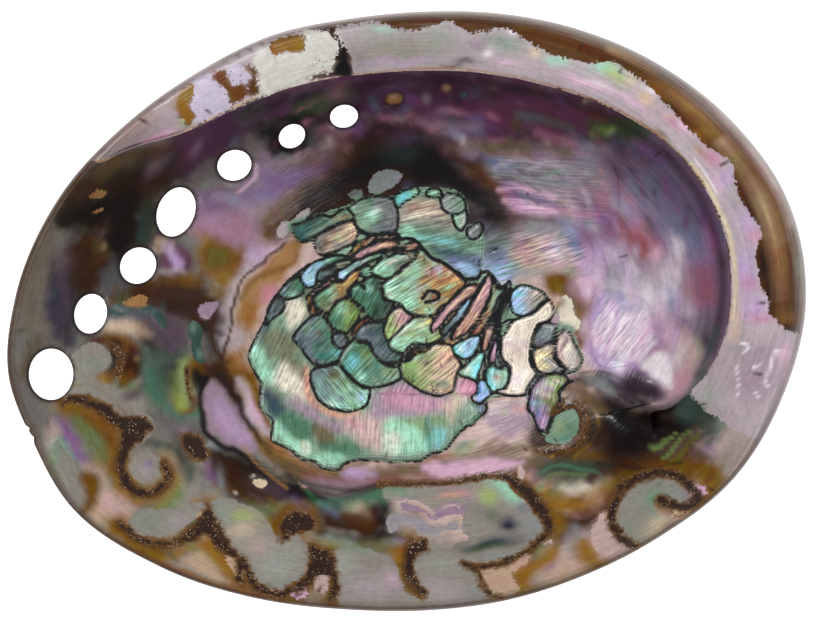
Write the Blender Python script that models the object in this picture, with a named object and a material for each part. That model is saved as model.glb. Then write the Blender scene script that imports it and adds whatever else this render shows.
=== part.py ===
"""Abalone shell, grown in one piece, lying on its back with the pearly inside up.

The shell is one closed loft. Every section is a half plane that turns round the deepest spot
of the bowl. A section runs out along the inside, up the wall and round the ledge, over the
shelf to the margin, and back along the outside. The breathing holes are cut through it last.

Lengths are metres. X is the long way of the shell, with the spire towards +X, Y is the short
way, with the shelf and the breathing holes towards +Y, and Z is up. The origin is under the
middle of the outline, at the level of the worn spot that the shell lies on.
"""

import math
from types import SimpleNamespace

import bmesh
import bpy
import numpy as np

MM = 0.001

# Driving dimensions
DEPTH = 40.0 * MM              # from the highest point of the margin to the lowest of the back
WALL = 4.6 * MM                # thickness at the deepest spot of the bowl
CENTRE = (3.3 * MM, 2.0 * MM)  # deepest spot, from the middle of the outline
SPIRE = (46.8 * MM, -17.2 * MM)
MARGIN_DIP = 2.4 * MM          # how much lower the margin is at the two long sides
LEDGE_THICKNESS = 2.6 * MM
SHELF_START = 0.4              # share of the way from the ledge to the margin
SHELF_CROWN = 0.5 * MM
WORN_FLAT = 0.55 * MM          # depth of the worn spot under the shell

# Facets of the solid
SPIRE_SIDE = (-38.0, -8.0)     # angles between which the sections stand closer together
STEPS_SPIRE_SIDE = 16
STEPS_ROUND = 86
STEPS_BOWL = 11
STEPS_LEDGE = 3
STEPS_SHELF = 3
STEPS_BAND = 2
STEPS_BACK = 20
FINE_STEPS = 60                # points of a stretch before it is spaced evenly
HOLE_SIDES = 20
SHARP_ANGLE = math.radians(40)

# Sizes round the shell in millimetres, by the angle in degrees from +X, anticlockwise
OUTLINE = {
    0: 71.7, 15: 70.9, 30: 67.0, 45: 62.6, 60: 58.7, 75: 55.8, 90: 54.3, 105: 54.8,
    120: 57.5, 135: 60.5, 150: 65.3, 165: 71.5, 180: 76.9, 190: 79.3, 200: 78.1, 210: 76.9,
    225: 70.6, 240: 64.5, 255: 60.1, 270: 58.3, 285: 58.4, 300: 59.7, 315: 62.6, 330: 66.9,
    345: 69.6,
}
LEDGE = {
    0: 57.2, 10: 57.4, 20: 56.6, 30: 54.8, 45: 50.3, 60: 46.4, 75: 44.0, 90: 43.1, 105: 43.9,
    120: 46.6, 135: 50.4, 146: 55.4, 157: 65.4, 166: 69.0, 178: 70.4, 190: 72.0, 210: 69.8,
    225: 64.0, 240: 58.2, 255: 54.0, 270: 52.2, 290: 51.2, 302: 49.2, 314: 46.4, 324: 44.2,
    331: 43.8, 334: 45.6, 336: 49.2, 338: 50.9, 341: 52.9, 345: 54.6, 349: 55.9, 354: 56.8,
}
LEDGE_OVERHANG = {
    0: 5.6, 30: 6.0, 60: 5.4, 90: 4.4, 120: 3.2, 140: 1.8, 158: 0.5, 170: 0.4, 325: 0.4,
    335: 1.0, 345: 3.6,
}
LEDGE_DROP = {
    0: 2.4, 15: 1.6, 60: 1.2, 120: 1.0, 160: 0.8, 250: 0.8, 325: 18.0, 335: 14.5, 342: 10.5,
    350: 5.6,
}
BAND_WIDTH = {
    0: 7.2, 15: 7.6, 30: 6.8, 45: 5.5, 60: 5.2, 75: 3.4, 90: 2.6, 120: 2.4, 150: 1.6,
    170: 1.3, 270: 1.3, 320: 1.3, 335: 1.6, 345: 2.8, 353: 5.0,
}
BAND_DROP = {
    0: 8.6, 20: 9.8, 45: 9.2, 75: 7.6, 100: 7.0, 120: 6.0, 140: 4.4, 155: 2.6, 170: 1.6,
    270: 1.6, 320: 1.7, 335: 2.6, 347: 5.4,
}

# How the bowl and the back curve: depth goes as (1 - t ** power) ** bend, with t from 0 to 1
BOWL_POWER = {
    0: 3.0, 45: 3.2, 90: 3.8, 130: 3.6, 150: 2.8, 170: 2.3, 200: 2.2, 270: 2.3, 310: 2.4,
    335: 2.7,
}
BOWL_BEND = {
    0: 0.60, 45: 0.55, 90: 0.50, 130: 0.55, 150: 0.72, 170: 0.90, 270: 0.90, 310: 0.86,
    335: 0.75,
}
BACK_POWER = {
    0: 2.6, 45: 2.8, 90: 2.75, 130: 2.5, 150: 2.3, 170: 2.15, 225: 2.05, 270: 2.1, 310: 2.25,
    335: 2.45,
}
BACK_BEND = {
    0: 0.78, 45: 0.71, 90: 0.63, 130: 0.63, 150: 0.72, 170: 0.84, 270: 0.84, 310: 0.82,
    335: 0.80,
}
NO_LEDGE = {
    0: 0, 143: 0, 152: 0.35, 160: 1, 170: 1, 240: 1, 320: 1, 328: 0.9, 334: 0.3, 340: 0,
}

# The row of breathing holes lies on a spiral round the spire: it widens by e ** K a radian
ROW_RADIUS = 113.8 * MM        # from the spire to the newest hole
ROW_ANGLE = 177.6              # direction of the newest hole from the spire, in degrees
ROW_K = 0.503
ROW_SPAN = (105.0, 250.0)      # directions between which there is a row
ROW_FADE = 25.0                # angle over which its older end fades in
TROUGH = (1.1 * MM, 4.6 * MM)  # depth and half width of the row's trough inside
KEEL = (1.5 * MM, 4.2 * MM)    # height and half width of the row's keel on the back

# Holes in millimetres: middle, half width, half length, and turn of the length from +Y
OPEN_HOLES = [
    (-67.0, -12.0, 4.05, 4.80, 0),
    (-59.8, -0.6, 3.00, 3.75, -12),
    (-51.0, 8.5, 3.25, 3.55, -40),
    (-43.9, 18.7, 3.45, 4.80, -22),
    (-32.9, 27.6, 2.85, 3.25, -70),
    (-22.0, 33.2, 2.15, 2.60, -58),
    (-12.1, 37.0, 2.15, 2.65, -80),
]
SEALED_HOLES = [(-2.5, 40.2, 2.3), (7.3, 42.1, 1.6)]
SEALED_DEPTH = 0.9 * MM

# The spire's low coils on the back, and the pit that leads into them inside
COIL_HEIGHT = 6.0 * MM
COIL_RADIUS = 14.0 * MM
SEAM_RADIUS = 31.0 * MM        # from the spire to where the seam between the coils begins
SEAM_ANGLE = 26.0
SEAM_K = 0.36
SEAM_DEPTH = 2.4 * MM
SEAM_HALF_WIDTH = 2.6 * MM
SEAM_FADE = 8.0 * MM           # the seam is shallower inside this distance from the spire
SEAM_LEAST = 0.3               # share of its depth that is left at the spire
PIT = (48.4 * MM, -15.4 * MM)
PIT_DEPTH = 4.5 * MM
PIT_RADIUS = 6.5 * MM
MARGIN_FADE = 4.0 * MM         # relief fades out over this distance from the margin
RUN_ON = 0.3                   # radians that a spiral goes on past its start

PEARL = (0.62, 0.57, 0.60, 1.0)


def clear_scene():
    for thing in list(bpy.data.objects):
        bpy.data.objects.remove(thing, do_unlink=True)


def collection(name):
    made = bpy.data.collections.new(name)
    bpy.context.scene.collection.children.link(made)
    return made


def pearl_material():
    material = bpy.data.materials.new("pearl")
    material.use_nodes = True
    shader = material.node_tree.nodes["Principled BSDF"]
    shader.inputs["Base Color"].default_value = PEARL
    shader.inputs["Roughness"].default_value = 0.22
    shader.inputs["Metallic"].default_value = 0.35
    return material


def around(stations, angle):
    """Value at an angle in degrees, on a smooth closed curve through the stations."""
    known = np.array(sorted(stations), float)
    values = np.array([stations[key] for key in sorted(stations)], float)
    known = np.concatenate([known - 360, known, known + 360])
    values = np.tile(values, 3)
    slopes = np.gradient(values, known)
    place = np.searchsorted(known, angle, side="right") - 1
    span = known[place + 1] - known[place]
    s = (angle - known[place]) / span
    return (
        values[place] * (1 + 2 * s) * (1 - s) ** 2
        + values[place + 1] * s * s * (3 - 2 * s)
        + slopes[place] * span * s * (1 - s) ** 2
        - slopes[place + 1] * span * s * s * (1 - s)
    )


def mix(a, b, share):
    return a + (b - a) * share


def off_spiral(x, y, radius, angle, k, turn=0):
    """Distance of points from a spiral round the spire, positive outside it."""
    dx = x - SPIRE[0]
    dy = y - SPIRE[1]
    distance = np.hypot(dx, dy) + 1e-9
    start = math.radians(angle)
    back_turn = np.mod(start - np.arctan2(dy, dx) + RUN_ON, 2 * math.pi) - RUN_ON
    on_spiral = radius * np.exp(-k * (back_turn + 2 * math.pi * turn))
    return distance * np.log(distance / on_spiral) / math.sqrt(1 + k * k)


def row_ridge(x, y, height, half_width):
    """Height of a ridge that follows the row of holes and fades out towards the spire."""
    off = off_spiral(x, y, ROW_RADIUS, ROW_ANGLE, ROW_K)
    bearing = np.mod(np.degrees(np.arctan2(y - SPIRE[1], x - SPIRE[0])), 360)
    fade = np.clip((bearing - ROW_SPAN[0]) / ROW_FADE, 0, 1) * (bearing < ROW_SPAN[1])
    return height * fade * np.exp(-((off / half_width) ** 2))


def bump(x, y, middle, radius):
    """A round bump of height 1 at its middle."""
    square = (x - middle[0]) ** 2 + (y - middle[1]) ** 2
    return np.exp(-square / radius ** 2)


def inside_relief(x, y):
    """What is added to the height of the inside: the row's trough, sealed holes and the pit."""
    relief = -row_ridge(x, y, *TROUGH) - PIT_DEPTH * bump(x, y, PIT, PIT_RADIUS)
    for hole_x, hole_y, radius in SEALED_HOLES:
        relief -= SEALED_DEPTH * bump(x, y, (hole_x * MM, hole_y * MM), radius * MM)
    return relief


def back_relief(x, y):
    """What is added to the height of the back: the keel, the spire's coils and their seam."""
    relief = -row_ridge(x, y, *KEEL) - COIL_HEIGHT * bump(x, y, SPIRE, COIL_RADIUS)
    distance = np.hypot(x - SPIRE[0], y - SPIRE[1])
    depth = SEAM_DEPTH * np.clip(distance / SEAM_FADE, SEAM_LEAST, 1)
    for turn in (0, 1):
        off = off_spiral(x, y, SEAM_RADIUS, SEAM_ANGLE, SEAM_K, turn)
        relief += depth * np.exp(-((off / SEAM_HALF_WIDTH) ** 2))
    return relief


def sizes_at(angle):
    """The sizes of the section at an angle, in metres."""
    margin = -MARGIN_DIP * math.sin(math.radians(angle)) ** 2
    outline = around(OUTLINE, angle) * MM
    ledge = around(LEDGE, angle) * MM
    lip_height = margin - around(LEDGE_DROP, angle) * MM
    return SimpleNamespace(
        direction=(math.cos(math.radians(angle)), math.sin(math.radians(angle))),
        no_ledge=np.clip(around(NO_LEDGE, angle), 0, 1),
        outline=outline,
        edge=outline - around(BAND_WIDTH, angle) * MM,
        ledge=ledge,
        foot=ledge + around(LEDGE_OVERHANG, angle) * MM,
        margin=margin,
        lip_height=lip_height,
        foot_height=lip_height - LEDGE_THICKNESS,
        side_height=margin - around(BAND_DROP, angle) * MM,
        bowl=(around(BOWL_POWER, angle), around(BOWL_BEND, angle)),
        back=(around(BACK_POWER, angle), around(BACK_BEND, angle)),
    )


def plan(at, radius):
    """Where the points of a section lie in plan."""
    return CENTRE[0] + radius * at.direction[0], CENTRE[1] + radius * at.direction[1]


def curve(at, radius, height):
    return np.column_stack([*plan(at, radius), height])


def dome(t, shape):
    power, bend = shape
    return (1 - np.clip(t, 0, 1) ** power) ** bend


def open_bowl(at, radius):
    """Height of the inside where it runs up to the margin without a ledge."""
    floor = WALL - DEPTH
    fade = np.clip((at.edge - radius) / MARGIN_FADE, 0, 1)
    smooth = at.margin - (at.margin - floor) * dome(radius / at.edge, at.bowl)
    return smooth + fade * inside_relief(*plan(at, radius))


def bowl_stretch(at, s):
    """From the middle of the bowl to the wall under the ledge."""
    t = np.sin(s * math.pi / 2) ** (2 / at.bowl[0])
    radius = t * mix(at.foot, at.ledge, at.no_ledge)
    floor = WALL - DEPTH
    cave = at.foot_height - (at.foot_height - floor) * dome(t, at.bowl)
    cave += inside_relief(*plan(at, radius))
    return curve(at, radius, mix(cave, open_bowl(at, radius), at.no_ledge))


def ledge_stretch(at, s, start_height):
    """Round the underside of the ledge to its top edge."""
    turn = s * math.pi / 2
    under_radius = mix(at.foot, at.ledge, np.sin(turn))
    under_height = at.lip_height - LEDGE_THICKNESS * np.cos(turn)
    plain_radius = mix(at.ledge, at.edge, SHELF_START * s)
    radius = mix(under_radius, plain_radius, at.no_ledge)
    height = mix(under_height, open_bowl(at, radius), at.no_ledge)
    height = height + (start_height - height[0]) * (1 - s) ** 2
    return curve(at, radius, height)


def shelf_stretch(at, s, start):
    """Over the shelf to the margin."""
    start_radius = math.hypot(start[0] - CENTRE[0], start[1] - CENTRE[1])
    radius = mix(start_radius, at.edge, s)
    height = mix(start[2], at.margin, s) + SHELF_CROWN * np.sin(s * math.pi)
    return curve(at, radius, mix(height, open_bowl(at, radius), at.no_ledge))


def band_stretch(at, s):
    """Round the margin and down to the widest line of the shell."""
    turn = s * math.pi / 2
    radius = mix(at.edge, at.outline, np.sin(turn))
    return curve(at, radius, mix(at.side_height, at.margin, np.cos(turn)))


def back_stretch(at, s):
    """From the widest line to the middle of the back."""
    t = np.cos(s * math.pi / 2) ** (2 / at.back[0])
    radius = t * at.outline
    height = at.side_height - (at.side_height + DEPTH) * dome(t, at.back)
    fade = np.clip((at.outline - radius) / MARGIN_FADE, 0, 1)
    height = height + fade * back_relief(*plan(at, radius))
    return curve(at, radius, np.maximum(height, WORN_FLAT - DEPTH))


def evenly(points, count):
    """A curve's points spaced evenly along it: count of them, without the first."""
    steps = np.linalg.norm(np.diff(points, axis=0), axis=1)
    along = np.concatenate([[0], np.cumsum(steps)])
    wanted = np.linspace(0, along[-1], count + 1)[1:]
    return np.column_stack([np.interp(wanted, along, column) for column in points.T])


def section(angle):
    """Points of one section, from the middle of the bowl to the middle of the back."""
    at = sizes_at(angle)
    s = np.linspace(0, 1, FINE_STEPS)
    bowl = bowl_stretch(at, s)
    ledge = ledge_stretch(at, s, bowl[-1, 2])
    shelf = shelf_stretch(at, s, ledge[-1])
    return np.vstack([
        evenly(bowl, STEPS_BOWL),
        evenly(ledge, STEPS_LEDGE),
        evenly(shelf, STEPS_SHELF),
        evenly(band_stretch(at, s), STEPS_BAND),
        evenly(back_stretch(at, s), STEPS_BACK)[:-1],
    ])


def section_angles():
    first, last = SPIRE_SIDE
    close = np.linspace(first, last, STEPS_SPIRE_SIDE, endpoint=False)
    wide = np.linspace(last, first + 360, STEPS_ROUND, endpoint=False)
    return np.concatenate([close, wide]) % 360


def loft(name):
    """The shell without its holes, as one closed mesh."""
    lift = DEPTH - WORN_FLAT
    sections = [section(angle) for angle in section_angles()]
    shell = bmesh.new()
    rows = []
    for points in sections:
        rows.append([shell.verts.new((x, y, z + lift)) for x, y, z in points])
    floor_relief = float(inside_relief(*CENTRE))
    bowl_middle = shell.verts.new((*CENTRE, WALL - DEPTH + floor_relief + lift))
    back_middle = shell.verts.new((*CENTRE, 0.0))
    for row, following in zip(rows, rows[1:] + rows[:1]):
        shell.faces.new((bowl_middle, row[0], following[0]))
        for here in range(len(row) - 1):
            shell.faces.new((row[here], row[here + 1], following[here + 1], following[here]))
        shell.faces.new((row[-1], back_middle, following[-1]))
    bmesh.ops.recalc_face_normals(shell, faces=shell.faces)
    mesh = bpy.data.meshes.new(name)
    shell.to_mesh(mesh)
    shell.free()
    return mesh


def hole_cutter(name, hole):
    """An upright oval bar that cuts one breathing hole."""
    x, y, half_width, half_length, turn = hole
    bar = bmesh.new()
    bmesh.ops.create_cone(
        bar, cap_ends=True, segments=HOLE_SIDES, radius1=1.0, radius2=1.0, depth=2 * DEPTH
    )
    bmesh.ops.scale(bar, vec=(half_width * MM, half_length * MM, 1.0), verts=bar.verts)
    mesh = bpy.data.meshes.new(name)
    bar.to_mesh(mesh)
    bar.free()
    cutter = bpy.data.objects.new(name, mesh)
    cutter.location = (x * MM, y * MM, DEPTH / 2)
    cutter.rotation_euler[2] = math.radians(turn)
    cutter.display_type = "WIRE"
    cutter.hide_render = True
    return cutter


def build():
    clear_scene()
    parts = collection("abalone")
    cutters = collection("cutters")
    shell = bpy.data.objects.new("abalone_shell", loft("abalone_shell"))
    shell.data.materials.append(pearl_material())
    parts.objects.link(shell)
    for number, hole in enumerate(OPEN_HOLES, start=1):
        cutter = hole_cutter(f"hole_{number}", hole)
        cutters.objects.link(cutter)
        cut = shell.modifiers.new(cutter.name, "BOOLEAN")
        cut.operation = "DIFFERENCE"
        cut.solver = "EXACT"
        cut.object = cutter
    shell.data.shade_smooth()
    shell.data.set_sharp_from_angle(angle=SHARP_ANGLE)


build()
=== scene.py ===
# %% [markdown]
# # A polished abalone shell, seen from above
#
# The solid model gives the shell its size and its place. This lesson dresses it: the same
# curves are drawn again much finer, with the low relief of the muscle scar, the ripples of the
# pearl and the rims of the breathing holes, and then the mother of pearl is painted point by
# point and finished with a glossy material.
#
# Everything is in metres, in the frame of the solid model. Sizes of curves are named in
# millimetres, because that is how a shell collector would measure them.

# %%
import math
from types import SimpleNamespace

import bmesh
import bpy
import numpy as np
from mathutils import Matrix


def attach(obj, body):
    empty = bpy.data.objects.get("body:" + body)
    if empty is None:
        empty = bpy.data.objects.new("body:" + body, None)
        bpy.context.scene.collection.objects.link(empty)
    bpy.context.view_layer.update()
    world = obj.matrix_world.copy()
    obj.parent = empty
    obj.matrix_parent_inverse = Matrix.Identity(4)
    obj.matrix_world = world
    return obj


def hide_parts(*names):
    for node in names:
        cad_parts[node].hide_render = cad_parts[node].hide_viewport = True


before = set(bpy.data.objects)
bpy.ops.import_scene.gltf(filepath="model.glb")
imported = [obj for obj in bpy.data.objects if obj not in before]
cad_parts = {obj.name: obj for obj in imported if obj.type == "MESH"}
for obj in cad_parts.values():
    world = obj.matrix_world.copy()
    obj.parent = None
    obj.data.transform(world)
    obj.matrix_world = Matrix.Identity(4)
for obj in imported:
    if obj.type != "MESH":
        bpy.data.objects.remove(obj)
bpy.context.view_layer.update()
MM = 0.001

# %% [markdown]
# ## Camera
#
# The shell was photographed from straight above with a long lens. A pixel of the photograph is
# 0.188 mm on the shell, so the same distance and frame put every mark where the photograph
# shows it.

# %%
PIXEL = 0.18773                # millimetres on the shell to a pixel of the photograph
FRAME_WIDTH = 816
FRAME_HEIGHT = 630
MIDDLE = (407.5, 310.5)        # the pixel over the origin
CAMERA_HEIGHT = 1.8
SILHOUETTE_HEIGHT = 0.034      # the widest line of the shell lies about this high

camera = bpy.data.objects.new("camera", bpy.data.cameras.new("camera"))
bpy.context.scene.collection.objects.link(camera)
bpy.context.scene.camera = camera
camera.location = (
    (FRAME_WIDTH / 2 - MIDDLE[0]) * PIXEL * MM,
    (MIDDLE[1] - FRAME_HEIGHT / 2) * PIXEL * MM,
    CAMERA_HEIGHT,
)
camera.data.sensor_width = 36.0
seen = FRAME_WIDTH * PIXEL * MM
camera.data.lens = camera.data.sensor_width * (CAMERA_HEIGHT - SILHOUETTE_HEIGHT) / seen
camera.data.clip_end = 20.0
print("lens:", round(camera.data.lens), "mm")


def across(px):
    """Millimetres from the origin of a pixel column."""
    return (px - MIDDLE[0]) * PIXEL


def up(py):
    return (MIDDLE[1] - py) * PIXEL


# %% [markdown]
# ## The shell's curves
#
# The stations below are the same named sizes as in the solid model, by the angle from +X round
# the deepest spot of the bowl. A smooth closed curve goes through them. Drawing from the same
# sizes keeps the fine shell on the solid one.

# %%
DEPTH = 40.0 * MM
WALL = 4.6 * MM
CENTRE = (3.3 * MM, 2.0 * MM)
SPIRE = (46.8 * MM, -17.2 * MM)
MARGIN_DIP = 2.4 * MM
LEDGE_THICKNESS = 2.6 * MM
SHELF_START = 0.4
SHELF_CROWN = 0.5 * MM
WORN_FLAT = 0.55 * MM

OUTLINE = {
    0: 71.7, 15: 70.9, 30: 67.0, 45: 62.6, 60: 58.7, 75: 55.8, 90: 54.3, 105: 54.8,
    120: 57.5, 135: 60.5, 150: 65.3, 165: 71.5, 180: 76.9, 190: 79.3, 200: 78.1, 210: 76.9,
    225: 70.6, 240: 64.5, 255: 60.1, 270: 58.3, 285: 58.4, 300: 59.7, 315: 62.6, 330: 66.9,
    345: 69.6,
}
LEDGE = {
    0: 57.2, 10: 57.4, 20: 56.6, 30: 54.8, 45: 50.3, 60: 46.4, 75: 44.0, 90: 43.1, 105: 43.9,
    120: 46.6, 135: 50.4, 146: 55.4, 157: 65.4, 166: 69.0, 178: 70.4, 190: 72.0, 210: 69.8,
    225: 64.0, 240: 58.2, 255: 54.0, 270: 52.2, 290: 51.2, 302: 49.2, 314: 46.4, 324: 44.2,
    331: 43.8, 334: 45.6, 336: 49.2, 338: 50.9, 341: 52.9, 345: 54.6, 349: 55.9, 354: 56.8,
}
LEDGE_OVERHANG = {
    0: 5.6, 30: 6.0, 60: 5.4, 90: 4.4, 120: 3.2, 140: 1.8, 158: 0.5, 170: 0.4, 325: 0.4,
    335: 1.0, 345: 3.6,
}
LEDGE_DROP = {
    0: 2.4, 15: 1.6, 60: 1.2, 120: 1.0, 160: 0.8, 250: 0.8, 325: 18.0, 335: 14.5, 342: 10.5,
    350: 5.6,
}
BAND_WIDTH = {
    0: 7.2, 15: 7.6, 30: 6.8, 45: 5.5, 60: 5.2, 75: 3.4, 90: 2.6, 120: 2.4, 150: 1.6,
    170: 1.3, 270: 1.3, 320: 1.3, 335: 1.6, 345: 2.8, 353: 5.0,
}
BAND_DROP = {
    0: 8.6, 20: 9.8, 45: 9.2, 75: 7.6, 100: 7.0, 120: 6.0, 140: 4.4, 155: 2.6, 170: 1.6,
    270: 1.6, 320: 1.7, 335: 2.6, 347: 5.4,
}
BOWL_POWER = {
    0: 3.0, 45: 3.2, 90: 3.8, 130: 3.6, 150: 2.8, 170: 2.3, 200: 2.2, 270: 2.3, 310: 2.4,
    335: 2.7,
}
BOWL_BEND = {
    0: 0.60, 45: 0.55, 90: 0.50, 130: 0.55, 150: 0.72, 170: 0.90, 270: 0.90, 310: 0.86,
    335: 0.75,
}
BACK_POWER = {
    0: 2.6, 45: 2.8, 90: 2.75, 130: 2.5, 150: 2.3, 170: 2.15, 225: 2.05, 270: 2.1, 310: 2.25,
    335: 2.45,
}
BACK_BEND = {
    0: 0.78, 45: 0.71, 90: 0.63, 130: 0.63, 150: 0.72, 170: 0.84, 270: 0.84, 310: 0.82,
    335: 0.80,
}
NO_LEDGE = {
    0: 0, 143: 0, 152: 0.35, 160: 1, 170: 1, 240: 1, 320: 1, 328: 0.9, 334: 0.3, 340: 0,
}


def around(stations, angle):
    """Value at an angle in degrees, on a smooth closed curve through the stations."""
    known = np.array(sorted(stations), float)
    values = np.array([stations[key] for key in sorted(stations)], float)
    known = np.concatenate([known - 360, known, known + 360])
    values = np.tile(values, 3)
    slopes = np.gradient(values, known)
    place = np.searchsorted(known, angle, side="right") - 1
    span = known[place + 1] - known[place]
    s = (angle - known[place]) / span
    return (
        values[place] * (1 + 2 * s) * (1 - s) ** 2
        + values[place + 1] * s * s * (3 - 2 * s)
        + slopes[place] * span * s * (1 - s) ** 2
        - slopes[place + 1] * span * s * s * (1 - s)
    )


# %% [markdown]
# ## The row of holes, the pit and the spire
#
# An abalone grows along a spiral, so its breathing holes lie on one. Inside they sit in a
# shallow trough, and outside on a low keel. The oldest two holes are grown shut and are only
# dimples. On the back the spire is a low coil with a seam that winds in to its tip.

# %%
ROW_RADIUS = 113.8 * MM
ROW_ANGLE = 177.6
ROW_K = 0.503
ROW_SPAN = (105.0, 250.0)
ROW_FADE = 25.0
TROUGH = (1.1 * MM, 4.6 * MM)
KEEL = (1.5 * MM, 4.2 * MM)
OPEN_HOLES = [
    (-67.0, -12.0, 4.05, 4.80, 0),
    (-59.8, -0.6, 3.00, 3.75, -12),
    (-51.0, 8.5, 3.25, 3.55, -40),
    (-43.9, 18.7, 3.45, 4.80, -22),
    (-32.9, 27.6, 2.85, 3.25, -70),
    (-22.0, 33.2, 2.15, 2.60, -58),
    (-12.1, 37.0, 2.15, 2.65, -80),
]
SEALED_HOLES = [(-2.5, 40.2, 2.3), (7.3, 42.1, 1.6)]
SEALED_DEPTH = 0.9 * MM
COIL_HEIGHT = 6.0 * MM
COIL_RADIUS = 14.0 * MM
SEAM_RADIUS = 31.0 * MM
SEAM_ANGLE = 26.0
SEAM_K = 0.36
SEAM_DEPTH = 2.4 * MM
SEAM_HALF_WIDTH = 2.6 * MM
SEAM_FADE = 8.0 * MM
SEAM_LEAST = 0.3
PIT = (48.4 * MM, -15.4 * MM)
PIT_DEPTH = 4.5 * MM
PIT_RADIUS = 6.5 * MM
MARGIN_FADE = 4.0 * MM
RUN_ON = 0.3


def mix(a, b, share):
    return a + (b - a) * share


def off_spiral(x, y, radius, angle, k, turn=0):
    """Distance of points from a spiral round the spire, positive outside it."""
    dx = x - SPIRE[0]
    dy = y - SPIRE[1]
    distance = np.hypot(dx, dy) + 1e-9
    start = math.radians(angle)
    back_turn = np.mod(start - np.arctan2(dy, dx) + RUN_ON, 2 * math.pi) - RUN_ON
    on_spiral = radius * np.exp(-k * (back_turn + 2 * math.pi * turn))
    return distance * np.log(distance / on_spiral) / math.sqrt(1 + k * k)


def row_ridge(x, y, height, half_width):
    off = off_spiral(x, y, ROW_RADIUS, ROW_ANGLE, ROW_K)
    bearing = np.mod(np.degrees(np.arctan2(y - SPIRE[1], x - SPIRE[0])), 360)
    fade = np.clip((bearing - ROW_SPAN[0]) / ROW_FADE, 0, 1) * (bearing < ROW_SPAN[1])
    return height * fade * np.exp(-((off / half_width) ** 2))


def bump(x, y, middle, radius):
    square = (x - middle[0]) ** 2 + (y - middle[1]) ** 2
    return np.exp(-square / radius ** 2)


def inside_relief(x, y):
    relief = -row_ridge(x, y, *TROUGH) - PIT_DEPTH * bump(x, y, PIT, PIT_RADIUS)
    for hole_x, hole_y, radius in SEALED_HOLES:
        relief -= SEALED_DEPTH * bump(x, y, (hole_x * MM, hole_y * MM), radius * MM)
    return relief


def back_relief(x, y):
    relief = -row_ridge(x, y, *KEEL) - COIL_HEIGHT * bump(x, y, SPIRE, COIL_RADIUS)
    distance = np.hypot(x - SPIRE[0], y - SPIRE[1])
    depth = SEAM_DEPTH * np.clip(distance / SEAM_FADE, SEAM_LEAST, 1)
    for turn in (0, 1):
        off = off_spiral(x, y, SEAM_RADIUS, SEAM_ANGLE, SEAM_K, turn)
        relief += depth * np.exp(-((off / SEAM_HALF_WIDTH) ** 2))
    return relief


# %% [markdown]
# ## One section of the shell
#
# A section runs out from the deepest spot: up the wall of the bowl, round the underside of the
# ledge, over the shelf, round the margin and back along the outside. The photograph shows the
# ledge as a thin bright line with the dark hollow under it.

# %%
def sizes_at(angle):
    margin = -MARGIN_DIP * math.sin(math.radians(angle)) ** 2
    outline = around(OUTLINE, angle) * MM
    ledge = around(LEDGE, angle) * MM
    lip_height = margin - around(LEDGE_DROP, angle) * MM
    return SimpleNamespace(
        direction=(math.cos(math.radians(angle)), math.sin(math.radians(angle))),
        no_ledge=np.clip(around(NO_LEDGE, angle), 0, 1),
        outline=outline,
        edge=outline - around(BAND_WIDTH, angle) * MM,
        ledge=ledge,
        foot=ledge + around(LEDGE_OVERHANG, angle) * MM,
        margin=margin,
        lip_height=lip_height,
        foot_height=lip_height - LEDGE_THICKNESS,
        side_height=margin - around(BAND_DROP, angle) * MM,
        bowl=(around(BOWL_POWER, angle), around(BOWL_BEND, angle)),
        back=(around(BACK_POWER, angle), around(BACK_BEND, angle)),
    )


def plan(at, radius):
    return CENTRE[0] + radius * at.direction[0], CENTRE[1] + radius * at.direction[1]


def curve(at, radius, height):
    return np.column_stack([*plan(at, radius), height])


def dome(t, shape):
    power, bend = shape
    return (1 - np.clip(t, 0, 1) ** power) ** bend


def open_bowl(at, radius):
    floor = WALL - DEPTH
    fade = np.clip((at.edge - radius) / MARGIN_FADE, 0, 1)
    smooth = at.margin - (at.margin - floor) * dome(radius / at.edge, at.bowl)
    return smooth + fade * inside_relief(*plan(at, radius))


def bowl_stretch(at, s):
    t = np.sin(s * math.pi / 2) ** (2 / at.bowl[0])
    radius = t * mix(at.foot, at.ledge, at.no_ledge)
    floor = WALL - DEPTH
    cave = at.foot_height - (at.foot_height - floor) * dome(t, at.bowl)
    cave += inside_relief(*plan(at, radius))
    return curve(at, radius, mix(cave, open_bowl(at, radius), at.no_ledge))


def ledge_stretch(at, s, start_height):
    turn = s * math.pi / 2
    under_radius = mix(at.foot, at.ledge, np.sin(turn))
    under_height = at.lip_height - LEDGE_THICKNESS * np.cos(turn)
    plain_radius = mix(at.ledge, at.edge, SHELF_START * s)
    radius = mix(under_radius, plain_radius, at.no_ledge)
    height = mix(under_height, open_bowl(at, radius), at.no_ledge)
    height = height + (start_height - height[0]) * (1 - s) ** 2
    return curve(at, radius, height)


def shelf_stretch(at, s, start):
    start_radius = math.hypot(start[0] - CENTRE[0], start[1] - CENTRE[1])
    radius = mix(start_radius, at.edge, s)
    height = mix(start[2], at.margin, s) + SHELF_CROWN * np.sin(s * math.pi)
    return curve(at, radius, mix(height, open_bowl(at, radius), at.no_ledge))


def band_stretch(at, s):
    turn = s * math.pi / 2
    radius = mix(at.edge, at.outline, np.sin(turn))
    return curve(at, radius, mix(at.side_height, at.margin, np.cos(turn)))


def back_stretch(at, s):
    t = np.cos(s * math.pi / 2) ** (2 / at.back[0])
    radius = t * at.outline
    height = at.side_height - (at.side_height + DEPTH) * dome(t, at.back)
    fade = np.clip((at.outline - radius) / MARGIN_FADE, 0, 1)
    height = height + fade * back_relief(*plan(at, radius))
    return curve(at, radius, np.maximum(height, WORN_FLAT - DEPTH))


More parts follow.
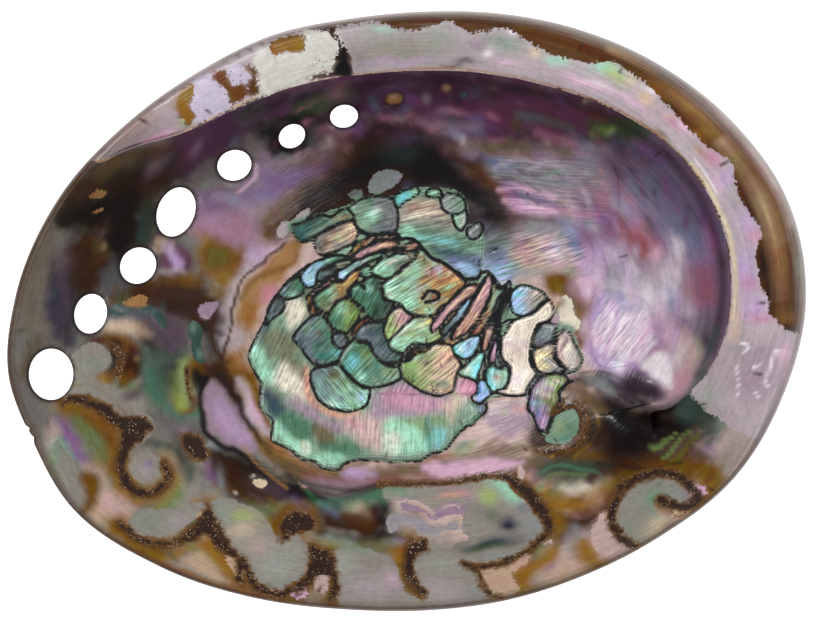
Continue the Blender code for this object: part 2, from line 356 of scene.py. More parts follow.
def evenly(points, count):
    steps = np.linalg.norm(np.diff(points, axis=0), axis=1)
    along = np.concatenate([[0], np.cumsum(steps)])
    wanted = np.linspace(0, along[-1], count + 1)[1:]
    return np.column_stack([np.interp(wanted, along, column) for column in points.T])


# %% [markdown]
# ## Tools for marking the shell
#
# The markings are placed in pixels of the photograph, as a restorer would trace them on
# a tracing sheet: a closed line round each plate, a stroke along each seam and a soft cloud for
# each glow. A little smooth noise keeps the traced lines from looking drawn.

# %%
GRID = 64
CLOUD_TABLE = np.random.default_rng(11).random((GRID, GRID))
FAR = 40.0


def noise(x, y, size, shift=0.0):
    """Smooth noise from -1 to 1, with bumps about as wide as size."""
    u = x / size + 17.3 * shift
    v = y / size + 9.1 * shift
    left = np.floor(u).astype(int)
    low = np.floor(v).astype(int)
    s = (u - left) ** 2 * (3 - 2 * (u - left))
    t = (v - low) ** 2 * (3 - 2 * (v - low))
    corner = CLOUD_TABLE
    a = corner[left % GRID, low % GRID]
    b = corner[(left + 1) % GRID, low % GRID]
    c = corner[left % GRID, (low + 1) % GRID]
    d = corner[(left + 1) % GRID, (low + 1) % GRID]
    return 2 * mix(mix(a, b, s), mix(c, d, s), t) - 1


def rounded(points, steps=4, closed=True):
    """A smooth line through given points."""
    given = np.array(points, float)
    if closed:
        before, here, after, beyond = (np.roll(given, shift, 0) for shift in (1, 0, -1, -2))
    else:
        grown = np.vstack([2 * given[0] - given[1], given, 2 * given[-1] - given[-2]])
        before, here, after, beyond = grown[:-3], grown[1:-2], grown[2:-1], grown[3:]
    pieces = []
    for s in np.arange(steps) / steps:
        pieces.append(0.5 * (
            2 * here + (after - before) * s
            + (2 * before - 5 * here + 4 * after - beyond) * s * s
            + (3 * here - before - 3 * after + beyond) * s ** 3
        ))
    line = np.stack(pieces, 1).reshape(-1, 2)
    return line if closed else np.vstack([line, given[-1]])


def line_distance(x, y, line, closed):
    """Distance of points from a line, and whether they lie inside it if it is closed."""
    ends = np.roll(line, -1, 0) if closed else line[1:]
    starts = line if closed else line[:-1]
    best = np.full(x.shape, 1e9)
    odd = np.zeros(x.shape, bool)
    for (ax, ay), (bx, by) in zip(starts, ends):
        dx, dy = bx - ax, by - ay
        s = np.clip(((x - ax) * dx + (y - ay) * dy) / (dx * dx + dy * dy + 1e-9), 0, 1)
        best = np.minimum(best, (x - ax - s * dx) ** 2 + (y - ay - s * dy) ** 2)
        if closed and ay != by:
            crosses = ((ay > y) != (by > y)) & (x < (y - ay) * dx / dy + ax)
            odd ^= crosses
    return np.sqrt(best), odd


def step(low, high, value):
    s = np.clip((value - low) / (high - low), 0, 1)
    return s * s * (3 - 2 * s)


class Sheet:
    """The shell's points laid out as pixels of the photograph, with soft marking tools."""

    def __init__(self, px, py):
        self.x = px
        self.y = py

    def near(self, line, reach):
        low = line.min(0) - reach
        high = line.max(0) + reach
        return np.nonzero(
            (self.x > low[0]) & (self.x < high[0]) & (self.y > low[1]) & (self.y < high[1])
        )[0]

    def inside(self, points, reach=FAR):
        """Pixels from a closed line, positive inside, and the points it concerns."""
        line = rounded(points)
        chosen = self.near(line, reach)
        distance, odd = line_distance(self.x[chosen], self.y[chosen], line, True)
        return chosen, np.where(odd, distance, -distance)

    def off(self, points, reach=FAR):
        """Pixels from an open line, and the points it concerns."""
        line = rounded(points, closed=False)
        chosen = self.near(line, reach)
        return chosen, line_distance(self.x[chosen], self.y[chosen], line, False)[0]

    def union(self, shapes):
        """Pixels from the edge of many closed lines, positive inside any."""
        field = np.full(self.x.shape, -FAR)
        for points in shapes:
            chosen, distance = self.inside(points, 12)
            field[chosen] = np.maximum(field[chosen], distance)
        return field

    def overlaid(self, base, shapes, lines):
        """Depth inside the topmost plate, and pixels from the nearest dark gap that shows (partly
        painted shadow).
        """
        depth = base.copy()
        crack_and_shadow = np.full(self.x.shape, FAR)
        for points in shapes:
            chosen, distance = self.inside(points, 12)
            on_top = distance > 0
            depth[chosen] = np.where(on_top, distance, np.maximum(depth[chosen], distance))
            crack_and_shadow[chosen] = np.where(on_top, distance, np.minimum(crack_and_shadow[chosen], -distance))
        for width, points in lines:
            chosen, distance = self.off(points, 12)
            crack_and_shadow[chosen] = np.minimum(crack_and_shadow[chosen], distance - width / 2 + 1)
        return depth, crack_and_shadow

    def patch(self, layer, tint, points, blur=2.0, strength=1.0):
        chosen, distance = self.inside(points, 2 * blur + 1)
        x, y = self.x[chosen], self.y[chosen]
        distance = distance + blur * (0.45 * noise(x, y, 8, 40) + 0.25 * noise(x, y, 3.5, 41))
        share = strength * step(-1.7 * blur, 1.7 * blur, distance)[:, None]
        layer[chosen] = mix(layer[chosen], TINTS[tint], share)

    def stroke(self, layer, tint, points, width=3.0, blur=2.0, strength=1.0):
        chosen, distance = self.off(points, width + blur)
        share = strength * (1 - step(max(width / 2 - blur, 0), width / 2 + blur, distance))
        layer[chosen] = mix(layer[chosen], TINTS[tint], share[:, None])

    def cloud(self, layer, tint, x, y, wide, high, turn=0, strength=1.0):
        """A soft oval; turn is anticlockwise as seen."""
        cosine, sine = math.cos(math.radians(turn)), math.sin(math.radians(turn))
        dx, dy = self.x - x, y - self.y
        u = (dx * cosine + dy * sine) / wide
        v = (dy * cosine - dx * sine) / high
        square = u * u + v * v
        chosen = np.nonzero(square < 4)[0]
        share = strength * np.exp(-1.4 * square[chosen])[:, None]
        layer[chosen] = mix(layer[chosen], TINTS[tint], share)


# %% [markdown]
# ## Colours
#
# Mother of pearl has no pigment of its own in these colours: thin layers split the light. A
# painter names the colours that come back and mixes them. The names below are chosen one by one.

# %%
def linear(colour):
    """From the colour as seen on a screen to the amounts of light that Blender mixes."""
    c = np.array(colour, float)
    return np.where(c <= 0.04045, c / 12.92, ((c + 0.055) / 1.055) ** 2.4)


SEEN_TINTS = {
    "black": (.045, .035, .045), "ink": (.10, .075, .095), "umber": (.17, .095, .06),
    "brown": (.34, .21, .11), "rust": (.42, .24, .14), "tan": (.64, .49, .34),
    "amber": (.55, .40, .19), "gold": (.80, .62, .28), "olive": (.38, .36, .16),
    "cream": (.86, .79, .68), "blush": (.80, .70, .68), "peach": (.88, .74, .62),
    "silver": (.66, .68, .65), "mist": (.56, .59, .59), "grey": (.44, .44, .45),
    "pearl": (.72, .67, .69), "mauve": (.62, .53, .60), "lilac": (.76, .65, .80),
    "violet": (.53, .36, .60), "plum": (.30, .16, .28), "magenta": (.60, .25, .46),
    "rose": (.80, .54, .64), "salmon": (.86, .62, .56), "pink": (.92, .76, .86),
    "white": (.96, .93, .95), "mint": (.66, .86, .76), "cyan": (.52, .82, .84),
    "teal": (.20, .46, .44), "green": (.34, .60, .40), "moss": (.24, .34, .18),
    "lime": (.70, .80, .42), "lemon": (.86, .84, .52), "blue": (.38, .52, .76),
    "sky": (.66, .78, .90), "slate": (.42, .46, .56), "navy": (.12, .17, .28),
    "sage": (.50, .60, .52), "fog": (.62, .60, .62), "brick": (.55, .26, .24),
    "ash": (.49, .47, .45), "stone": (.59, .57, .535), "coal": (.11, .085, .085),
    "bark": (.23, .13, .075), "honey": (.60, .45, .23), "ochre": (.44, .31, .12),
    "mud": (.41, .34, .25), "pine": (.20, .26, .22), "lead": (.35, .35, .36),
    "sand": (.79, .68, .59), "dusk": (.34, .27, .31), "ivory": (.90, .86, .80),
    "chalk": (.83, .82, .79), "opal": (.80, .76, .83), "steel": (.39, .44, .46), "spruce": (.22, .31, .29), "reed": (.60, .67, .46),
    "petal": (.74, .58, .60), "clay": (.72, .58, .50), "frost": (.60, .76, .66),
    "heather": (.54, .43, .55), "wine": (.42, .23, .33), "fern": (.45, .54, .32), "jade": (.30, .46, .37), "petrol": (.19, .29, .33),
}
TINTS = {name: linear(colour) for name, colour in SEEN_TINTS.items()}
print(len(TINTS), "named colours")

# %% [markdown]
# ## The muscle scar
#
# Where the animal held on, the shell is a rough mosaic of small raised plates with dark lines
# between them. Each plate splits the light its own way. A row below is one plate: its colour at
# the left, its colour at the right, the direction of its fine stripes in degrees, and a closed
# line round it.

# %%
PLATES = [                     # from the lowest plate to the topmost
    ("spruce", "sage", 28, [(290, 224), (293, 235), (298, 240), (305, 240), (313, 235), (322, 229),
                            (334, 223), (346, 219), (355, 217), (350, 207), (340, 208),
                            (333, 214), (328, 215), (320, 213), (308, 217), (298, 222)]),
    ("ash", "sand", 25, [(313, 243), (315, 250), (320, 254), (330, 252), (340, 248), (350, 243),
                         (356, 237), (357, 229), (353, 219), (345, 220), (334, 225), (322, 231),
                         (314, 237)]),
    ("sage", "grey", 16, [(347, 206), (352, 213), (354, 220), (357, 226), (364, 231), (372, 233),
                          (382, 231), (392, 231), (397, 227), (398, 214), (396, 204), (393, 197),
                          (380, 194), (368, 195), (357, 199)]),
    ("cyan", "frost", 20, [(395, 203), (394, 196), (399, 191), (408, 187), (418, 186), (419, 192),
                          (410, 197), (403, 201), (399, 205)]),
    ("frost", "frost", 20, [(426, 193), (430, 187), (440, 187), (442, 193), (435, 196)]),
    ("mist", "sage", 30, [(441, 200), (445, 193), (455, 191), (463, 195), (467, 202), (466, 209),
                          (459, 213), (450, 212), (444, 208)]),
    ("frost", "silver", 40, [(453, 214), (460, 212), (467, 209), (469, 217), (466, 225), (462, 230),
                            (457, 226), (454, 220)]),
    ("mist", "grey", 40, [(467, 230), (474, 224), (482, 221), (484, 228), (480, 236),
                          (472, 238)]),
    ("steel", "jade", 50, [(276, 296), (280, 288), (287, 281), (296, 276), (300, 281), (303, 287),
                           (301, 293), (295, 297), (287, 299), (280, 299)]),
    ("steel", "pine", 60, [(264, 318), (268, 307), (274, 298), (280, 297), (284, 304), (280, 312),
                           (272, 318), (265, 325)]),
    ("sky", "jade", 30, [(301, 282), (300, 275), (304, 268), (312, 262), (322, 258), (333, 255),
                         (341, 254), (343, 257), (334, 262), (324, 266), (317, 271), (315, 279),
                         (314, 284), (307, 287)]),
    ("steel", "pine", 30, [(316, 277), (318, 271), (325, 268), (333, 265), (335, 268), (333, 273),
                           (325, 277), (322, 281), (318, 281)]),
    ("petal", "clay", 40, [(306, 297), (312, 290), (322, 283), (332, 276), (336, 277), (330, 283),
                            (320, 289), (312, 295), (309, 300)]),
    ("ochre", "tan", 60, [(305, 297), (309, 294), (311, 299), (312, 306), (317, 313), (313, 316),
                          (308, 311), (306, 304)]),
    ("steel", "frost", 130, [(310, 372), (318, 368), (328, 367), (334, 365), (340, 368), (346, 376),
                            (354, 384), (363, 389), (369, 390), (369, 398), (366, 406), (358, 411),
                            (346, 413), (334, 411), (323, 406), (315, 398), (311, 388),
                            (309, 380)]),
    ("steel", "jade", 45, [(291, 338), (296, 345), (303, 354), (309, 362), (318, 366), (328, 365),
                           (334, 363), (340, 361), (344, 353), (347, 347), (340, 349), (333, 345),
                           (331, 338), (331, 331), (327, 323), (322, 317), (316, 314), (308, 318),
                           (300, 326)]),
    ("jade", "sage", 45, [(338, 360), (342, 352), (347, 346), (352, 340), (358, 343), (367, 344),
                          (372, 352), (378, 360), (386, 366), (396, 367), (404, 365), (406, 372),
                          (402, 379), (392, 384), (382, 387), (370, 389), (360, 386), (352, 380),
                          (345, 372), (340, 365)]),
    ("fern", "sand", 40, [(400, 364), (406, 362), (412, 357), (420, 353), (428, 351), (433, 346),
                          (440, 344), (450, 345), (455, 350), (456, 357), (462, 365), (458, 374),
                          (456, 382), (454, 391), (447, 395), (437, 397), (426, 394), (416, 389),
                          (406, 382), (401, 376)]),
    ("steel", "spruce", 50, [(354, 336), (358, 330), (366, 324), (376, 322), (384, 325), (386, 335),
                             (388, 343), (392, 350), (400, 353), (402, 358), (397, 363),
                             (388, 364), (380, 361), (374, 355), (370, 347), (367, 341),
                             (360, 341)]),
    ("tan", "rust", 50, [(350, 334), (354, 326), (362, 319), (368, 317), (368, 321), (362, 325),
                           (357, 331), (353, 335)]),
    ("reed", "petal", 65, [(384, 326), (388, 316), (394, 309), (400, 307), (408, 313), (414, 316),
                          (405, 325), (396, 334), (388, 341), (384, 336)]),
    ("frost", "reed", 30, [(388, 343), (396, 334), (405, 325), (415, 318), (430, 316), (437, 325),
                          (444, 330), (452, 322), (455, 325), (450, 333), (441, 339), (433, 344),
                          (424, 345), (414, 344), (408, 349), (403, 353), (396, 352), (390, 349)]),
    ("jade", "tan", 40, [(312, 297), (318, 292), (326, 286), (333, 281), (341, 281), (348, 274),
                         (356, 268), (359, 271), (358, 277), (352, 284), (347, 290), (346, 295),
                         (340, 299), (334, 302), (331, 309), (327, 314), (320, 310), (314, 305)]),
    ("jade", "fern", 60, [(327, 315), (332, 307), (338, 301), (345, 298), (351, 301), (358, 308),
                          (359, 314), (356, 321), (350, 329), (345, 333), (336, 331), (329, 325),
                          (326, 319)]),
    ("steel", "grey", 50, [(331, 338), (335, 334), (341, 333), (346, 337), (346, 344), (341, 349),
                           (335, 347)]),
    ("tan", "sand", 22, [(346, 257), (350, 250), (358, 242), (367, 236), (377, 234), (388, 233),
                           (396, 237), (397, 240), (386, 238), (374, 239), (364, 245),
                           (356, 251)]),
    ("petal", "clay", 22, [(350, 257), (362, 248), (375, 242), (390, 239), (399, 242), (392, 247),
                            (378, 250), (365, 255), (356, 259)]),
    ("sky", "frost", 30, [(336, 277), (338, 270), (345, 267), (352, 262), (360, 258), (370, 254),
                         (382, 251), (386, 253), (378, 257), (368, 261), (360, 265), (352, 270),
                         (346, 276), (341, 280)]),
    ("jade", "frost", 40, [(359, 271), (362, 266), (369, 264), (370, 270), (369, 277), (363, 276)]),
    ("frost", "pine", 28, [(371, 272), (373, 266), (380, 260), (392, 254), (404, 251), (416, 250),
                          (424, 253), (416, 259), (404, 265), (396, 272), (390, 278),
                          (380, 277)]),
    ("clay", "clay", 25, [(398, 250), (408, 243), (416, 240), (421, 245), (413, 249),
                              (403, 253)]),
    ("jade", "pine", 60, [(349, 292), (352, 286), (358, 283), (364, 289), (362, 281), (368, 277),
                          (376, 276), (380, 283), (381, 293), (384, 299), (392, 303), (394, 307),
                          (389, 313), (384, 320), (375, 320), (367, 315), (361, 306),
                          (353, 300)]),
    ("frost", "tan", 30, [(383, 286), (386, 280), (396, 274), (406, 266), (414, 258), (420, 250),
                         (424, 250), (431, 257), (440, 261), (450, 267), (459, 274), (465, 281),
                         (470, 284), (462, 288), (456, 294), (449, 302), (441, 307), (436, 314),
                         (428, 316), (418, 316), (408, 312), (400, 304), (391, 301), (384, 297)]),
    ("petal", "clay", 42, [(431, 326), (438, 316), (447, 305), (456, 296), (464, 289), (472, 284),
                            (480, 285), (478, 291), (470, 298), (462, 303), (455, 310), (447, 318),
                            (440, 327), (433, 333)]),
    ("steel", "sky", 45, [(441, 333), (447, 324), (456, 314), (464, 304), (470, 298), (472, 303),
                          (467, 312), (460, 320), (452, 328), (446, 335)]),
    ("clay", "petal", 50, [(489, 275), (494, 281), (492, 292), (487, 304), (481, 316), (475, 325),
                            (468, 333), (459, 338), (452, 340), (456, 330), (463, 319), (469, 309),
                            (475, 299), (481, 288), (484, 281)]),
    ("tan", "sage", 55, [(494, 283), (500, 288), (506, 290), (500, 298), (496, 308), (491, 318),
                         (485, 328), (478, 337), (470, 337), (478, 326), (485, 313), (490, 301),
                         (493, 292)]),
    ("cyan", "sky", 45, [(453, 350), (456, 345), (463, 341), (472, 337), (480, 336), (482, 341),
                         (478, 350), (474, 357), (466, 360), (458, 357)]),
    ("frost", "cyan", 60, [(459, 373), (464, 368), (472, 361), (480, 353), (486, 354), (484, 364),
                          (480, 374), (478, 382), (470, 379), (463, 377)]),
    ("clay", "blush", 70, [(483, 352), (484, 340), (487, 328), (492, 320), (497, 322), (495, 332),
                             (491, 342), (488, 352)]),
    ("petal", "lilac", 70, [(490, 361), (493, 349), (497, 341), (501, 345), (499, 355),
                           (496, 363)]),
    ("frost", "sage", 60, [(500, 338), (503, 328), (508, 321), (514, 321), (510, 330),
                          (505, 337)]),
    ("cyan", "frost", 80, [(488, 370), (494, 366), (502, 369), (508, 367), (511, 374), (509, 384),
                          (505, 391), (498, 394), (491, 391), (487, 382)]),
    ("blue", "sky", 40, [(479, 383), (485, 381), (490, 389), (492, 396), (486, 401), (482, 405),
                         (475, 403), (473, 398), (478, 392)]),
    ("sky", "stone", 40, [(512, 302), (513, 293), (518, 287), (527, 285), (538, 288), (546, 293),
                          (549, 299), (543, 304), (537, 310), (531, 315), (522, 316),
                          (515, 312)]),
    ("ivory", "ivory", 80, [(498, 392), (507, 389), (511, 378), (512, 368), (506, 362), (502, 352),
                            (503, 340), (508, 332), (514, 322), (524, 317), (534, 314),
                            (543, 306), (552, 300), (556, 310), (552, 320), (541, 325),
                            (537, 334), (534, 344), (533, 356), (534, 366), (539, 374),
                            (534, 382), (529, 389), (526, 396), (510, 397)]),
    ("blush", "stone", 60, [(558, 350), (560, 338), (566, 330), (572, 332), (576, 342), (582, 352),
                            (585, 362), (580, 370), (572, 372), (565, 366), (560, 360)]),
    ("steel", "mist", 30, [(539, 331), (544, 325), (552, 323), (559, 326), (556, 334), (553, 342),
                           (545, 346), (538, 350), (536, 342)]),
    ("cream", "grey", 40, [(536, 352), (543, 347), (552, 343), (558, 346), (556, 356), (562, 362),
                           (566, 372), (558, 376), (548, 375), (540, 372), (536, 364)]),
    ("heather", "fern", 75, [(531, 398), (533, 390), (539, 382), (545, 377), (556, 374), (566, 376),
                             (570, 382), (563, 392), (562, 402), (556, 412), (552, 422),
                             (548, 432), (541, 431), (537, 424), (534, 416), (529, 410)]),
]
CRACKS_AND_SHADOWS = [                     # dark lines between the plates, partly gaps and partly painted shadow under their edges: width, points
    (2, [(330, 254), (310, 263), (292, 275), (279, 289), (268, 305), (262, 322), (252, 342),
         (247, 357), (253, 374), (259, 386), (258, 406), (262, 413), (271, 421), (270, 436),
         (272, 443), (289, 451), (301, 461), (315, 464), (322, 470), (338, 472), (343, 466),
         (360, 462), (400, 464), (422, 462), (430, 457), (447, 451), (456, 439), (466, 429),
         (474, 426), (484, 416), (488, 410), (487, 403)]),
    (3, [(398, 238), (408, 237), (416, 240), (424, 248), (431, 256), (440, 260), (450, 266),
         (460, 273), (466, 278), (478, 278), (483, 272), (490, 271), (496, 278), (502, 285),
         (508, 286), (511, 281), (512, 290), (511, 300), (513, 308)]),
    (5, [(508, 286), (509, 296), (503, 306), (500, 318), (499, 330), (501, 345), (500, 358),
         (506, 366)]),
    (3, [(503, 306), (496, 316), (491, 328)]),
    (2.5, [(487, 352), (485, 366), (485, 380)]),
    (3.5, [(406, 358), (409, 354), (416, 349), (428, 346), (440, 341), (450, 335), (457, 327),
           (466, 314), (473, 301), (480, 290), (485, 280)]),
    (2.5, [(354, 222), (360, 230), (370, 234), (384, 233), (396, 232), (400, 239)]),
    (2, [(334, 262), (345, 259), (358, 258), (372, 252), (386, 250), (398, 249), (410, 250)]),
    (1, [(483, 271), (480, 264), (481, 258), (490, 252), (500, 247)]),
    (3, [(540, 325), (536, 334), (533, 345), (532, 358), (535, 368), (541, 374), (536, 382),
         (530, 389), (528, 396)]),
    (3, [(556, 358), (561, 364), (566, 370), (572, 374)]),
    (3, [(541, 432), (549, 432), (553, 421), (558, 412), (563, 403), (562, 393), (569, 385),
         (574, 382)]),
    (3, [(423, 298), (429, 291), (437, 292), (440, 297), (434, 301), (426, 302)]),
    (2, [(402, 363), (412, 353), (414, 358), (406, 362)]),
]
SCAR = [
    (290, 224), (298, 221), (318, 212), (340, 206), (357, 198), (372, 194), (394, 194),
    (406, 186), (440, 186), (460, 190), (469, 203), (470, 222), (482, 221), (486, 240),
    (484, 258), (484, 270), (492, 271), (500, 284), (513, 284), (530, 284), (546, 290),
    (552, 300), (556, 312), (552, 322), (566, 328), (574, 331), (583, 350), (586, 362),
    (580, 372), (570, 376), (566, 385), (562, 404), (555, 420), (549, 434), (541, 432),
    (530, 412), (527, 398), (500, 399), (488, 404), (484, 416), (474, 426), (466, 429),
    (456, 439), (447, 451), (430, 457), (422, 462), (400, 464), (360, 462), (343, 466),
    (338, 472), (322, 470), (315, 464), (301, 461), (289, 451), (272, 443), (270, 428),
    (262, 413), (258, 406), (259, 386), (253, 374), (247, 357), (252, 342), (262, 322),
    (268, 305), (279, 289), (292, 275), (310, 263), (324, 256), (314, 246), (313, 240),
    (300, 241), (292, 234),
]
SCAR_GROUND = [                # the pearl that the plates lie on
    ("stone", 4, 0.9, [(396, 204), (416, 196), (440, 192), (450, 212), (456, 228), (440, 234),
                       (416, 226), (400, 226)]),
    ("sand", 3, 0.7, [(406, 204), (424, 198), (440, 204), (446, 212), (430, 214), (412, 214)]),
    ("ivory", 2, 0.7, [(402, 214), (420, 210), (438, 206), (440, 209), (420, 215), (404, 218)]),
    ("jade", 4, 0.6, [(404, 224), (424, 222), (446, 228), (470, 238), (486, 246), (470, 250),
                      (440, 240), (416, 236), (402, 236)]),
    ("mint", 2.5, 0.7, [(400, 228), (408, 224), (416, 232), (410, 237), (402, 236)]),
    ("cyan", 2.5, 0.5, [(418, 234), (436, 236), (456, 240), (456, 244), (436, 242),
                        (420, 240)]),
    ("petrol", 3, 0.9, [(428, 244), (446, 246), (462, 250), (478, 256), (470, 264), (452, 260),
                        (436, 254)]),
    ("slate", 3, 0.9, [(448, 256), (470, 256), (484, 256), (484, 268), (474, 276), (462, 272),
                       (450, 264)]),
    ("sky", 2, 0.8, [(456, 264), (466, 262), (478, 268), (476, 274), (464, 270)]),
    ("mud", 4, 0.5, [(300, 262), (340, 258), (400, 240), (470, 290), (500, 330), (470, 400),
                     (400, 388), (360, 390), (310, 366), (296, 340), (300, 300)]),
    ("petrol", 3, 0.8, [(264, 318), (276, 300), (290, 290), (284, 304), (274, 316), (262, 336),
                        (256, 344)]),
    ("ivory", 3, 0.9, [(284, 300), (298, 298), (304, 312), (296, 324), (288, 330), (284, 316)]),
    ("mud", 4, 0.6, [(262, 340), (274, 328), (290, 338), (296, 350), (286, 362), (270, 358)]),
    ("mint", 3, 0.9, [(250, 352), (256, 346), (264, 362), (274, 376), (270, 384), (258, 378)]),
    ("ivory", 4, 0.9, [(274, 372), (284, 364), (300, 372), (306, 396), (300, 404), (284, 394),
                       (272, 384)]),
    ("mud", 3, 0.6, [(286, 362), (296, 358), (306, 372), (304, 384), (294, 376)]),
    ("salmon", 2.5, 0.9, [(304, 366), (309, 376), (310, 392), (318, 404), (330, 410),
                          (346, 414), (360, 412), (356, 418), (336, 420), (316, 412),
                          (304, 398)]),
    ("plum", 4, 0.6, [(262, 388), (274, 392), (284, 404), (284, 414), (270, 412), (262, 402)]),
    ("petrol", 4, 0.9, [(260, 390), (270, 396), (282, 408), (278, 418), (268, 416)]),
    ("mauve", 5, 0.9, [(286, 398), (306, 404), (330, 420), (346, 424), (340, 436), (316, 428),
                       (296, 414)]),
    ("jade", 3, 0.9, [(276, 424), (288, 412), (306, 420), (316, 430), (306, 442), (290, 440)]),
    ("mint", 2.5, 0.95, [(272, 432), (276, 424), (284, 432), (296, 442), (308, 444), (310, 456),
                         (300, 455), (288, 446)]),
    ("ivory", 2.5, 0.7, [(300, 444), (308, 446), (308, 454), (302, 454)]),
    ("mud", 3, 0.9, [(312, 424), (330, 432), (338, 444), (330, 450), (316, 444)]),
    ("jade", 3, 0.8, [(318, 446), (340, 442), (366, 440), (372, 450), (356, 458), (334, 458)]),
    ("mint", 2.5, 0.7, [(312, 456), (330, 455), (344, 458), (340, 467), (324, 467)]),
    ("blush", 5, 0.95, [(344, 424), (360, 416), (386, 418), (384, 440), (390, 456), (372, 452),
                        (352, 438)]),
    ("rose", 4, 0.5, [(340, 420), (352, 418), (364, 430), (350, 432)]),
    ("mauve", 4, 0.95, [(371, 396), (388, 388), (404, 383), (428, 395), (454, 399), (448, 414),
                        (400, 419), (372, 418)]),
    ("rose", 4, 0.5, [(380, 396), (404, 388), (430, 400), (446, 404), (430, 412), (396, 410)]),
    ("mint", 4, 0.9, [(384, 424), (404, 422), (424, 430), (430, 448), (410, 456), (386, 456),
                      (384, 440)]),
    ("ivory", 4, 0.7, [(384, 436), (398, 434), (402, 448), (390, 456)]),
    ("fern", 3, 0.7, [(404, 422), (424, 418), (446, 418), (444, 440), (430, 440), (416, 428)]),
    ("teal", 2.5, 0.7, [(425, 422), (431, 420), (433, 440), (430, 452), (426, 440)]),
    ("cyan", 3, 0.6, [(434, 430), (448, 432), (444, 446), (434, 450)]),
    ("sand", 4, 0.7, [(446, 404), (460, 396), (466, 404), (456, 424), (448, 420)]),
    ("jade", 3, 0.7, [(458, 410), (472, 404), (482, 410), (478, 424), (464, 426), (454, 436)]),
    ("rose", 3, 0.9, [(460, 382), (474, 382), (482, 390), (474, 398), (460, 394)]),
    ("slate", 2.5, 0.8, [(478, 402), (486, 404), (487, 412), (480, 414)]),
    ("lead", 2, 0.7, [(300, 458), (320, 468), (342, 464), (372, 457), (420, 458), (436, 448),
                      (432, 456), (418, 462), (372, 462), (344, 470), (320, 473)]),
    ("sage", 3, 0.8, [(378, 320), (392, 308), (400, 318), (396, 334), (386, 332)]),
    ("rust", 2, 0.6, [(350, 332), (364, 320), (372, 322), (358, 334)]),
    ("sand", 3, 0.7, [(432, 300), (452, 286), (476, 284), (490, 290), (480, 320), (462, 334),
                      (440, 330)]),
    ("rust", 2, 0.9, [(404, 354), (420, 344), (440, 338), (462, 326), (450, 338), (428, 350),
                      (412, 360)]),
    ("coal", 2, 0.95, [(400, 360), (408, 352), (414, 356), (410, 366), (404, 368)]),
    ("tan", 3, 0.7, [(440, 345), (458, 334), (480, 328), (484, 336), (462, 340), (452, 350)]),
    ("ink", 3, 0.95, [(480, 296), (494, 284), (510, 290), (512, 306), (502, 322), (500, 350),
                      (500, 364), (488, 374), (482, 350), (486, 330), (494, 312)]),
    ("ink", 2.5, 0.95, [(530, 320), (556, 322), (560, 350), (568, 366), (566, 384), (556, 400),
                        (544, 384), (534, 370), (536, 346)]),
    ("rust", 3, 0.9, [(496, 398), (512, 394), (532, 392), (530, 400), (506, 404)]),
    ("ochre", 3, 0.7, [(556, 294), (566, 300), (560, 312), (552, 306)]),
]
print(len(PLATES), "plates in the muscle scar")

# %% [markdown]
# ## Islands of silver nacre and flakes
#
# Later layers of nacre end in ragged edges, so the flanks show pale silver islands over amber
# and pink ones, and the shelf shows bright flakes where a layer has come away. A row is the
# colour and the closed line round the island.

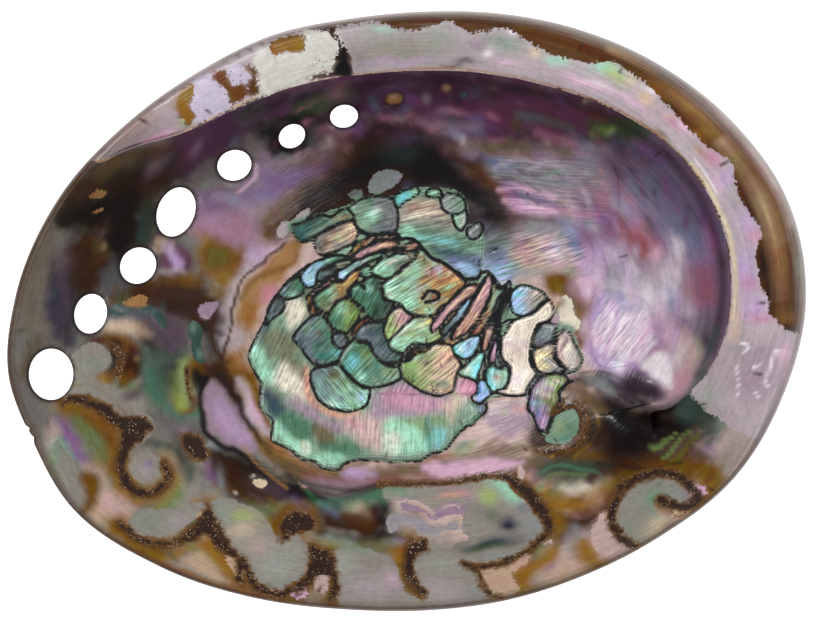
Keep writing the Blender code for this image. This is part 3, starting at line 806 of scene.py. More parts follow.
# %%
ISLANDS = [
    # bottom right: the swirl by the margin
    ("stone", [(629, 495), (637, 486), (646, 480), (658, 477), (670, 481), (682, 485), (691, 492),
                (693, 500), (686, 506), (677, 507), (668, 504), (661, 500), (656, 505),
                (662, 515), (675, 518), (690, 512), (688, 522), (660, 539), (636, 551), (629, 546),
                (621, 539), (617, 528), (616, 514), (621, 504)]),
    # bottom: two silver tongues and the big swirl
    ("stone", [(414, 562), (417, 554), (424, 553), (449, 553), (463, 563), (475, 570), (481, 578),
                (486, 588), (496, 598), (472, 606), (440, 612), (424, 613), (424, 594), (417, 584),
                (415, 573)]),
    ("stone", [(384, 490), (400, 489), (441, 488), (463, 485), (487, 481), (499, 480), (507, 484),
                (515, 494), (528, 501), (536, 514), (545, 530), (542, 535), (533, 544), (518, 554),
                (496, 562), (478, 563), (466, 561), (452, 553), (455, 545), (470, 540), (462, 530),
                (463, 514), (458, 507), (446, 508), (438, 515), (430, 511), (418, 503),
                (396, 502), (385, 500)]),
    ("stone", [(208, 508), (222, 497), (243, 505), (262, 515), (272, 530), (274, 537),
                (282, 535), (294, 531), (303, 543), (309, 549), (308, 565), (302, 576), (288, 585),
                (282, 593), (270, 590), (259, 585), (248, 572), (241, 559), (229, 553), (221, 537),
                (213, 522)]),
    ("stone", [(332, 553), (345, 549), (365, 550), (385, 556), (396, 566), (401, 585), (412, 596),
                (424, 602), (424, 613), (376, 614), (346, 607), (336, 597), (338, 587),
                (332, 572)]),
    # lower left: silver and the disk
    ("stone", [(128, 524), (142, 510), (170, 509), (198, 503), (206, 510), (184, 527), (163, 538),
                (145, 535)]),
    ("stone", [(64, 400), (75, 394), (90, 396), (106, 405), (116, 417), (127, 421), (134, 432),
                (134, 443), (126, 454), (127, 464), (134, 478), (145, 484), (156, 479), (161, 470),
                (156, 458), (144, 453), (134, 458), (130, 466), (126, 462), (128, 455),
                (140, 444), (152, 432), (152, 420), (140, 414), (122, 412), (108, 398), (92, 388),
                (76, 386), (62, 390)]),
    ("stone", [(133, 470), (135, 458), (145, 452), (156, 458), (158, 468), (152, 478), (142, 480),
                (136, 477)]),
    ("stone", [(73, 353), (89, 342), (105, 349), (110, 360), (100, 372), (89, 373), (76, 367)]),
    ("spruce", [(107, 310), (122, 301), (140, 302), (156, 310), (164, 322), (160, 330), (152, 318),
             (136, 309), (118, 315)]),
    ("spruce", [(185, 326), (192, 322), (199, 328), (199, 346), (204, 362), (192, 360), (187, 342)]),
    ("stone", [(76, 480), (70, 492), (66, 480), (58, 466), (54, 448), (60, 440), (70, 455),
                (78, 470)]),
    # above the scar
    ("mist", [(367, 188), (370, 176), (380, 168), (393, 166), (401, 171), (399, 178), (389, 186),
              (377, 192)]),
    ("grey", [(346, 194), (352, 187), (360, 188), (361, 195), (354, 198)]),
    # between the scar and the lower swirl
    ("fog", [(385, 523), (392, 515), (408, 515), (418, 520), (432, 527), (441, 529), (453, 524),
             (460, 526), (458, 531), (444, 532), (432, 537), (418, 534), (409, 526), (400, 524),
             (397, 532), (389, 534)]),
    ("mauve", [(400, 505), (411, 505), (420, 509), (428, 514), (435, 517), (444, 511), (456, 508),
               (462, 512), (459, 515), (450, 517), (441, 521), (432, 520), (424, 515), (415, 513),
               (405, 512)]),
    ("sage", [(548, 441), (552, 431), (557, 419), (566, 411), (577, 412), (582, 422), (579, 434),
               (572, 443), (560, 446)]),
]
FLAKES = [
    ("sand", [(475, 566), (487, 569), (513, 563), (527, 553), (533, 556), (525, 565), (518, 572),
               (512, 573), (515, 581), (519, 587), (518, 592), (503, 596), (496, 593), (487, 587),
               (484, 578), (480, 570)]),
    ("blush", [(542, 546), (551, 544), (553, 540), (545, 541)]),
    ("blush", [(593, 527), (601, 515), (611, 511), (614, 527), (618, 538), (634, 548), (624, 554),
               (612, 559), (603, 555), (595, 547), (592, 536)]),
    ("pink", [(685, 477), (693, 484), (702, 486), (706, 492), (699, 496), (692, 490)]),
    ("peach", [(664, 503), (672, 509), (684, 511), (692, 507), (688, 514), (672, 514)]),
    ("blush", [(310, 572), (317, 562), (325, 567), (328, 576), (325, 592), (314, 588)]),
    ("pink", [(289, 592), (296, 587), (304, 584), (306, 592), (303, 598), (293, 597)]),
    ("cream", [(287, 528), (292, 522), (297, 519), (303, 523), (311, 521), (313, 526), (306, 530),
               (298, 526), (292, 530)]),
    ("cream", [(252, 481), (260, 480), (267, 484), (262, 489), (255, 488)]),
    ("sand", [(222, 548), (236, 560), (243, 576), (241, 584), (235, 574), (226, 560)]),
    ("peach", [(200, 520), (206, 514), (210, 522), (214, 533), (207, 528)]),
    ("opal", [(197, 84), (211, 78), (220, 86), (228, 94), (230, 101), (225, 107), (213, 112),
               (200, 118), (196, 112), (191, 106)]),
    ("opal", [(228, 75), (240, 69), (247, 80), (243, 83), (232, 85)]),
    ("chalk", [(258, 60), (270, 52), (274, 60), (296, 56), (307, 48), (306, 32), (322, 31),
             (334, 37), (340, 49), (334, 60), (330, 70), (310, 78), (285, 86), (262, 94),
             (260, 80)]),
    ("ivory", [(560, 303), (567, 296), (575, 303), (577, 315), (583, 323), (576, 333), (566, 335),
              (558, 327), (563, 318), (558, 312)]),
    ("tan", [(90, 197), (94, 191), (103, 190), (105, 194), (94, 198)]),
    ("tan", [(92, 212), (100, 207), (104, 208), (97, 214)]),
    ("tan", [(125, 301), (136, 295), (145, 296), (142, 302), (133, 303)]),
    ("mauve", [(197, 306), (206, 302), (218, 303), (209, 315), (205, 320), (198, 316)]),
    ("pearl", [(274, 234), (279, 221), (289, 221), (300, 209), (309, 208), (303, 218), (292, 225),
               (281, 236)]),
    ("blush", [(520, 467), (526, 472), (524, 484), (531, 494), (540, 504), (546, 514), (540, 512),
               (528, 500), (518, 486)]),
]
SHELF_NACRE = [
    (98, 162), (131, 155), (183, 134), (235, 108), (288, 89), (340, 78), (408, 72), (453, 70.5),
    (506, 78), (559, 90), (612, 110), (652, 134), (686, 163), (710, 200), (724, 234), (729, 265),
    (729, 305), (724, 337), (717, 357), (706, 376), (692, 393), (720, 420), (760, 440), (800, 420),
    (812, 360), (797, 334), (785, 331), (771, 316), (767, 302), (758, 279), (755, 247),
    (761, 233), (748, 212), (734, 186), (732, 164), (705, 145), (686, 127), (655, 93), (631, 74),
    (612, 62), (586, 64), (549, 53), (525, 40), (506, 29), (472, 34), (448, 21), (418, 30),
    (400, 29), (370, 21), (345, 27), (310, 30), (292, 33), (258, 44), (225, 60), (180, 84),
    (130, 118), (92, 152),
]
SHELF_BARE = [
    ("umber", [(303, 38), (306, 32), (318, 28), (332, 26), (336, 34), (324, 38), (312, 36)]),
    ("umber", [(325, 56), (336, 54), (342, 46), (348, 56), (352, 76), (338, 78), (318, 80),
               (306, 82), (308, 76), (322, 74), (334, 70), (338, 62), (330, 60)]),
    ("amber", [(176, 100), (185, 87), (197, 84), (197, 92), (193, 100), (191, 107), (196, 118),
               (190, 126), (182, 120), (177, 110)]),
    ("rust", [(214, 72), (225, 70), (229, 78), (232, 86), (237, 84), (246, 86), (249, 97),
              (243, 100), (237, 104), (231, 104), (226, 92), (220, 87), (215, 81)]),
    ("brown", [(245, 64), (257, 70), (258, 81), (260, 94), (249, 95), (248, 83), (251, 77)]),
    ("amber", [(272, 43), (303, 35), (304, 51), (295, 53), (281, 54), (275, 59)]),
    ("black", [(333, 29), (344, 45), (354, 72), (345, 77), (335, 73), (333, 66), (341, 57),
               (339, 48)]),
    ("ink", [(312, 62), (318, 56), (322, 64), (317, 72), (311, 70)]),
]
print(len(ISLANDS), "islands and", len(FLAKES), "flakes")

# %% [markdown]
# ## Seams
#
# A dark, finely speckled line runs along each ragged edge, and it glows amber on its outer
# side, where light goes down into the brown layer. A row is the width of the line in pixels
# and its points.

# %%
SEAMS = [
    (8, [(636, 548), (624, 541), (618, 533), (612, 522), (613, 510), (621, 493), (633, 483),
         (652, 475), (667, 474), (681, 478), (693, 490), (697, 499), (686, 507), (673, 506),
         (665, 503), (661, 501)]),
    (7, [(411, 546), (409, 559), (411, 575), (416, 586), (424, 592)]),
    (9, [(509, 480), (518, 485), (527, 492), (538, 504), (545, 516), (550, 530)]),
    (4, [(550, 530), (542, 540), (530, 550), (515, 559), (496, 565), (478, 567), (464, 564)]),
    (3.5, [(464, 564), (480, 573), (483, 585), (490, 593), (501, 598)]),
    (6, [(207, 510), (214, 524), (221, 537), (229, 551), (241, 560), (248, 573), (259, 587),
         (272, 592), (284, 594), (292, 588)]),
    (9, [(313, 552), (317, 563), (310, 576), (298, 588)]),
    (7, [(331, 557), (333, 573), (336, 587), (331, 598)]),
    (4, [(62, 403), (70, 397), (87, 402), (101, 411), (110, 421), (121, 424), (127, 432),
         (127, 440), (121, 448), (118, 458), (118, 466), (125, 480), (137, 490), (151, 493),
         (163, 486), (168, 475), (161, 465)]),
    (5, [(120, 524), (131, 532), (149, 542), (170, 544), (187, 535), (198, 524), (207, 510)]),
    (5, [(214, 529), (224, 544), (235, 555), (239, 566), (240, 581)]),
    (3, [(107, 346), (117, 351), (119, 362), (115, 376), (108, 372)]),
    (4, [(541, 452), (558, 452), (575, 447), (586, 432), (586, 416), (577, 406), (563, 406),
         (553, 414)]),
    (3, [(190, 399), (184, 384), (185, 370)]),
    (4, [(279, 540), (285, 538), (296, 532)]),
    (3, [(380, 486), (400, 486), (441, 485), (463, 482), (487, 478), (500, 477)]),
]
SEAM_POOLS = [
    [(64, 400), (78, 396), (92, 400), (108, 408), (122, 417), (140, 418), (150, 426), (146, 434),
     (138, 442), (128, 450), (124, 462), (122, 478), (116, 470), (117, 455), (120, 440),
     (118, 430), (104, 418), (88, 406)],
    [(118, 462), (124, 470), (130, 482), (142, 490), (156, 488), (164, 478), (161, 466),
     (166, 468), (171, 478), (160, 492), (146, 498), (130, 494), (120, 482)],
    [(180, 438), (192, 436), (204, 448), (206, 460), (196, 462), (184, 452)],
    [(72, 494), (78, 480), (88, 480), (90, 496), (88, 508), (80, 508), (79, 496)],
    [(118, 522), (126, 520), (134, 532), (150, 541), (168, 545), (188, 536), (200, 524),
     (206, 508), (212, 520), (216, 540), (204, 534), (196, 540), (180, 548), (160, 550),
     (140, 546), (126, 538)],
    [(210, 526), (226, 546), (240, 556), (250, 572), (262, 584), (278, 592), (290, 590),
     (284, 596), (262, 592), (244, 580), (238, 562), (222, 552), (212, 540)],
    [(311, 553), (322, 550), (332, 560), (336, 584), (332, 600), (322, 604), (300, 600),
     (286, 597), (290, 584), (304, 574), (309, 564)],
    [(281, 534), (280, 524), (288, 516), (300, 513), (312, 518), (314, 528), (302, 532),
     (292, 536)],
    [(412, 545), (424, 542), (429, 549), (417, 556), (414, 572), (419, 586), (424, 592),
     (416, 597), (408, 588), (405, 570), (407, 556)],
    [(496, 479), (508, 476), (520, 484), (534, 494), (545, 508), (553, 524), (550, 538),
     (540, 520), (530, 504), (516, 490), (504, 482)],
    [(611, 520), (616, 496), (632, 480), (650, 472), (668, 468), (692, 472), (704, 488),
     (696, 502), (690, 490), (676, 480), (656, 477), (640, 484), (624, 500), (618, 516),
     (622, 534), (634, 547), (622, 546), (613, 532)],
    [(478, 565), (500, 566), (494, 571), (486, 573)],
]
SPECKLED = [
    [(456, 515), (463, 512), (470, 515), (478, 525), (478, 538), (466, 538), (458, 530)],
    [(311, 556), (325, 552), (335, 556), (337, 580), (336, 600), (318, 601), (300, 598),
     (291, 592), (304, 580), (312, 568)],
    [(279, 528), (284, 518), (297, 513), (310, 515), (315, 524), (313, 532), (300, 530),
     (290, 534), (281, 537)],
    [(214, 72), (258, 66), (262, 96), (232, 106), (222, 96)],
    [(311, 56), (330, 56), (335, 68), (318, 78), (309, 74)],
]
print(len(SEAMS), "seams")

# %% [markdown]
# ## Soft colour: clouds and strokes
#
# The rest of the pearl has no hard edges. Its colour is built like a glaze painting, from large
# soft patches down to small clouds. A cloud is its colour, its middle in pixels, its half width
# and half height, the turn of its long side and its strength. A stroke is its colour, its
# width, its blur, its strength and its points.

# %%
FLANK_PATCHES = [
    ("stone", 9, 1.0, [(20, 100), (400, 520), (800, 640), (300, 700), (0, 640)]),
    ("ash", 12, 1.0, [(0, 420), (6, 330), (30, 230), (90, 150), (250, 80), (300, 140), (240, 240),
                      (220, 330), (215, 420), (150, 450), (60, 440)]),
    ("stone", 9, 0.7, [(18, 320), (26, 280), (42, 235), (56, 215), (64, 225), (56, 260),
                       (46, 300), (40, 330)]),
    # the dark upper left end of the hollow: black pearl, partly painted shade under the ledge
    ("ochre", 4, 0.95, [(58, 214), (66, 200), (80, 184), (98, 168), (122, 158), (150, 152),
                        (140, 165), (110, 186), (92, 196), (74, 204), (62, 216)]),
    ("mud", 4, 0.8, [(104, 170), (112, 162), (130, 157), (140, 160), (136, 168), (120, 176),
                     (108, 178)]),
    ("black", 6, 1.0, [(104, 194), (122, 182), (138, 168), (150, 156), (175, 144), (215, 122),
                       (250, 106), (262, 96), (262, 112), (235, 138), (205, 160), (186, 178),
                       (170, 182), (156, 186), (150, 196), (134, 196), (130, 214), (128, 236),
                       (118, 248), (108, 246), (104, 232), (106, 212), (100, 202)]),
    ("coal", 4, 0.95, [(56, 221), (62, 208), (76, 200), (92, 198), (106, 200), (104, 214),
                       (92, 216), (80, 222), (68, 230)]),
    ("lead", 5, 0.7, [(66, 232), (80, 224), (100, 220), (108, 232), (104, 240), (86, 238),
                      (72, 246)]),
    ("mud", 4, 0.9, [(131, 214), (138, 198), (148, 190), (154, 192), (152, 212), (150, 230),
                     (142, 240), (130, 238)]),
    ("pine", 4, 0.8, [(131, 222), (136, 208), (142, 220), (140, 240), (130, 238)]),
    ("ochre", 5, 0.9, [(82, 250), (90, 240), (104, 240), (106, 252), (98, 266), (92, 282),
                       (82, 288), (78, 272)]),
    ("bark", 5, 0.9, [(74, 262), (84, 258), (96, 264), (96, 284), (90, 292), (80, 296),
                      (74, 282)]),
    ("dusk", 5, 0.7, [(62, 250), (74, 252), (76, 272), (64, 276)]),
    ("navy", 5, 0.85, [(52, 280), (60, 272), (74, 276), (80, 292), (78, 310), (72, 328),
                       (64, 334), (54, 322), (50, 300)]),
    ("petrol", 4, 0.8, [(50, 300), (58, 306), (62, 330), (74, 338), (72, 348), (60, 344),
                        (50, 326)]),
    ("lead", 4, 0.9, [(98, 262), (106, 250), (116, 250), (120, 270), (122, 290), (112, 300),
                      (102, 296), (98, 280)]),
    ("ochre", 3, 0.9, [(104, 300), (118, 290), (130, 288), (128, 296), (114, 303), (106, 306)]),
    ("mud", 4, 0.8, [(24, 356), (34, 338), (42, 336), (40, 346), (32, 356), (28, 376),
                     (22, 380)]),
    # right of the holes
    ("mauve", 8, 1.0, [(192, 200), (214, 184), (250, 180), (262, 150), (280, 146), (300, 160),
                       (330, 158), (320, 176), (296, 196), (284, 214), (262, 236), (262, 250),
                       (230, 262), (212, 250), (196, 240), (190, 222)]),
    ("violet", 7, 0.6, [(200, 196), (220, 188), (240, 186), (256, 168), (268, 160), (284, 170),
                        (276, 186), (256, 200), (230, 206), (206, 206)]),
    ("rose", 8, 0.45, [(196, 226), (206, 214), (230, 212), (250, 220), (246, 236), (220, 240)]),
    ("plum", 4, 0.8, [(158, 246), (166, 240), (178, 242), (190, 258), (186, 274), (166, 274),
                      (158, 262)]),
    ("lilac", 2.5, 0.95, [(163, 244), (170, 243), (178, 258), (178, 267), (171, 262)]),
    ("peach", 2.5, 0.9, [(152, 252), (156, 242), (164, 235), (166, 240), (160, 250)]),
    ("bark", 5, 1.0, [(146, 300), (160, 292), (184, 284), (200, 276), (206, 290), (216, 306),
                      (206, 330), (186, 326), (164, 316), (150, 306)]),
    ("honey", 3, 0.9, [(124, 296), (150, 284), (170, 280), (190, 272), (182, 286), (160, 292),
                       (140, 297)]),
    ("lilac", 2.5, 0.85, [(150, 282), (162, 276), (176, 271), (174, 277), (160, 284)]),
    ("honey", 5, 0.95, [(196, 238), (204, 232), (214, 240), (228, 244), (240, 256), (236, 272),
                        (224, 284), (212, 278), (204, 268), (196, 254)]),
    ("ochre", 3, 0.8, [(202, 254), (222, 244), (236, 256), (228, 258), (214, 264)]),
    ("ochre", 5, 0.8, [(206, 292), (214, 282), (226, 284), (228, 296), (218, 302)]),
    ("lilac", 5, 0.7, [(240, 262), (250, 250), (270, 244), (284, 238), (270, 256), (250, 268)]),
    # the swirls on the left
    ("slate", 3, 0.9, [(108, 312), (118, 306), (136, 305), (150, 307), (160, 314), (166, 326),
                       (156, 326), (146, 318), (130, 318), (112, 320)]),
    ("ivory", 3, 0.95, [(104, 326), (108, 320), (120, 318), (134, 322), (136, 332), (124, 330),
                        (110, 330)]),
    ("rust", 3, 0.95, [(90, 338), (106, 333), (120, 333), (132, 340), (135, 352), (128, 356),
                       (118, 348), (104, 343)]),
    ("honey", 3, 0.7, [(108, 333), (124, 333), (133, 342), (126, 345)]),
    ("stone", 4, 0.95, [(70, 362), (80, 348), (92, 342), (104, 348), (108, 362), (102, 376),
                        (118, 384), (140, 398), (144, 410), (128, 414), (108, 402), (88, 394),
                        (72, 390)]),
    ("black", 3, 1.0, [(104, 348), (112, 343), (120, 352), (118, 366), (112, 376), (104, 372),
                       (109, 362)]),
    ("bark", 3, 1.0, [(118, 350), (134, 354), (138, 366), (132, 380), (118, 378), (113, 373),
                      (120, 362)]),
    ("honey", 2.5, 0.9, [(98, 376), (110, 373), (120, 378), (112, 382), (100, 381)]),
    ("fern", 3, 0.7, [(112, 386), (120, 380), (134, 384), (138, 392), (126, 392)]),
    ("dusk", 3, 0.8, [(122, 396), (136, 388), (142, 380), (144, 392), (134, 400), (124, 402)]),
    ("dusk", 4, 0.85, [(138, 318), (150, 316), (164, 326), (168, 340), (160, 352), (148, 344)]),
    ("lead", 4, 0.7, [(152, 326), (172, 322), (184, 336), (180, 350), (166, 350), (156, 340)]),
    ("black", 3, 0.85, [(138, 322), (145, 330), (152, 346), (164, 354), (156, 356), (146, 348),
                        (138, 336)]),
    ("sage", 4, 0.8, [(140, 350), (152, 350), (168, 352), (176, 346), (180, 352), (166, 366),
                      (160, 384), (148, 384), (142, 366)]),
    ("dusk", 4, 0.85, [(156, 372), (166, 366), (174, 356), (176, 368), (168, 382), (160, 388)]),
    ("jade", 4, 0.9, [(142, 386), (150, 382), (162, 392), (170, 404), (186, 410), (200, 406),
                      (196, 418), (176, 418), (158, 408), (146, 398)]),
    ("ochre", 3, 1.0, [(176, 364), (188, 360), (200, 362), (190, 366), (182, 378), (180, 394),
                       (186, 406), (196, 408), (186, 413), (172, 404), (164, 388), (168, 374)]),
    ("lime", 3, 0.6, [(168, 376), (175, 378), (176, 396), (186, 408), (176, 406), (166, 392)]),
    ("bark", 3, 1.0, [(184, 376), (192, 366), (204, 364), (206, 380), (200, 396), (194, 406),
                      (186, 402), (182, 390)]),
    ("black", 2.5, 1.0, [(186, 372), (196, 366), (204, 372), (200, 380), (190, 384)]),
    ("stone", 2.5, 0.9, [(188, 388), (194, 384), (199, 390), (198, 402), (192, 398)]),
    ("lead", 5, 0.6, [(146, 414), (162, 412), (186, 420), (198, 424), (200, 440), (180, 438),
                      (160, 428)]),
    ("pine", 4, 0.8, [(140, 444), (160, 440), (186, 452), (196, 470), (190, 484), (178, 470),
                      (170, 456), (150, 450)]),
    # the amber pool and the clouds beside it
    ("olive", 5, 0.8, [(64, 408), (84, 408), (104, 424), (116, 440), (116, 470), (122, 490),
                       (110, 484), (96, 462), (84, 440), (70, 420)]),
    ("fern", 6, 0.6, [(76, 420), (88, 420), (100, 440), (104, 456), (96, 460), (84, 440)]),
    ("ochre", 4, 0.95, [(58, 406), (70, 402), (90, 408), (108, 422), (120, 436), (118, 456),
                        (116, 470), (124, 490), (136, 502), (126, 500), (112, 480), (108, 456),
                        (100, 436), (84, 420), (66, 414)]),
    ("honey", 4, 0.9, [(114, 478), (122, 490), (136, 498), (156, 500), (172, 490), (176, 476),
                       (180, 484), (170, 500), (150, 508), (130, 504), (118, 494)]),
    ("violet", 3, 0.75, [(56, 422), (64, 421), (74, 436), (90, 462), (86, 466), (74, 456),
                         (62, 438)]),
    ("blush", 4, 0.8, [(46, 436), (52, 424), (58, 430), (56, 444), (48, 446)]),
    ("jade", 4, 0.5, [(58, 442), (66, 446), (84, 468), (76, 470), (64, 460)]),
    ("mint", 5, 0.6, [(52, 446), (60, 442), (72, 454), (74, 464), (62, 462)]),
    ("fern", 4, 0.5, [(52, 456), (60, 462), (72, 476), (64, 478), (56, 470)]),
    ("sand", 6, 1.0, [(84, 466), (94, 466), (108, 486), (128, 506), (132, 518), (114, 518),
                      (100, 530), (88, 512), (98, 492), (94, 478)]),
    ("pink", 5, 0.45, [(100, 492), (112, 498), (128, 510), (118, 516), (104, 506)]),
    ("stone", 3, 1.0, [(60, 478), (72, 474), (80, 484), (76, 494), (66, 492)]),
    ("ochre", 3.5, 1.0, [(78, 474), (90, 472), (98, 480), (98, 496), (90, 510), (80, 514),
                         (84, 496)]),
    ("slate", 4, 0.7, [(132, 518), (144, 504), (156, 500), (152, 510), (142, 518)]),
    ("fern", 5, 0.8, [(148, 506), (160, 500), (176, 488), (184, 490), (180, 504), (164, 514),
                      (150, 512)]),
    ("honey", 4, 1.0, [(110, 528), (120, 518), (126, 530), (146, 546), (170, 552), (190, 546),
                       (206, 540), (216, 544), (228, 556), (238, 574), (246, 590), (224, 576),
                       (206, 560), (190, 552), (170, 562), (150, 562), (130, 550)]),
    ("ochre", 3, 0.8, [(118, 530), (130, 538), (150, 548), (172, 552), (160, 556), (140, 550)]),
    ("sand", 4, 0.9, [(180, 564), (196, 554), (208, 556), (222, 572), (236, 584), (216, 580)]),
    # between the ring and the bottom
    ("stone", 6, 1.0, [(208, 470), (224, 470), (236, 490), (240, 520), (262, 530), (280, 540),
                       (310, 536), (312, 570), (280, 592), (250, 580), (226, 550), (214, 520),
                       (196, 500), (200, 480)]),
    ("black", 6, 1.0, [(200, 452), (212, 446), (232, 452), (258, 462), (290, 478), (310, 490),
                       (330, 496), (356, 492), (380, 484), (402, 482), (402, 492), (372, 500),
                       (350, 512), (330, 508), (310, 510), (280, 506), (250, 502), (226, 498),
                       (214, 484), (204, 466)]),
    ("dusk", 5, 0.7, [(244, 478), (262, 478), (284, 488), (280, 498), (256, 498), (244, 492)]),
    ("lead", 2.5, 0.9, [(250, 480), (262, 479), (265, 486), (258, 491), (250, 487)]),
    ("ochre", 5, 0.7, [(212, 474), (226, 478), (244, 494), (262, 500), (284, 506), (290, 512),
                       (268, 510), (246, 504), (226, 494)]),
    ("fern", 5, 0.8, [(240, 506), (262, 506), (278, 508), (270, 520), (258, 526), (246, 514)]),
    ("slate", 4, 0.7, [(226, 498), (240, 504), (238, 514), (228, 514)]),
    ("blush", 6, 0.7, [(236, 518), (252, 516), (262, 526), (258, 546), (244, 550), (234, 536)]),
    ("ochre", 4, 1.0, [(264, 534), (266, 518), (280, 508), (300, 507), (318, 514), (322, 530),
                       (314, 532), (310, 522), (298, 515), (284, 519), (280, 532), (276, 542)]),
    ("bark", 4, 1.0, [(318, 514), (336, 509), (360, 509), (378, 504), (382, 524), (374, 540),
                      (360, 541), (340, 534), (320, 528)]),
    ("brown", 5, 0.5, [(340, 516), (360, 514), (374, 520), (366, 534), (350, 530)]),
    ("coal", 4, 0.95, [(376, 504), (390, 506), (386, 530), (402, 540), (382, 545), (366, 546),
                       (340, 543), (316, 536), (318, 530), (340, 536), (372, 538)]),
    ("slate", 3, 0.8, [(318, 505), (330, 508), (337, 515), (326, 514)]),
    ("jade", 4, 0.9, [(330, 500), (352, 500), (372, 494), (386, 488), (398, 490), (384, 502),
                      (362, 510), (340, 510)]),
    ("sage", 4, 0.7, [(308, 542), (330, 538), (356, 546), (362, 556), (340, 557), (318, 552)]),
    ("olive", 5, 0.8, [(356, 546), (380, 545), (402, 544), (404, 556), (384, 560), (362, 556)]),
    ("pink", 5, 0.6, [(370, 566), (386, 560), (394, 572), (380, 578)]),
    ("honey", 4, 1.0, [(390, 556), (400, 546), (410, 546), (404, 564), (404, 580), (412, 592),
                       (426, 592), (422, 602), (404, 594), (396, 576)]),
    # bottom middle and right
    ("honey", 4, 1.0, [(512, 574), (522, 568), (534, 558), (546, 550), (562, 546), (554, 566),
                       (532, 578), (536, 588), (520, 592), (516, 584)]),
    ("sand", 6, 0.9, [(540, 578), (556, 564), (586, 562), (604, 568), (580, 582), (550, 592)]),
    ("mud", 4, 0.9, [(536, 462), (570, 460), (604, 456), (590, 468), (562, 476), (540, 474)]),
    ("petrol", 3, 0.6, [(546, 466), (566, 463), (590, 460), (574, 468), (556, 471)]),
    ("bark", 5, 1.0, [(600, 474), (612, 456), (640, 454), (668, 456), (690, 462), (702, 470),
                      (690, 478), (668, 471), (650, 474), (632, 482), (620, 492), (610, 512),
                      (602, 514), (606, 494)]),
    ("honey", 5, 1.0, [(540, 496), (548, 486), (564, 482), (590, 476), (616, 468), (620, 478),
                       (608, 496), (590, 510), (566, 518), (552, 514), (544, 506)]),
    ("ivory", 4, 0.9, [(556, 490), (574, 481), (600, 474), (616, 470), (606, 482), (592, 492),
                       (570, 496)]),
    ("sand", 4, 0.6, [(576, 494), (596, 490), (600, 496), (586, 502)]),
    ("bark", 5, 1.0, [(550, 512), (570, 518), (592, 512), (602, 516), (592, 530), (576, 538),
                      (556, 544), (552, 530)]),
    ("rust", 3, 0.6, [(566, 516), (598, 506), (602, 510), (574, 523)]),
    ("fog", 4, 0.8, [(566, 534), (578, 528), (584, 544), (576, 558), (566, 550)]),
    ("honey", 5, 1.0, [(580, 538), (592, 544), (602, 558), (622, 561), (602, 570), (584, 564),
                       (574, 552)]),
    ("ochre", 3, 0.9, [(618, 480), (630, 464), (650, 455), (664, 458), (642, 469), (628, 482)]),
    # the dark end under the spire, and the margin on the right
    ("stone", 9, 0.9, [(714, 400), (740, 340), (800, 330), (800, 400), (770, 440), (730, 474),
                       (712, 482), (716, 460), (722, 440)]),
    ("mist", 8, 0.5, [(700, 400), (716, 380), (730, 400), (724, 430), (704, 430)]),
    ("bark", 5, 1.0, [(580, 400), (596, 404), (608, 418), (606, 440), (598, 454), (574, 460),
                      (552, 458), (584, 446), (592, 424)]),
    ("ochre", 3, 0.7, [(588, 404), (600, 412), (604, 428), (597, 430)]),
    ("black", 5, 1.0, [(600, 396), (630, 410), (664, 406), (700, 384), (706, 392), (684, 410),
                       (676, 434), (664, 442), (648, 446), (640, 454), (612, 460), (598, 472),
                       (588, 470), (604, 446), (612, 420)]),
    ("petrol", 4, 0.45, [(612, 424), (624, 416), (636, 420), (630, 440), (612, 446)]),
    ("jade", 5, 0.7, [(675, 432), (680, 412), (692, 404), (706, 398), (712, 412), (700, 426),
                      (688, 432)]),
    ("lilac", 5, 0.7, [(692, 456), (704, 446), (716, 442), (714, 456), (702, 462)]),
    ("honey", 4, 1.0, [(668, 458), (690, 460), (712, 464), (724, 476), (716, 492), (704, 502),
                       (704, 486), (698, 474), (684, 466)]),
    # the ring on the left of the scar
    ("tan", 4, 1.0, [(254, 276), (280, 244), (306, 236), (300, 250), (288, 270), (270, 292),
                     (258, 310), (250, 334), (244, 356), (256, 384), (268, 420), (286, 450),
                     (310, 470), (296, 476), (270, 458), (250, 436), (234, 404), (214, 372),
                     (216, 356), (226, 352), (232, 320), (240, 292)]),
    ("pearl", 4, 1.0, [(206, 318), (222, 304), (234, 284), (240, 264), (254, 260), (240, 282),
                       (230, 310), (226, 336), (221, 358), (212, 350), (207, 330)]),
    ("pearl", 4, 0.9, [(230, 328), (242, 322), (248, 336), (238, 350), (230, 352), (226, 344)]),
    ("rose", 4, 0.7, [(256, 300), (260, 286), (270, 282), (280, 290), (270, 300)]),
    ("honey", 5, 0.7, [(236, 316), (246, 302), (258, 306), (254, 326), (242, 330)]),
    ("ochre", 4, 0.9, [(218, 360), (226, 356), (240, 370), (256, 380), (246, 386), (228, 374)]),
    ("bark", 4, 1.0, [(198, 366), (220, 362), (232, 378), (240, 398), (252, 418), (262, 434),
                      (284, 458), (304, 472), (292, 476), (270, 461), (250, 442), (240, 422),
                      (226, 400), (214, 386), (204, 378)]),
    ("mauve", 3, 1.0, [(205, 386), (213, 384), (226, 400), (240, 416), (250, 432), (257, 447),
                       (246, 453), (232, 449), (216, 441), (206, 426), (202, 404)]),
    ("lilac", 5, 0.6, [(214, 404), (226, 408), (242, 430), (250, 444), (238, 444), (220, 428)]),
    ("pearl", 3, 1.0, [(234, 380), (244, 388), (252, 404), (262, 420), (269, 434), (262, 437),
                       (251, 421), (240, 402)]),
    ("pink", 2.5, 0.7, [(244, 394), (251, 404), (262, 421), (258, 424), (248, 408)]),
    ("ochre", 3, 0.95, [(248, 380), (256, 384), (260, 402), (264, 416), (272, 426), (264, 424),
                        (256, 412), (250, 398)]),
    ("honey", 3, 0.95, [(248, 430), (262, 437), (273, 449), (286, 460), (277, 461), (261, 451)]),
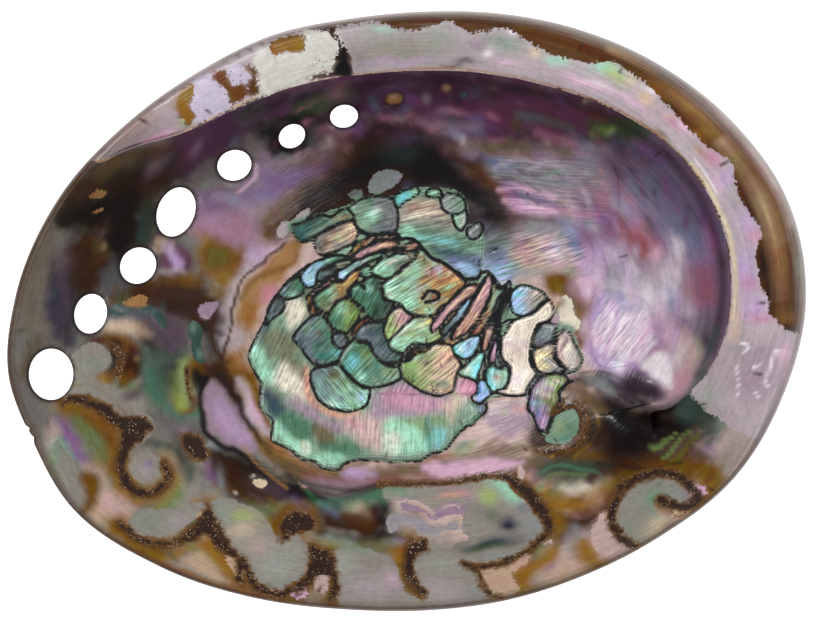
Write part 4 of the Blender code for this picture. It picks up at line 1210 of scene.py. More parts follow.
    ("mud", 3, 0.9, [(286, 458), (300, 466), (330, 472), (350, 466), (366, 463), (330, 484),
                     (310, 482), (294, 472)]),
    # the dark, gold and brown left end
    ("bark", 8, 0.9, [(60, 215), (70, 182), (96, 164), (130, 150), (180, 132), (190, 160),
                      (160, 186), (150, 240), (130, 262), (104, 240), (80, 226)]),
    ("mud", 6, 0.8, [(104, 164), (124, 154), (140, 158), (132, 172), (112, 178), (98, 180)]),
    ("black", 6, 0.95, [(108, 176), (136, 164), (166, 150), (176, 166), (156, 186), (140, 190),
                        (134, 214), (132, 248), (118, 264), (106, 244), (108, 222), (84, 226),
                        (56, 226), (60, 214), (92, 204)]),
    ("pine", 4, 0.95, [(140, 190), (150, 186), (156, 200), (153, 226), (146, 242), (136, 238),
                       (136, 210)]),
    ("mud", 8, 0.5, [(20, 300), (26, 260), (44, 226), (60, 226), (54, 260), (44, 300),
                     (40, 330), (24, 326)]),
    ("dusk", 6, 0.8, [(48, 262), (60, 258), (70, 280), (68, 320), (62, 344), (50, 330),
                      (46, 296)]),
    ("navy", 4, 0.5, [(48, 280), (56, 276), (60, 310), (56, 338), (50, 326)]),
    ("bark", 6, 0.9, [(72, 240), (90, 228), (104, 240), (104, 262), (96, 282), (80, 300),
                      (70, 282)]),
    ("ochre", 5, 0.8, [(92, 244), (102, 240), (108, 252), (100, 264), (90, 260)]),
    ("lead", 5, 0.8, [(98, 268), (112, 262), (120, 276), (120, 296), (106, 298), (98, 286)]),
    ("wine", 5, 0.7, [(156, 236), (170, 240), (184, 256), (182, 272), (166, 276), (156, 262)]),
    ("peach", 2.5, 0.9, [(155, 238), (162, 240), (160, 250), (155, 250)]),
    ("lilac", 3, 0.9, [(162, 244), (170, 248), (180, 262), (176, 272), (168, 264)]),
    ("pearl", 3, 0.8, [(156, 274), (172, 268), (184, 270), (170, 278), (158, 280)]),
    ("ochre", 6, 0.8, [(196, 244), (216, 236), (238, 246), (240, 262), (226, 276), (204, 274),
                       (194, 260)]),
    ("olive", 4, 0.8, [(206, 248), (220, 246), (228, 256), (220, 268), (206, 264)]),
    ("bark", 7, 0.95, [(112, 296), (130, 284), (156, 278), (190, 280), (204, 294), (216, 312),
                       (212, 330), (196, 326), (180, 312), (150, 306), (124, 304)]),
    ("ochre", 4, 0.85, [(140, 284), (166, 276), (192, 272), (200, 284), (182, 288),
                        (156, 290)]),
    ("black", 5, 0.9, [(158, 298), (180, 292), (200, 300), (212, 314), (214, 334), (204, 334),
                       (196, 318), (176, 312), (160, 308)]),
    ("lead", 4, 0.9, [(108, 308), (124, 302), (146, 306), (150, 318), (134, 316), (116, 320)]),
    ("dusk", 6, 0.7, [(148, 316), (166, 314), (182, 326), (184, 350), (170, 352), (154, 336)]),
    ("sand", 4, 0.8, [(104, 324), (124, 318), (144, 322), (150, 332), (130, 332), (110, 332)]),
    ("bark", 5, 0.9, [(84, 336), (104, 334), (128, 340), (138, 354), (138, 374), (124, 386),
                      (112, 380), (112, 362), (104, 346)]),
    ("ochre", 3, 0.8, [(110, 374), (124, 372), (132, 378), (122, 386), (110, 382)]),
    ("pine", 7, 0.8, [(140, 350), (160, 346), (184, 352), (188, 374), (176, 396), (156, 394),
                      (144, 378)]),
    ("jade", 5, 0.6, [(140, 368), (156, 372), (166, 392), (160, 404), (146, 394)]),
    ("reed", 4, 0.8, [(176, 366), (186, 360), (190, 376), (192, 396), (184, 404), (174, 392)]),
    ("ochre", 3, 0.8, [(186, 362), (198, 360), (202, 372), (194, 374), (192, 390),
                       (186, 380)]),
    ("black", 3, 0.9, [(190, 372), (198, 370), (202, 382), (198, 394), (190, 390)]),
    ("black", 4, 0.8, [(198, 326), (212, 330), (220, 350), (224, 366), (214, 364), (202, 350)]),
    ("bark", 7, 0.8, [(206, 452), (222, 456), (244, 470), (262, 486), (270, 500), (244, 502),
                      (222, 486), (208, 470)]),
    ("bark", 6, 0.8, [(174, 436), (190, 432), (204, 440), (202, 456), (186, 460),
                      (174, 450)]),
]
FLANK_CLOUDS = [
    ("sky", 232, 198, 10, 8, 0, 0.35), ("blue", 264, 192, 12, 8, 30, 0.35),
    ("lilac", 214, 216, 14, 10, 0, 0.4), ("violet", 300, 172, 14, 8, 0, 0.6),
    ("rose", 270, 212, 10, 8, 20, 0.4), ("lead", 250, 108, 22, 10, 25, 0.6),
    ("violet", 222, 120, 26, 8, 30, 0.5), ("brick", 190, 150, 10, 16, -20, 0.6),
    ("brick", 206, 146, 10, 8, 30, 0.4), ("moss", 310, 98, 24, 8, 15, 0.9),
    ("plum", 186, 164, 10, 10, 0, 0.4), ("green", 314, 94, 12, 4, 10, 0.4),
    ("pine", 312, 138, 14, 12, 0, 0.5), ("mist", 206, 184, 9, 4, 30, 0.6),
    ("stone", 44, 380, 10, 30, 0, 0.3), ("ink", 23, 330, 4, 3, 0, 0.6), ("ink", 28, 346, 2, 6, 0, 0.5),
    ("ink", 84, 346, 5, 5, 0, 0.7), ("mud", 44, 400, 10, 4, -20, 0.5),
    ("ink", 99, 350, 3, 3, 0, 0.8), ("violet", 167, 348, 4, 4, 0, 0.7),
    ("tan", 134, 357, 2.5, 4, 0, 0.8), ("sand", 103, 246, 3, 6, -30, 0.8),
    ("mauve", 182, 428, 10, 5, 0, 0.5), ("mist", 210, 446, 8, 6, -20, 0.8),
    ("lead", 226, 450, 18, 4, -25, 0.6), ("lime", 262, 528, 6, 8, 0, 0.5),
    ("cream", 224, 524, 8, 10, 0, 0.4), ("lead", 202, 486, 6, 16, 0, 0.4),
    ("mist", 218, 480, 5, 14, 10, 0.6), ("ivory", 234, 493, 3, 2, -20, 0.95),
    ("ivory", 252, 478, 2.5, 1.5, 0, 0.9), ("petrol", 338, 506, 6, 4, -20, 0.6),
    ("lilac", 352, 475, 12, 5, 5, 0.8), ("mud", 312, 482, 14, 5, -15, 0.6),
    ("salmon", 452, 470, 30, 6, 5, 0.6), ("lilac", 440, 470, 16, 5, 0, 0.8),
    ("pink", 484, 468, 26, 5, 5, 0.7), ("brown", 400, 470, 20, 6, 0, 0.5),
    ("rose", 528, 468, 8, 6, 0, 0.6), ("rose", 534, 474, 5, 10, 0, 0.4),
    ("blush", 745, 420, 30, 34, 0, 0.4), ("ivory", 655, 405, 4, 3, 0, 0.9),
    # the coal cloud at (640, 384) is painted shade on the wall of the spire's pit
    ("coal", 640, 384, 12, 7, 0, 0.8), ("lead", 612, 380, 12, 5, -20, 0.7),
    ("mud", 600, 376, 8, 4, -30, 0.6), ("ink", 659, 400, 9, 4, 20, 0.8),
]
FLANK_STROKES = [
    ("tan", 5, 1.5, 0.8, [(60, 500), (100, 536), (156, 562), (200, 578), (244, 590), (288, 601),
                          (336, 608), (400, 611), (460, 609), (520, 599), (580, 580), (640, 552),
                          (700, 514)]),
    ("brown", 2, 1.2, 0.8, [(20, 290), (34, 246), (58, 204), (80, 178), (104, 152)]),
    ("dusk", 2, 1.2, 0.6, [(60, 504), (100, 540), (156, 566), (244, 594), (336, 611), (400, 613),
                           (520, 601), (640, 553), (700, 515), (760, 446), (800, 350)]),
    ("pink", 4, 2, 0.9, [(255, 164), (251, 174), (245, 183), (237, 189)]),
    ("bark", 3.5, 1.5, 0.95, [(284, 242), (262, 262), (244, 276), (234, 296), (228, 318),
                              (225, 340), (221, 357)]),
    ("ochre", 5, 2.5, 0.6, [(300, 240), (290, 260), (270, 272), (250, 284), (238, 300)]),
    ("bark", 5, 2, 0.9, [(208, 320), (208, 340), (214, 352), (220, 360)]),
    ("black", 6, 2, 0.95, [(204, 378), (200, 400), (202, 424), (211, 440), (232, 453),
                           (250, 463), (266, 474)]),
    ("coal", 5, 2, 0.8, [(213, 374), (222, 386), (236, 402), (246, 420), (256, 436), (270, 452)]),
    ("fern", 2.5, 1, 0.9, [(655, 448), (668, 444), (684, 434), (694, 424)]),
    ("sand", 2, 1, 0.7, [(660, 446), (680, 436), (692, 428)]),
    ("coal", 2, 1, 0.8, [(664, 452), (680, 444), (692, 434)]),
    ("sand", 2.5, 1, 0.6, [(668, 458), (684, 448), (698, 432)]),
    ("fern", 2.5, 1, 0.8, [(676, 458), (690, 446), (702, 434)]),
    ("coal", 1.8, 1, 0.7, [(682, 458), (698, 444), (708, 432)]),
    ("bark", 3, 1.5, 0.9, [(300, 490), (330, 496), (356, 492), (380, 485), (420, 484),
                           (460, 482), (500, 477)]),
    ("mud", 2, 1, 0.7, [(262, 462), (276, 472), (288, 484)]),
    ("sand", 1.5, 0.8, 0.8, [(293, 478), (300, 486), (306, 491)]),
    ("black", 3, 1.5, 0.8, [(686, 398), (700, 386), (712, 366), (719, 344)]),
]


SHADES = [                     # dark pearl that lies over the clouds
    ("bark", 8, 0.9, [(590, 398), (612, 396), (640, 404), (666, 412), (692, 400), (704, 378),
                      (716, 382), (716, 412), (706, 440), (716, 462), (700, 470), (664, 468),
                      (636, 478), (606, 480), (580, 466), (590, 440)]),
    ("black", 7, 0.95, [(600, 404), (626, 400), (648, 410), (668, 416), (694, 406), (704, 392),
                        (706, 412), (692, 434), (668, 446), (640, 456), (612, 458), (604, 436)]),
    ("spruce", 5, 0.8, [(676, 400), (690, 388), (706, 374), (714, 384), (710, 408), (694, 422),
                        (678, 418)]),
    ("pine", 6, 0.8, [(700, 384), (714, 376), (722, 392), (722, 424), (712, 444), (702, 428)]),
    ("ochre", 6, 0.8, [(622, 476), (650, 464), (690, 456), (716, 466), (722, 484), (700, 478),
                       (664, 474), (640, 484)]),
    ("pine", 5, 0.85, [(534, 462), (560, 454), (596, 458), (612, 468), (590, 480), (556, 486),
                       (536, 478)]),
    ("ochre", 3, 0.6, [(560, 452), (584, 448), (606, 456), (596, 460), (572, 458)]),
    ("bark", 5, 0.85, [(590, 474), (616, 466), (640, 460), (640, 470), (616, 478), (596, 484)]),
    ("bark", 7, 0.8, [(116, 182), (150, 166), (176, 160), (172, 184), (150, 200), (120, 206),
                      (84, 214), (88, 196)]),
    ("black", 7, 0.85, [(108, 196), (136, 186), (140, 210), (132, 240), (120, 262), (106, 250),
                        (110, 222), (84, 228), (62, 226), (70, 210)]),
    ("bark", 6, 0.8, [(78, 248), (94, 240), (102, 256), (98, 276), (84, 290), (74, 276)]),
    ("bark", 6, 0.85, [(120, 300), (140, 286), (170, 282), (200, 292), (214, 316), (206, 328),
                       (184, 310), (150, 302)]),
    ("dusk", 6, 0.6, [(150, 318), (168, 316), (184, 330), (182, 350), (166, 350), (154, 336)]),
]
SHADE_STROKES = [
    ("fern", 3, 2, 0.9, [(652, 452), (664, 444), (678, 434)]),
    ("fern", 2.5, 2, 0.8, [(664, 456), (678, 446), (692, 434)]),
    ("olive", 3, 2, 0.9, [(676, 458), (690, 448), (702, 436)]),
    ("jade", 3, 2, 0.8, [(540, 474), (560, 466), (584, 468), (600, 472)]),
    ("fern", 2, 2, 0.6, [(548, 480), (570, 474), (590, 474)]),
    ("honey", 2, 2, 0.7, [(574, 458), (590, 446), (600, 426), (598, 410), (588, 400)]),
    ("sage", 4, 3, 0.5, [(712, 380), (720, 400), (720, 424)]),
    ("ink", 2, 1.5, 0.8, [(600, 462), (640, 470), (680, 462)]),
]


# small soft touches of colour: number, from and to in degrees round the shell, from and to as
# shares of the outline, length in pixels, strength, tints
FLANK_DAPPLES = [
    (150, 160, 345, 0.66, 0.96, 11, 0.4, ("green", "fern", "amber", "umber", "petrol", "violet",
                                           "cream", "spruce", "ink", "mist")),
    (60, 120, 190, 0.6, 0.95, 11, 0.4, ("ink", "umber", "spruce", "ochre", "dusk", "steel")),
]
BOWL_DAPPLES = [
    (110, 15, 132, 0.58, 0.77, 12, 0.5, ("wine", "magenta", "plum", "umber", "pine", "slate",
                                          "violet", "black", "rose")),
    (120, -20, 100, 0.3, 0.66, 15, 0.38, ("violet", "lilac", "blue", "pink", "teal", "rose",
                                           "sky", "mauve", "magenta", "white")),
    (110, 0, 155, 0.75, 0.93, 12, 0.5, ("wine", "magenta", "umber", "pine", "slate", "mauve",
                                        "black", "heather", "dusk", "brown")),
    (60, -17, 14, 0.42, 0.72, 15, 0.55, ("pink", "white", "lilac", "opal", "white")),
]


BOWL_SHADES = [
    ("bark", 8, 0.75, [(266, 224), (298, 188), (340, 154), (376, 132), (404, 126), (444, 134),
                       (474, 162), (510, 196), (520, 218), (504, 240), (480, 218), (446, 196),
                       (410, 192), (392, 176), (366, 186), (330, 206), (284, 236)]),
    ("black", 6, 0.95, [(300, 202), (340, 168), (376, 148), (410, 140), (440, 146), (466, 170),
                        (498, 202), (506, 216), (494, 228), (476, 208), (446, 188), (420, 184),
                        (402, 168), (380, 168), (366, 178), (330, 196), (302, 212)]),
    ("spruce", 6, 0.4, [(380, 150), (400, 142), (420, 150), (404, 160)]),
]


def dapple(sheet, layer, rows):
    """Scatter small soft touches of colour, stretched along the growth."""
    for number, row in enumerate(rows):
        count, low, high, near_share, far_share, length, strength, tints = row
        dice = np.random.default_rng(40 + number)
        for _ in range(count):
            angle = dice.uniform(low, high)
            reach = dice.uniform(near_share, far_share) * around(OUTLINE, [angle % 360])[0] / PIXEL
            turn = np.radians(angle)
            long = length * dice.uniform(0.5, 1.4)
            sheet.cloud(layer, tints[dice.integers(len(tints))], 425 + reach * np.cos(turn),
                        300 - reach * np.sin(turn), long, long * dice.uniform(0.25, 0.6),
                        90 + angle + dice.uniform(-14, 14), strength * dice.uniform(0.5, 1.3))


def glow_layers(sheet, under):
    """The soft ground of the flanks, on both sides of the ledge's line."""
    for tint, blur, strength, points in FLANK_PATCHES:
        sheet.patch(under, tint, points, blur, strength)
    for width, points in SEAMS:
        if width > 3.8:
            sheet.stroke(under, "honey", points, width + 20, 9, 0.55)
            sheet.stroke(under, "ochre", points, width + 9, 6, 0.85)
            sheet.stroke(under, "bark", points, width + 2, 3, 0.9)
    for row in FLANK_CLOUDS:
        sheet.cloud(under, *row)
    for tint, width, blur, strength, points in FLANK_STROKES:
        sheet.stroke(under, tint, points, width, blur, strength)
    dapple(sheet, under, FLANK_DAPPLES)
    for tint, blur, strength, points in SHADES:
        sheet.patch(under, tint, points, blur, strength)
    for tint, width, blur, strength, points in SHADE_STROKES:
        sheet.stroke(under, tint, points, width, blur, strength)


# %% [markdown]
# ## The hollow under the ledge
#
# The deepest part of the bowl runs under the ledge. Its pearl is violet and plum with magenta
# and blue-grey clouds, ripples in fine waves, and a bright fan of streaks towards the spire.
# Round the scar runs a dark brown ring with pink bands. Just under the ledge's lip the hollow
# carries a painted shadow of the ledge, and the wall by the spire a painted highlight.

# %%
BOWL_PATCHES = [
    ("plum", 12, 1.0, [(176, 126), (235, 96), (300, 72), (400, 54), (506, 60), (606, 90),
                      (666, 124), (640, 160), (600, 150), (540, 140), (480, 142), (440, 128),
                      (400, 124), (340, 130), (300, 120), (240, 140), (200, 170), (180, 164)]),
    ("heather", 8, 1.0, [(470, 158), (540, 160), (600, 148), (640, 126), (672, 126), (710, 172),
                         (736, 226), (746, 290), (736, 346), (708, 370), (690, 390), (664, 404),
                         (630, 396), (600, 378), (590, 340), (590, 290), (570, 262), (520, 240),
                         (490, 200)]),
    ("lead", 4, 0.7, [(232, 118), (244, 104), (262, 99), (262, 112), (244, 124)]),
    ("moss", 4, 0.9, [(288, 114), (300, 98), (330, 88), (352, 83), (346, 95), (320, 110),
                      (300, 118)]),
    # black under the ledge at the upper left: partly the pearl's own black, partly painted shade
    ("black", 4, 1.0, [(252, 126), (284, 112), (310, 108), (330, 110), (338, 124), (322, 140),
                       (314, 153), (290, 159), (270, 152), (262, 140)]),
    ("lead", 4, 0.45, [(306, 130), (316, 122), (322, 132), (316, 144), (306, 142)]),
    ("rust", 4, 0.85, [(274, 163), (300, 160), (322, 152), (336, 134), (352, 126), (364, 130),
                       (350, 146), (338, 164), (320, 172), (296, 167)]),
    ("violet", 5, 0.8, [(262, 170), (284, 167), (306, 165), (334, 162), (318, 177), (290, 191),
                        (266, 196)]),
    ("ochre", 5, 0.9, [(260, 212), (276, 198), (300, 182), (330, 168), (350, 150), (364, 144),
                       (356, 168), (336, 186), (306, 198), (286, 214), (270, 240), (258, 236)]),
    ("bark", 7, 1.0, [(274, 232), (294, 198), (312, 182), (334, 168), (348, 148), (356, 130),
                      (374, 116), (408, 118), (436, 132), (456, 146), (472, 162), (488, 170),
                      (506, 188), (520, 212), (512, 238), (484, 248), (440, 230), (340, 220)]),
    ("black", 5, 1.0, [(284, 224), (300, 204), (318, 190), (340, 176), (356, 152), (362, 136),
                       (378, 124), (404, 126), (428, 140), (448, 152), (462, 170), (478, 178),
                       (496, 196), (508, 214), (502, 230), (480, 238), (466, 220), (458, 198),
                       (440, 184), (402, 182), (370, 192), (346, 202), (322, 212), (300, 216)]),
    ("bark", 4, 0.95, [(402, 122), (440, 132), (468, 144), (500, 158), (514, 172), (500, 174),
                       (470, 167), (448, 154), (424, 140)]),
    ("ochre", 3, 0.9, [(462, 168), (482, 164), (502, 178), (510, 196), (508, 212), (518, 218),
                       (500, 224), (494, 202), (480, 184), (464, 178)]),
    ("wine", 5, 0.7, [(400, 108), (440, 106), (480, 100), (540, 94), (582, 104), (582, 134),
                      (520, 138), (470, 138), (440, 124), (404, 118)]),
    ("olive", 3, 0.75, [(440, 145), (470, 141), (520, 138), (560, 142), (584, 150), (560, 156),
                        (520, 150), (480, 151), (452, 152)]),
    ("brick", 3, 0.6, [(490, 154), (530, 151), (580, 157), (560, 161), (520, 157)]),
    ("moss", 4, 0.9, [(588, 120), (600, 116), (640, 120), (652, 134), (630, 137), (606, 134),
                      (592, 130)]),
    ("lime", 2.5, 0.8, [(592, 129), (600, 122), (614, 126), (608, 133), (597, 135)]),
    ("violet", 5, 0.7, [(640, 139), (652, 142), (668, 153), (664, 167), (648, 159), (636, 150)]),
    ("slate", 8, 0.7, [(644, 168), (668, 166), (690, 190), (702, 220), (706, 250), (690, 250),
                       (664, 226), (644, 200), (626, 184)]),
    ("wine", 5, 0.5, [(598, 188), (612, 196), (620, 214), (612, 232), (600, 222), (588, 204)]),
    ("brick", 6, 0.75, [(620, 216), (640, 222), (656, 236), (664, 254), (650, 264), (630, 250),
                        (618, 236)]),
    ("lilac", 6, 0.8, [(580, 250), (596, 243), (620, 247), (624, 262), (606, 270), (588, 270)]),
    ("sage", 6, 0.5, [(608, 266), (632, 268), (640, 286), (620, 290)]),
    ("pearl", 9, 0.6, [(640, 262), (680, 262), (692, 290), (672, 322), (640, 312), (620, 300)]),
    ("brick", 7, 0.5, [(698, 266), (718, 276), (718, 304), (700, 306), (688, 290)]),
    ("dusk", 5, 0.7, [(716, 250), (732, 262), (734, 300), (728, 340), (714, 362), (710, 330),
                      (720, 290)]),
    ("lead", 6, 0.6, [(698, 312), (716, 312), (714, 340), (702, 352), (690, 334)]),
    ("blush", 7, 0.8, [(668, 340), (690, 330), (702, 350), (698, 374), (682, 392), (668, 398),
                       (672, 372)]),
    ("rose", 6, 0.5, [(672, 370), (690, 366), (692, 382), (676, 396)]),
    ("lilac", 6, 0.9, [(594, 296), (606, 288), (620, 298), (640, 308), (652, 330), (652, 356),
                       (630, 372), (606, 372), (591, 358), (591, 330)]),
    ("pink", 5, 0.7, [(606, 340), (630, 310), (652, 318), (652, 342), (630, 360), (606, 354)]),
    ("fog", 5, 0.8, [(490, 158), (560, 160), (600, 160), (610, 190), (570, 196), (520, 184),
                     (496, 176)]),
    ("pink", 3.5, 0.95, [(504, 200), (514, 194), (534, 202), (556, 208), (560, 214), (540, 216),
                         (516, 212), (505, 208)]),
    ("ochre", 3, 0.6, [(556, 196), (566, 194), (574, 212), (572, 224), (562, 216)]),
    ("mud", 3, 0.6, [(498, 222), (530, 214), (560, 220), (560, 228), (520, 228)]),
    ("mist", 6, 0.95, [(440, 240), (480, 240), (520, 224), (560, 226), (580, 244), (574, 270),
                       (530, 276), (500, 280), (470, 262)]),
    ("sand", 4, 0.6, [(520, 240), (560, 236), (574, 250), (570, 268), (540, 270), (516, 258)]),
    ("sky", 4, 0.6, [(470, 262), (484, 256), (510, 264), (516, 276), (500, 282), (484, 272)]),
    ("ochre", 3, 1.0, [(544, 276), (560, 270), (574, 276), (584, 290), (590, 310), (590, 336),
                       (584, 352), (576, 344), (576, 320), (568, 302), (556, 292), (546, 290)]),
    ("rust", 3, 0.6, [(572, 296), (582, 300), (584, 330), (576, 336), (572, 316)]),
    ("fern", 4, 0.6, [(566, 270), (580, 266), (590, 276), (592, 290), (582, 284)]),
    ("ink", 3, 0.85, [(566, 380), (590, 376), (604, 372), (620, 380), (636, 392), (652, 404),
                      (640, 408), (620, 402), (600, 392), (580, 388)]),
    ("mist", 3, 0.7, [(586, 378), (604, 380), (620, 392), (610, 396), (594, 388)]),
    # painted shade on the wall of the spire's pit
    ("coal", 4, 0.9, [(624, 380), (640, 371), (654, 380), (666, 392), (664, 400), (650, 402),
                      (634, 396)]),
    ("mud", 3, 0.8, [(560, 386), (580, 386), (600, 400), (610, 412), (600, 414), (584, 400),
                     (568, 394)]),
    ("mauve", 4, 0.9, [(484, 420), (498, 408), (515, 403), (527, 410), (534, 420), (524, 432),
                       (508, 438), (490, 432)]),
    ("umber", 5, 0.95, [(536, 410), (550, 398), (575, 398), (592, 410), (604, 430), (590, 448),
                        (560, 456), (536, 452), (530, 436)]),
    ("mud", 4, 0.9, [(262, 440), (276, 455), (310, 472), (350, 472), (400, 466), (440, 462),
                     (490, 458), (540, 462), (536, 470), (500, 477), (460, 480), (400, 482),
                     (350, 488), (310, 484), (284, 474)]),
    ("brick", 3, 0.5, [(300, 476), (330, 478), (380, 478), (440, 480), (400, 484), (350, 489),
                       (316, 486)]),
    ("pink", 3, 0.8, [(424, 468), (436, 464), (448, 467), (466, 462), (490, 459), (512, 463),
                      (522, 466), (502, 474), (470, 478), (440, 479), (424, 474)]),
    ("lilac", 3, 0.8, [(338, 474), (346, 469), (362, 470), (374, 476), (360, 481), (344, 480)]),
    ("mauve", 4, 0.6, [(304, 484), (330, 480), (360, 483), (376, 480), (360, 490), (330, 494)]),
    ("fern", 3, 0.6, [(452, 452), (466, 444), (480, 440), (472, 452), (458, 458)]),
    ("mud", 3, 0.8, [(462, 458), (490, 448), (520, 444), (534, 450), (520, 458), (490, 458)]),
]
BOWL_CLOUDS = [
    ("slate", 500, 256, 18, 14, -30, 0.9), ("petrol", 494, 248, 14, 5, 0, 0.6),
    ("sky", 500, 270, 9, 8, -20, 0.8), ("mint", 512, 266, 7, 3, 30, 0.6),
    ("sage", 506, 238, 14, 5, 10, 0.7), ("slate", 512, 277, 5, 4, 0, 0.6),
    ("slate", 373, 102, 7, 10, 0, 0.7), ("violet", 356, 126, 9, 5, 30, 0.7),
    ("rose", 384, 116, 10, 4, 10, 0.5), ("mauve", 428, 94, 5, 6, 0, 0.8),
    ("teal", 462, 90, 4, 3.5, 0, 0.9), ("teal", 371, 97, 3, 4, 0, 0.6),
    ("blue", 456, 135, 10, 4, 0, 0.6), ("violet", 470, 128, 24, 6, 0, 0.6),
    ("slate", 534, 113, 14, 9, 0, 0.4), ("olive", 517, 122, 8, 8, 0, 0.6),
    ("rust", 494, 84, 12, 9, 0, 0.35), ("ochre", 538, 86, 9, 7, 0, 0.35),
    ("brick", 598, 112, 16, 8, -15, 0.5), ("cream", 587, 99, 3, 5, -20, 0.5),
    ("fog", 600, 150, 12, 8, 0, 0.6), ("slate", 614, 142, 12, 5, 10, 0.5),
    ("mint", 610, 130, 5, 3, 0, 0.5), ("violet", 676, 190, 6, 20, 25, 0.5),
    ("magenta", 668, 184, 5, 14, 25, 0.45), ("violet", 600, 216, 14, 8, 0, 0.5),
    ("magenta", 596, 232, 18, 5, 0, 0.4), ("slate", 690, 236, 12, 14, 0, 0.5),
    ("violet", 706, 214, 6, 22, 12, 0.5), ("magenta", 716, 236, 6, 20, 8, 0.6),
    ("magenta", 584, 190, 10, 5, 0, 0.4), ("lilac", 586, 284, 6, 20, 0, 0.6),
    ("violet", 628, 296, 10, 8, 0, 0.3), ("mauve", 684, 276, 12, 12, 0, 0.5),
    ("sage", 640, 280, 10, 8, 0, 0.35), ("pink", 598, 340, 6, 12, 30, 0.7),
    ("fern", 700, 352, 5, 16, -10, 0.5), ("ink", 708, 344, 5, 14, -8, 0.8),
    ("mist", 576, 252, 14, 8, 0, 0.5), ("sky", 560, 246, 8, 8, 0, 0.6),
    ("white", 552, 252, 8, 5, 10, 0.5), ("pink", 560, 260, 14, 4, 0, 0.5),
    ("mauve", 520, 186, 20, 4, -8, 0.7), ("pink", 546, 190, 16, 4, -6, 0.6),
    ("lilac", 570, 176, 16, 5, 0, 0.5), ("mint", 560, 172, 16, 4, 0, 0.5),
    ("salmon", 507, 192, 6, 4, -10, 0.6), ("violet", 540, 212, 10, 3, -8, 0.6),
    ("gold", 552, 304, 5, 8, 0, 0.7), ("ivory", 553, 306, 3, 5, 0, 0.6),
    ("tan", 592, 300, 4, 14, 0, 0.4), ("salmon", 520, 412, 10, 5, 0, 0.5),
    ("lime", 505, 416, 8, 4, 0, 0.3), ("rust", 436, 460, 8, 4, 10, 0.7),
    ("amber", 448, 459, 12, 3, 12, 0.7), ("ochre", 492, 446, 20, 3, 25, 0.6),
    ("teal", 462, 448, 8, 3, 40, 0.5), ("peach", 380, 464, 10, 3, 0, 0.5),
    ("gold", 551, 456, 3, 2, 0, 0.9), ("ink", 500, 404, 24, 2, 6, 0.5),
]
BOWL_STROKES = [
    # the two sealed holes
    ("coal", 15, 1.5, 1.2, [(391.5, 97), (396.5, 96)]),
    ("tan", 9, 1, 1.3, [(391, 96), (397, 95)]), ("sand", 3, 1.5, 0.8, [(392, 94), (395, 93)]),
    ("wine", 9, 1.5, 1.2, [(446, 87), (448, 87)]),
    ("clay", 5.5, 1, 1.3, [(446.2, 85), (447.8, 85)]),
    ("black", 4, 2, 0.9, [(286, 476), (310, 486), (350, 492), (384, 486), (420, 486), (440, 486),
                          (469, 482), (492, 479), (503, 475)]),
    ("tan", 1.5, 0.8, 0.9, [(242, 448), (254, 464), (270, 478), (286, 490)]),
    ("opal", 3, 2.5, 0.7, [(496, 166), (512, 158), (526, 158), (540, 162)]),
    ("opal", 3, 2.5, 0.7, [(530, 168), (548, 160), (564, 162), (590, 168)]),
    ("mist", 3, 2.5, 0.8, [(496, 172), (520, 174), (540, 180), (570, 182)]),
    ("pink", 3, 2.5, 0.8, [(500, 188), (520, 184), (534, 190), (556, 198)]),
    ("pink", 3, 2.5, 0.8, [(506, 198), (520, 200), (532, 206), (552, 210)]),
    ("slate", 3, 2.5, 0.7, [(520, 192), (540, 196), (566, 206)]),
    ("rose", 4, 3, 0.6, [(560, 206), (580, 212), (600, 214)]),
    ("dusk", 1.4, 0.8, 0.8, [(504, 176), (516, 178), (530, 184), (542, 190)]),
    ("dusk", 1.4, 0.8, 0.8, [(520, 168), (536, 173), (552, 170), (566, 174)]),
    ("dusk", 1.4, 0.8, 0.8, [(514, 190), (528, 196), (540, 202)]),
    ("dusk", 1.4, 0.8, 0.7, [(506, 212), (520, 216), (540, 218), (556, 219)]),
    ("slate", 2, 1, 0.7, [(612, 138), (628, 142), (640, 150)]),
    ("ink", 2, 1, 0.8, [(582, 374), (600, 372), (616, 376), (630, 386)]),
    ("tan", 3, 1.5, 0.8, [(264, 438), (280, 454), (300, 466), (320, 474), (340, 472),
                          (352, 464), (376, 460), (420, 462), (430, 464)]),
    # painted shadow of the ledge: the ink band just under its lip, the soft umber, wine and pine bands
    # below it, and the spruce band along it on the right
    ("ink", 5, 5, 0.75, [(240, 116), (300, 94), (400, 78), (453, 77), (506, 84), (559, 96),
                         (612, 116), (650, 140), (684, 170), (706, 204), (720, 240), (725, 270),
                         (724, 305), (719, 335), (711, 357), (700, 376)]),
    ("umber", 9, 6, 0.5, [(330, 100), (380, 90), (440, 86), (500, 92)]),
    ("wine", 8, 6, 0.5, [(470, 98), (520, 104), (570, 118), (610, 138)]),
    ("pine", 7, 6, 0.6, [(300, 110), (330, 100), (352, 94)]),
    ("pine", 7, 6, 0.5, [(600, 128), (626, 142), (650, 160)]),
    ("spruce", 5, 4, 0.7, [(718, 330), (712, 352), (704, 372), (694, 392)]),
    ("mauve", 6, 5, 0.6, [(420, 118), (450, 124), (480, 122)]),
    ("rose", 5, 5, 0.5, [(540, 130), (566, 140), (590, 152)]),
    ("jade", 4, 4, 0.5, [(520, 112), (548, 118), (572, 126)]),
]
STREAKS = [
    (598, 346, 606, 322), (604, 352, 618, 318), (612, 354, 628, 318), (620, 350, 636, 314),
    (622, 358, 642, 322), (630, 356, 648, 326), (636, 360, 654, 336), (642, 362, 658, 342),
    (606, 338, 616, 314), (616, 344, 628, 312), (628, 346, 644, 316), (596, 334, 602, 316),
]
HIGHLIGHT = [(645, 366), (659, 354), (670, 355), (675, 369), (675, 390), (663, 383), (651, 373)]
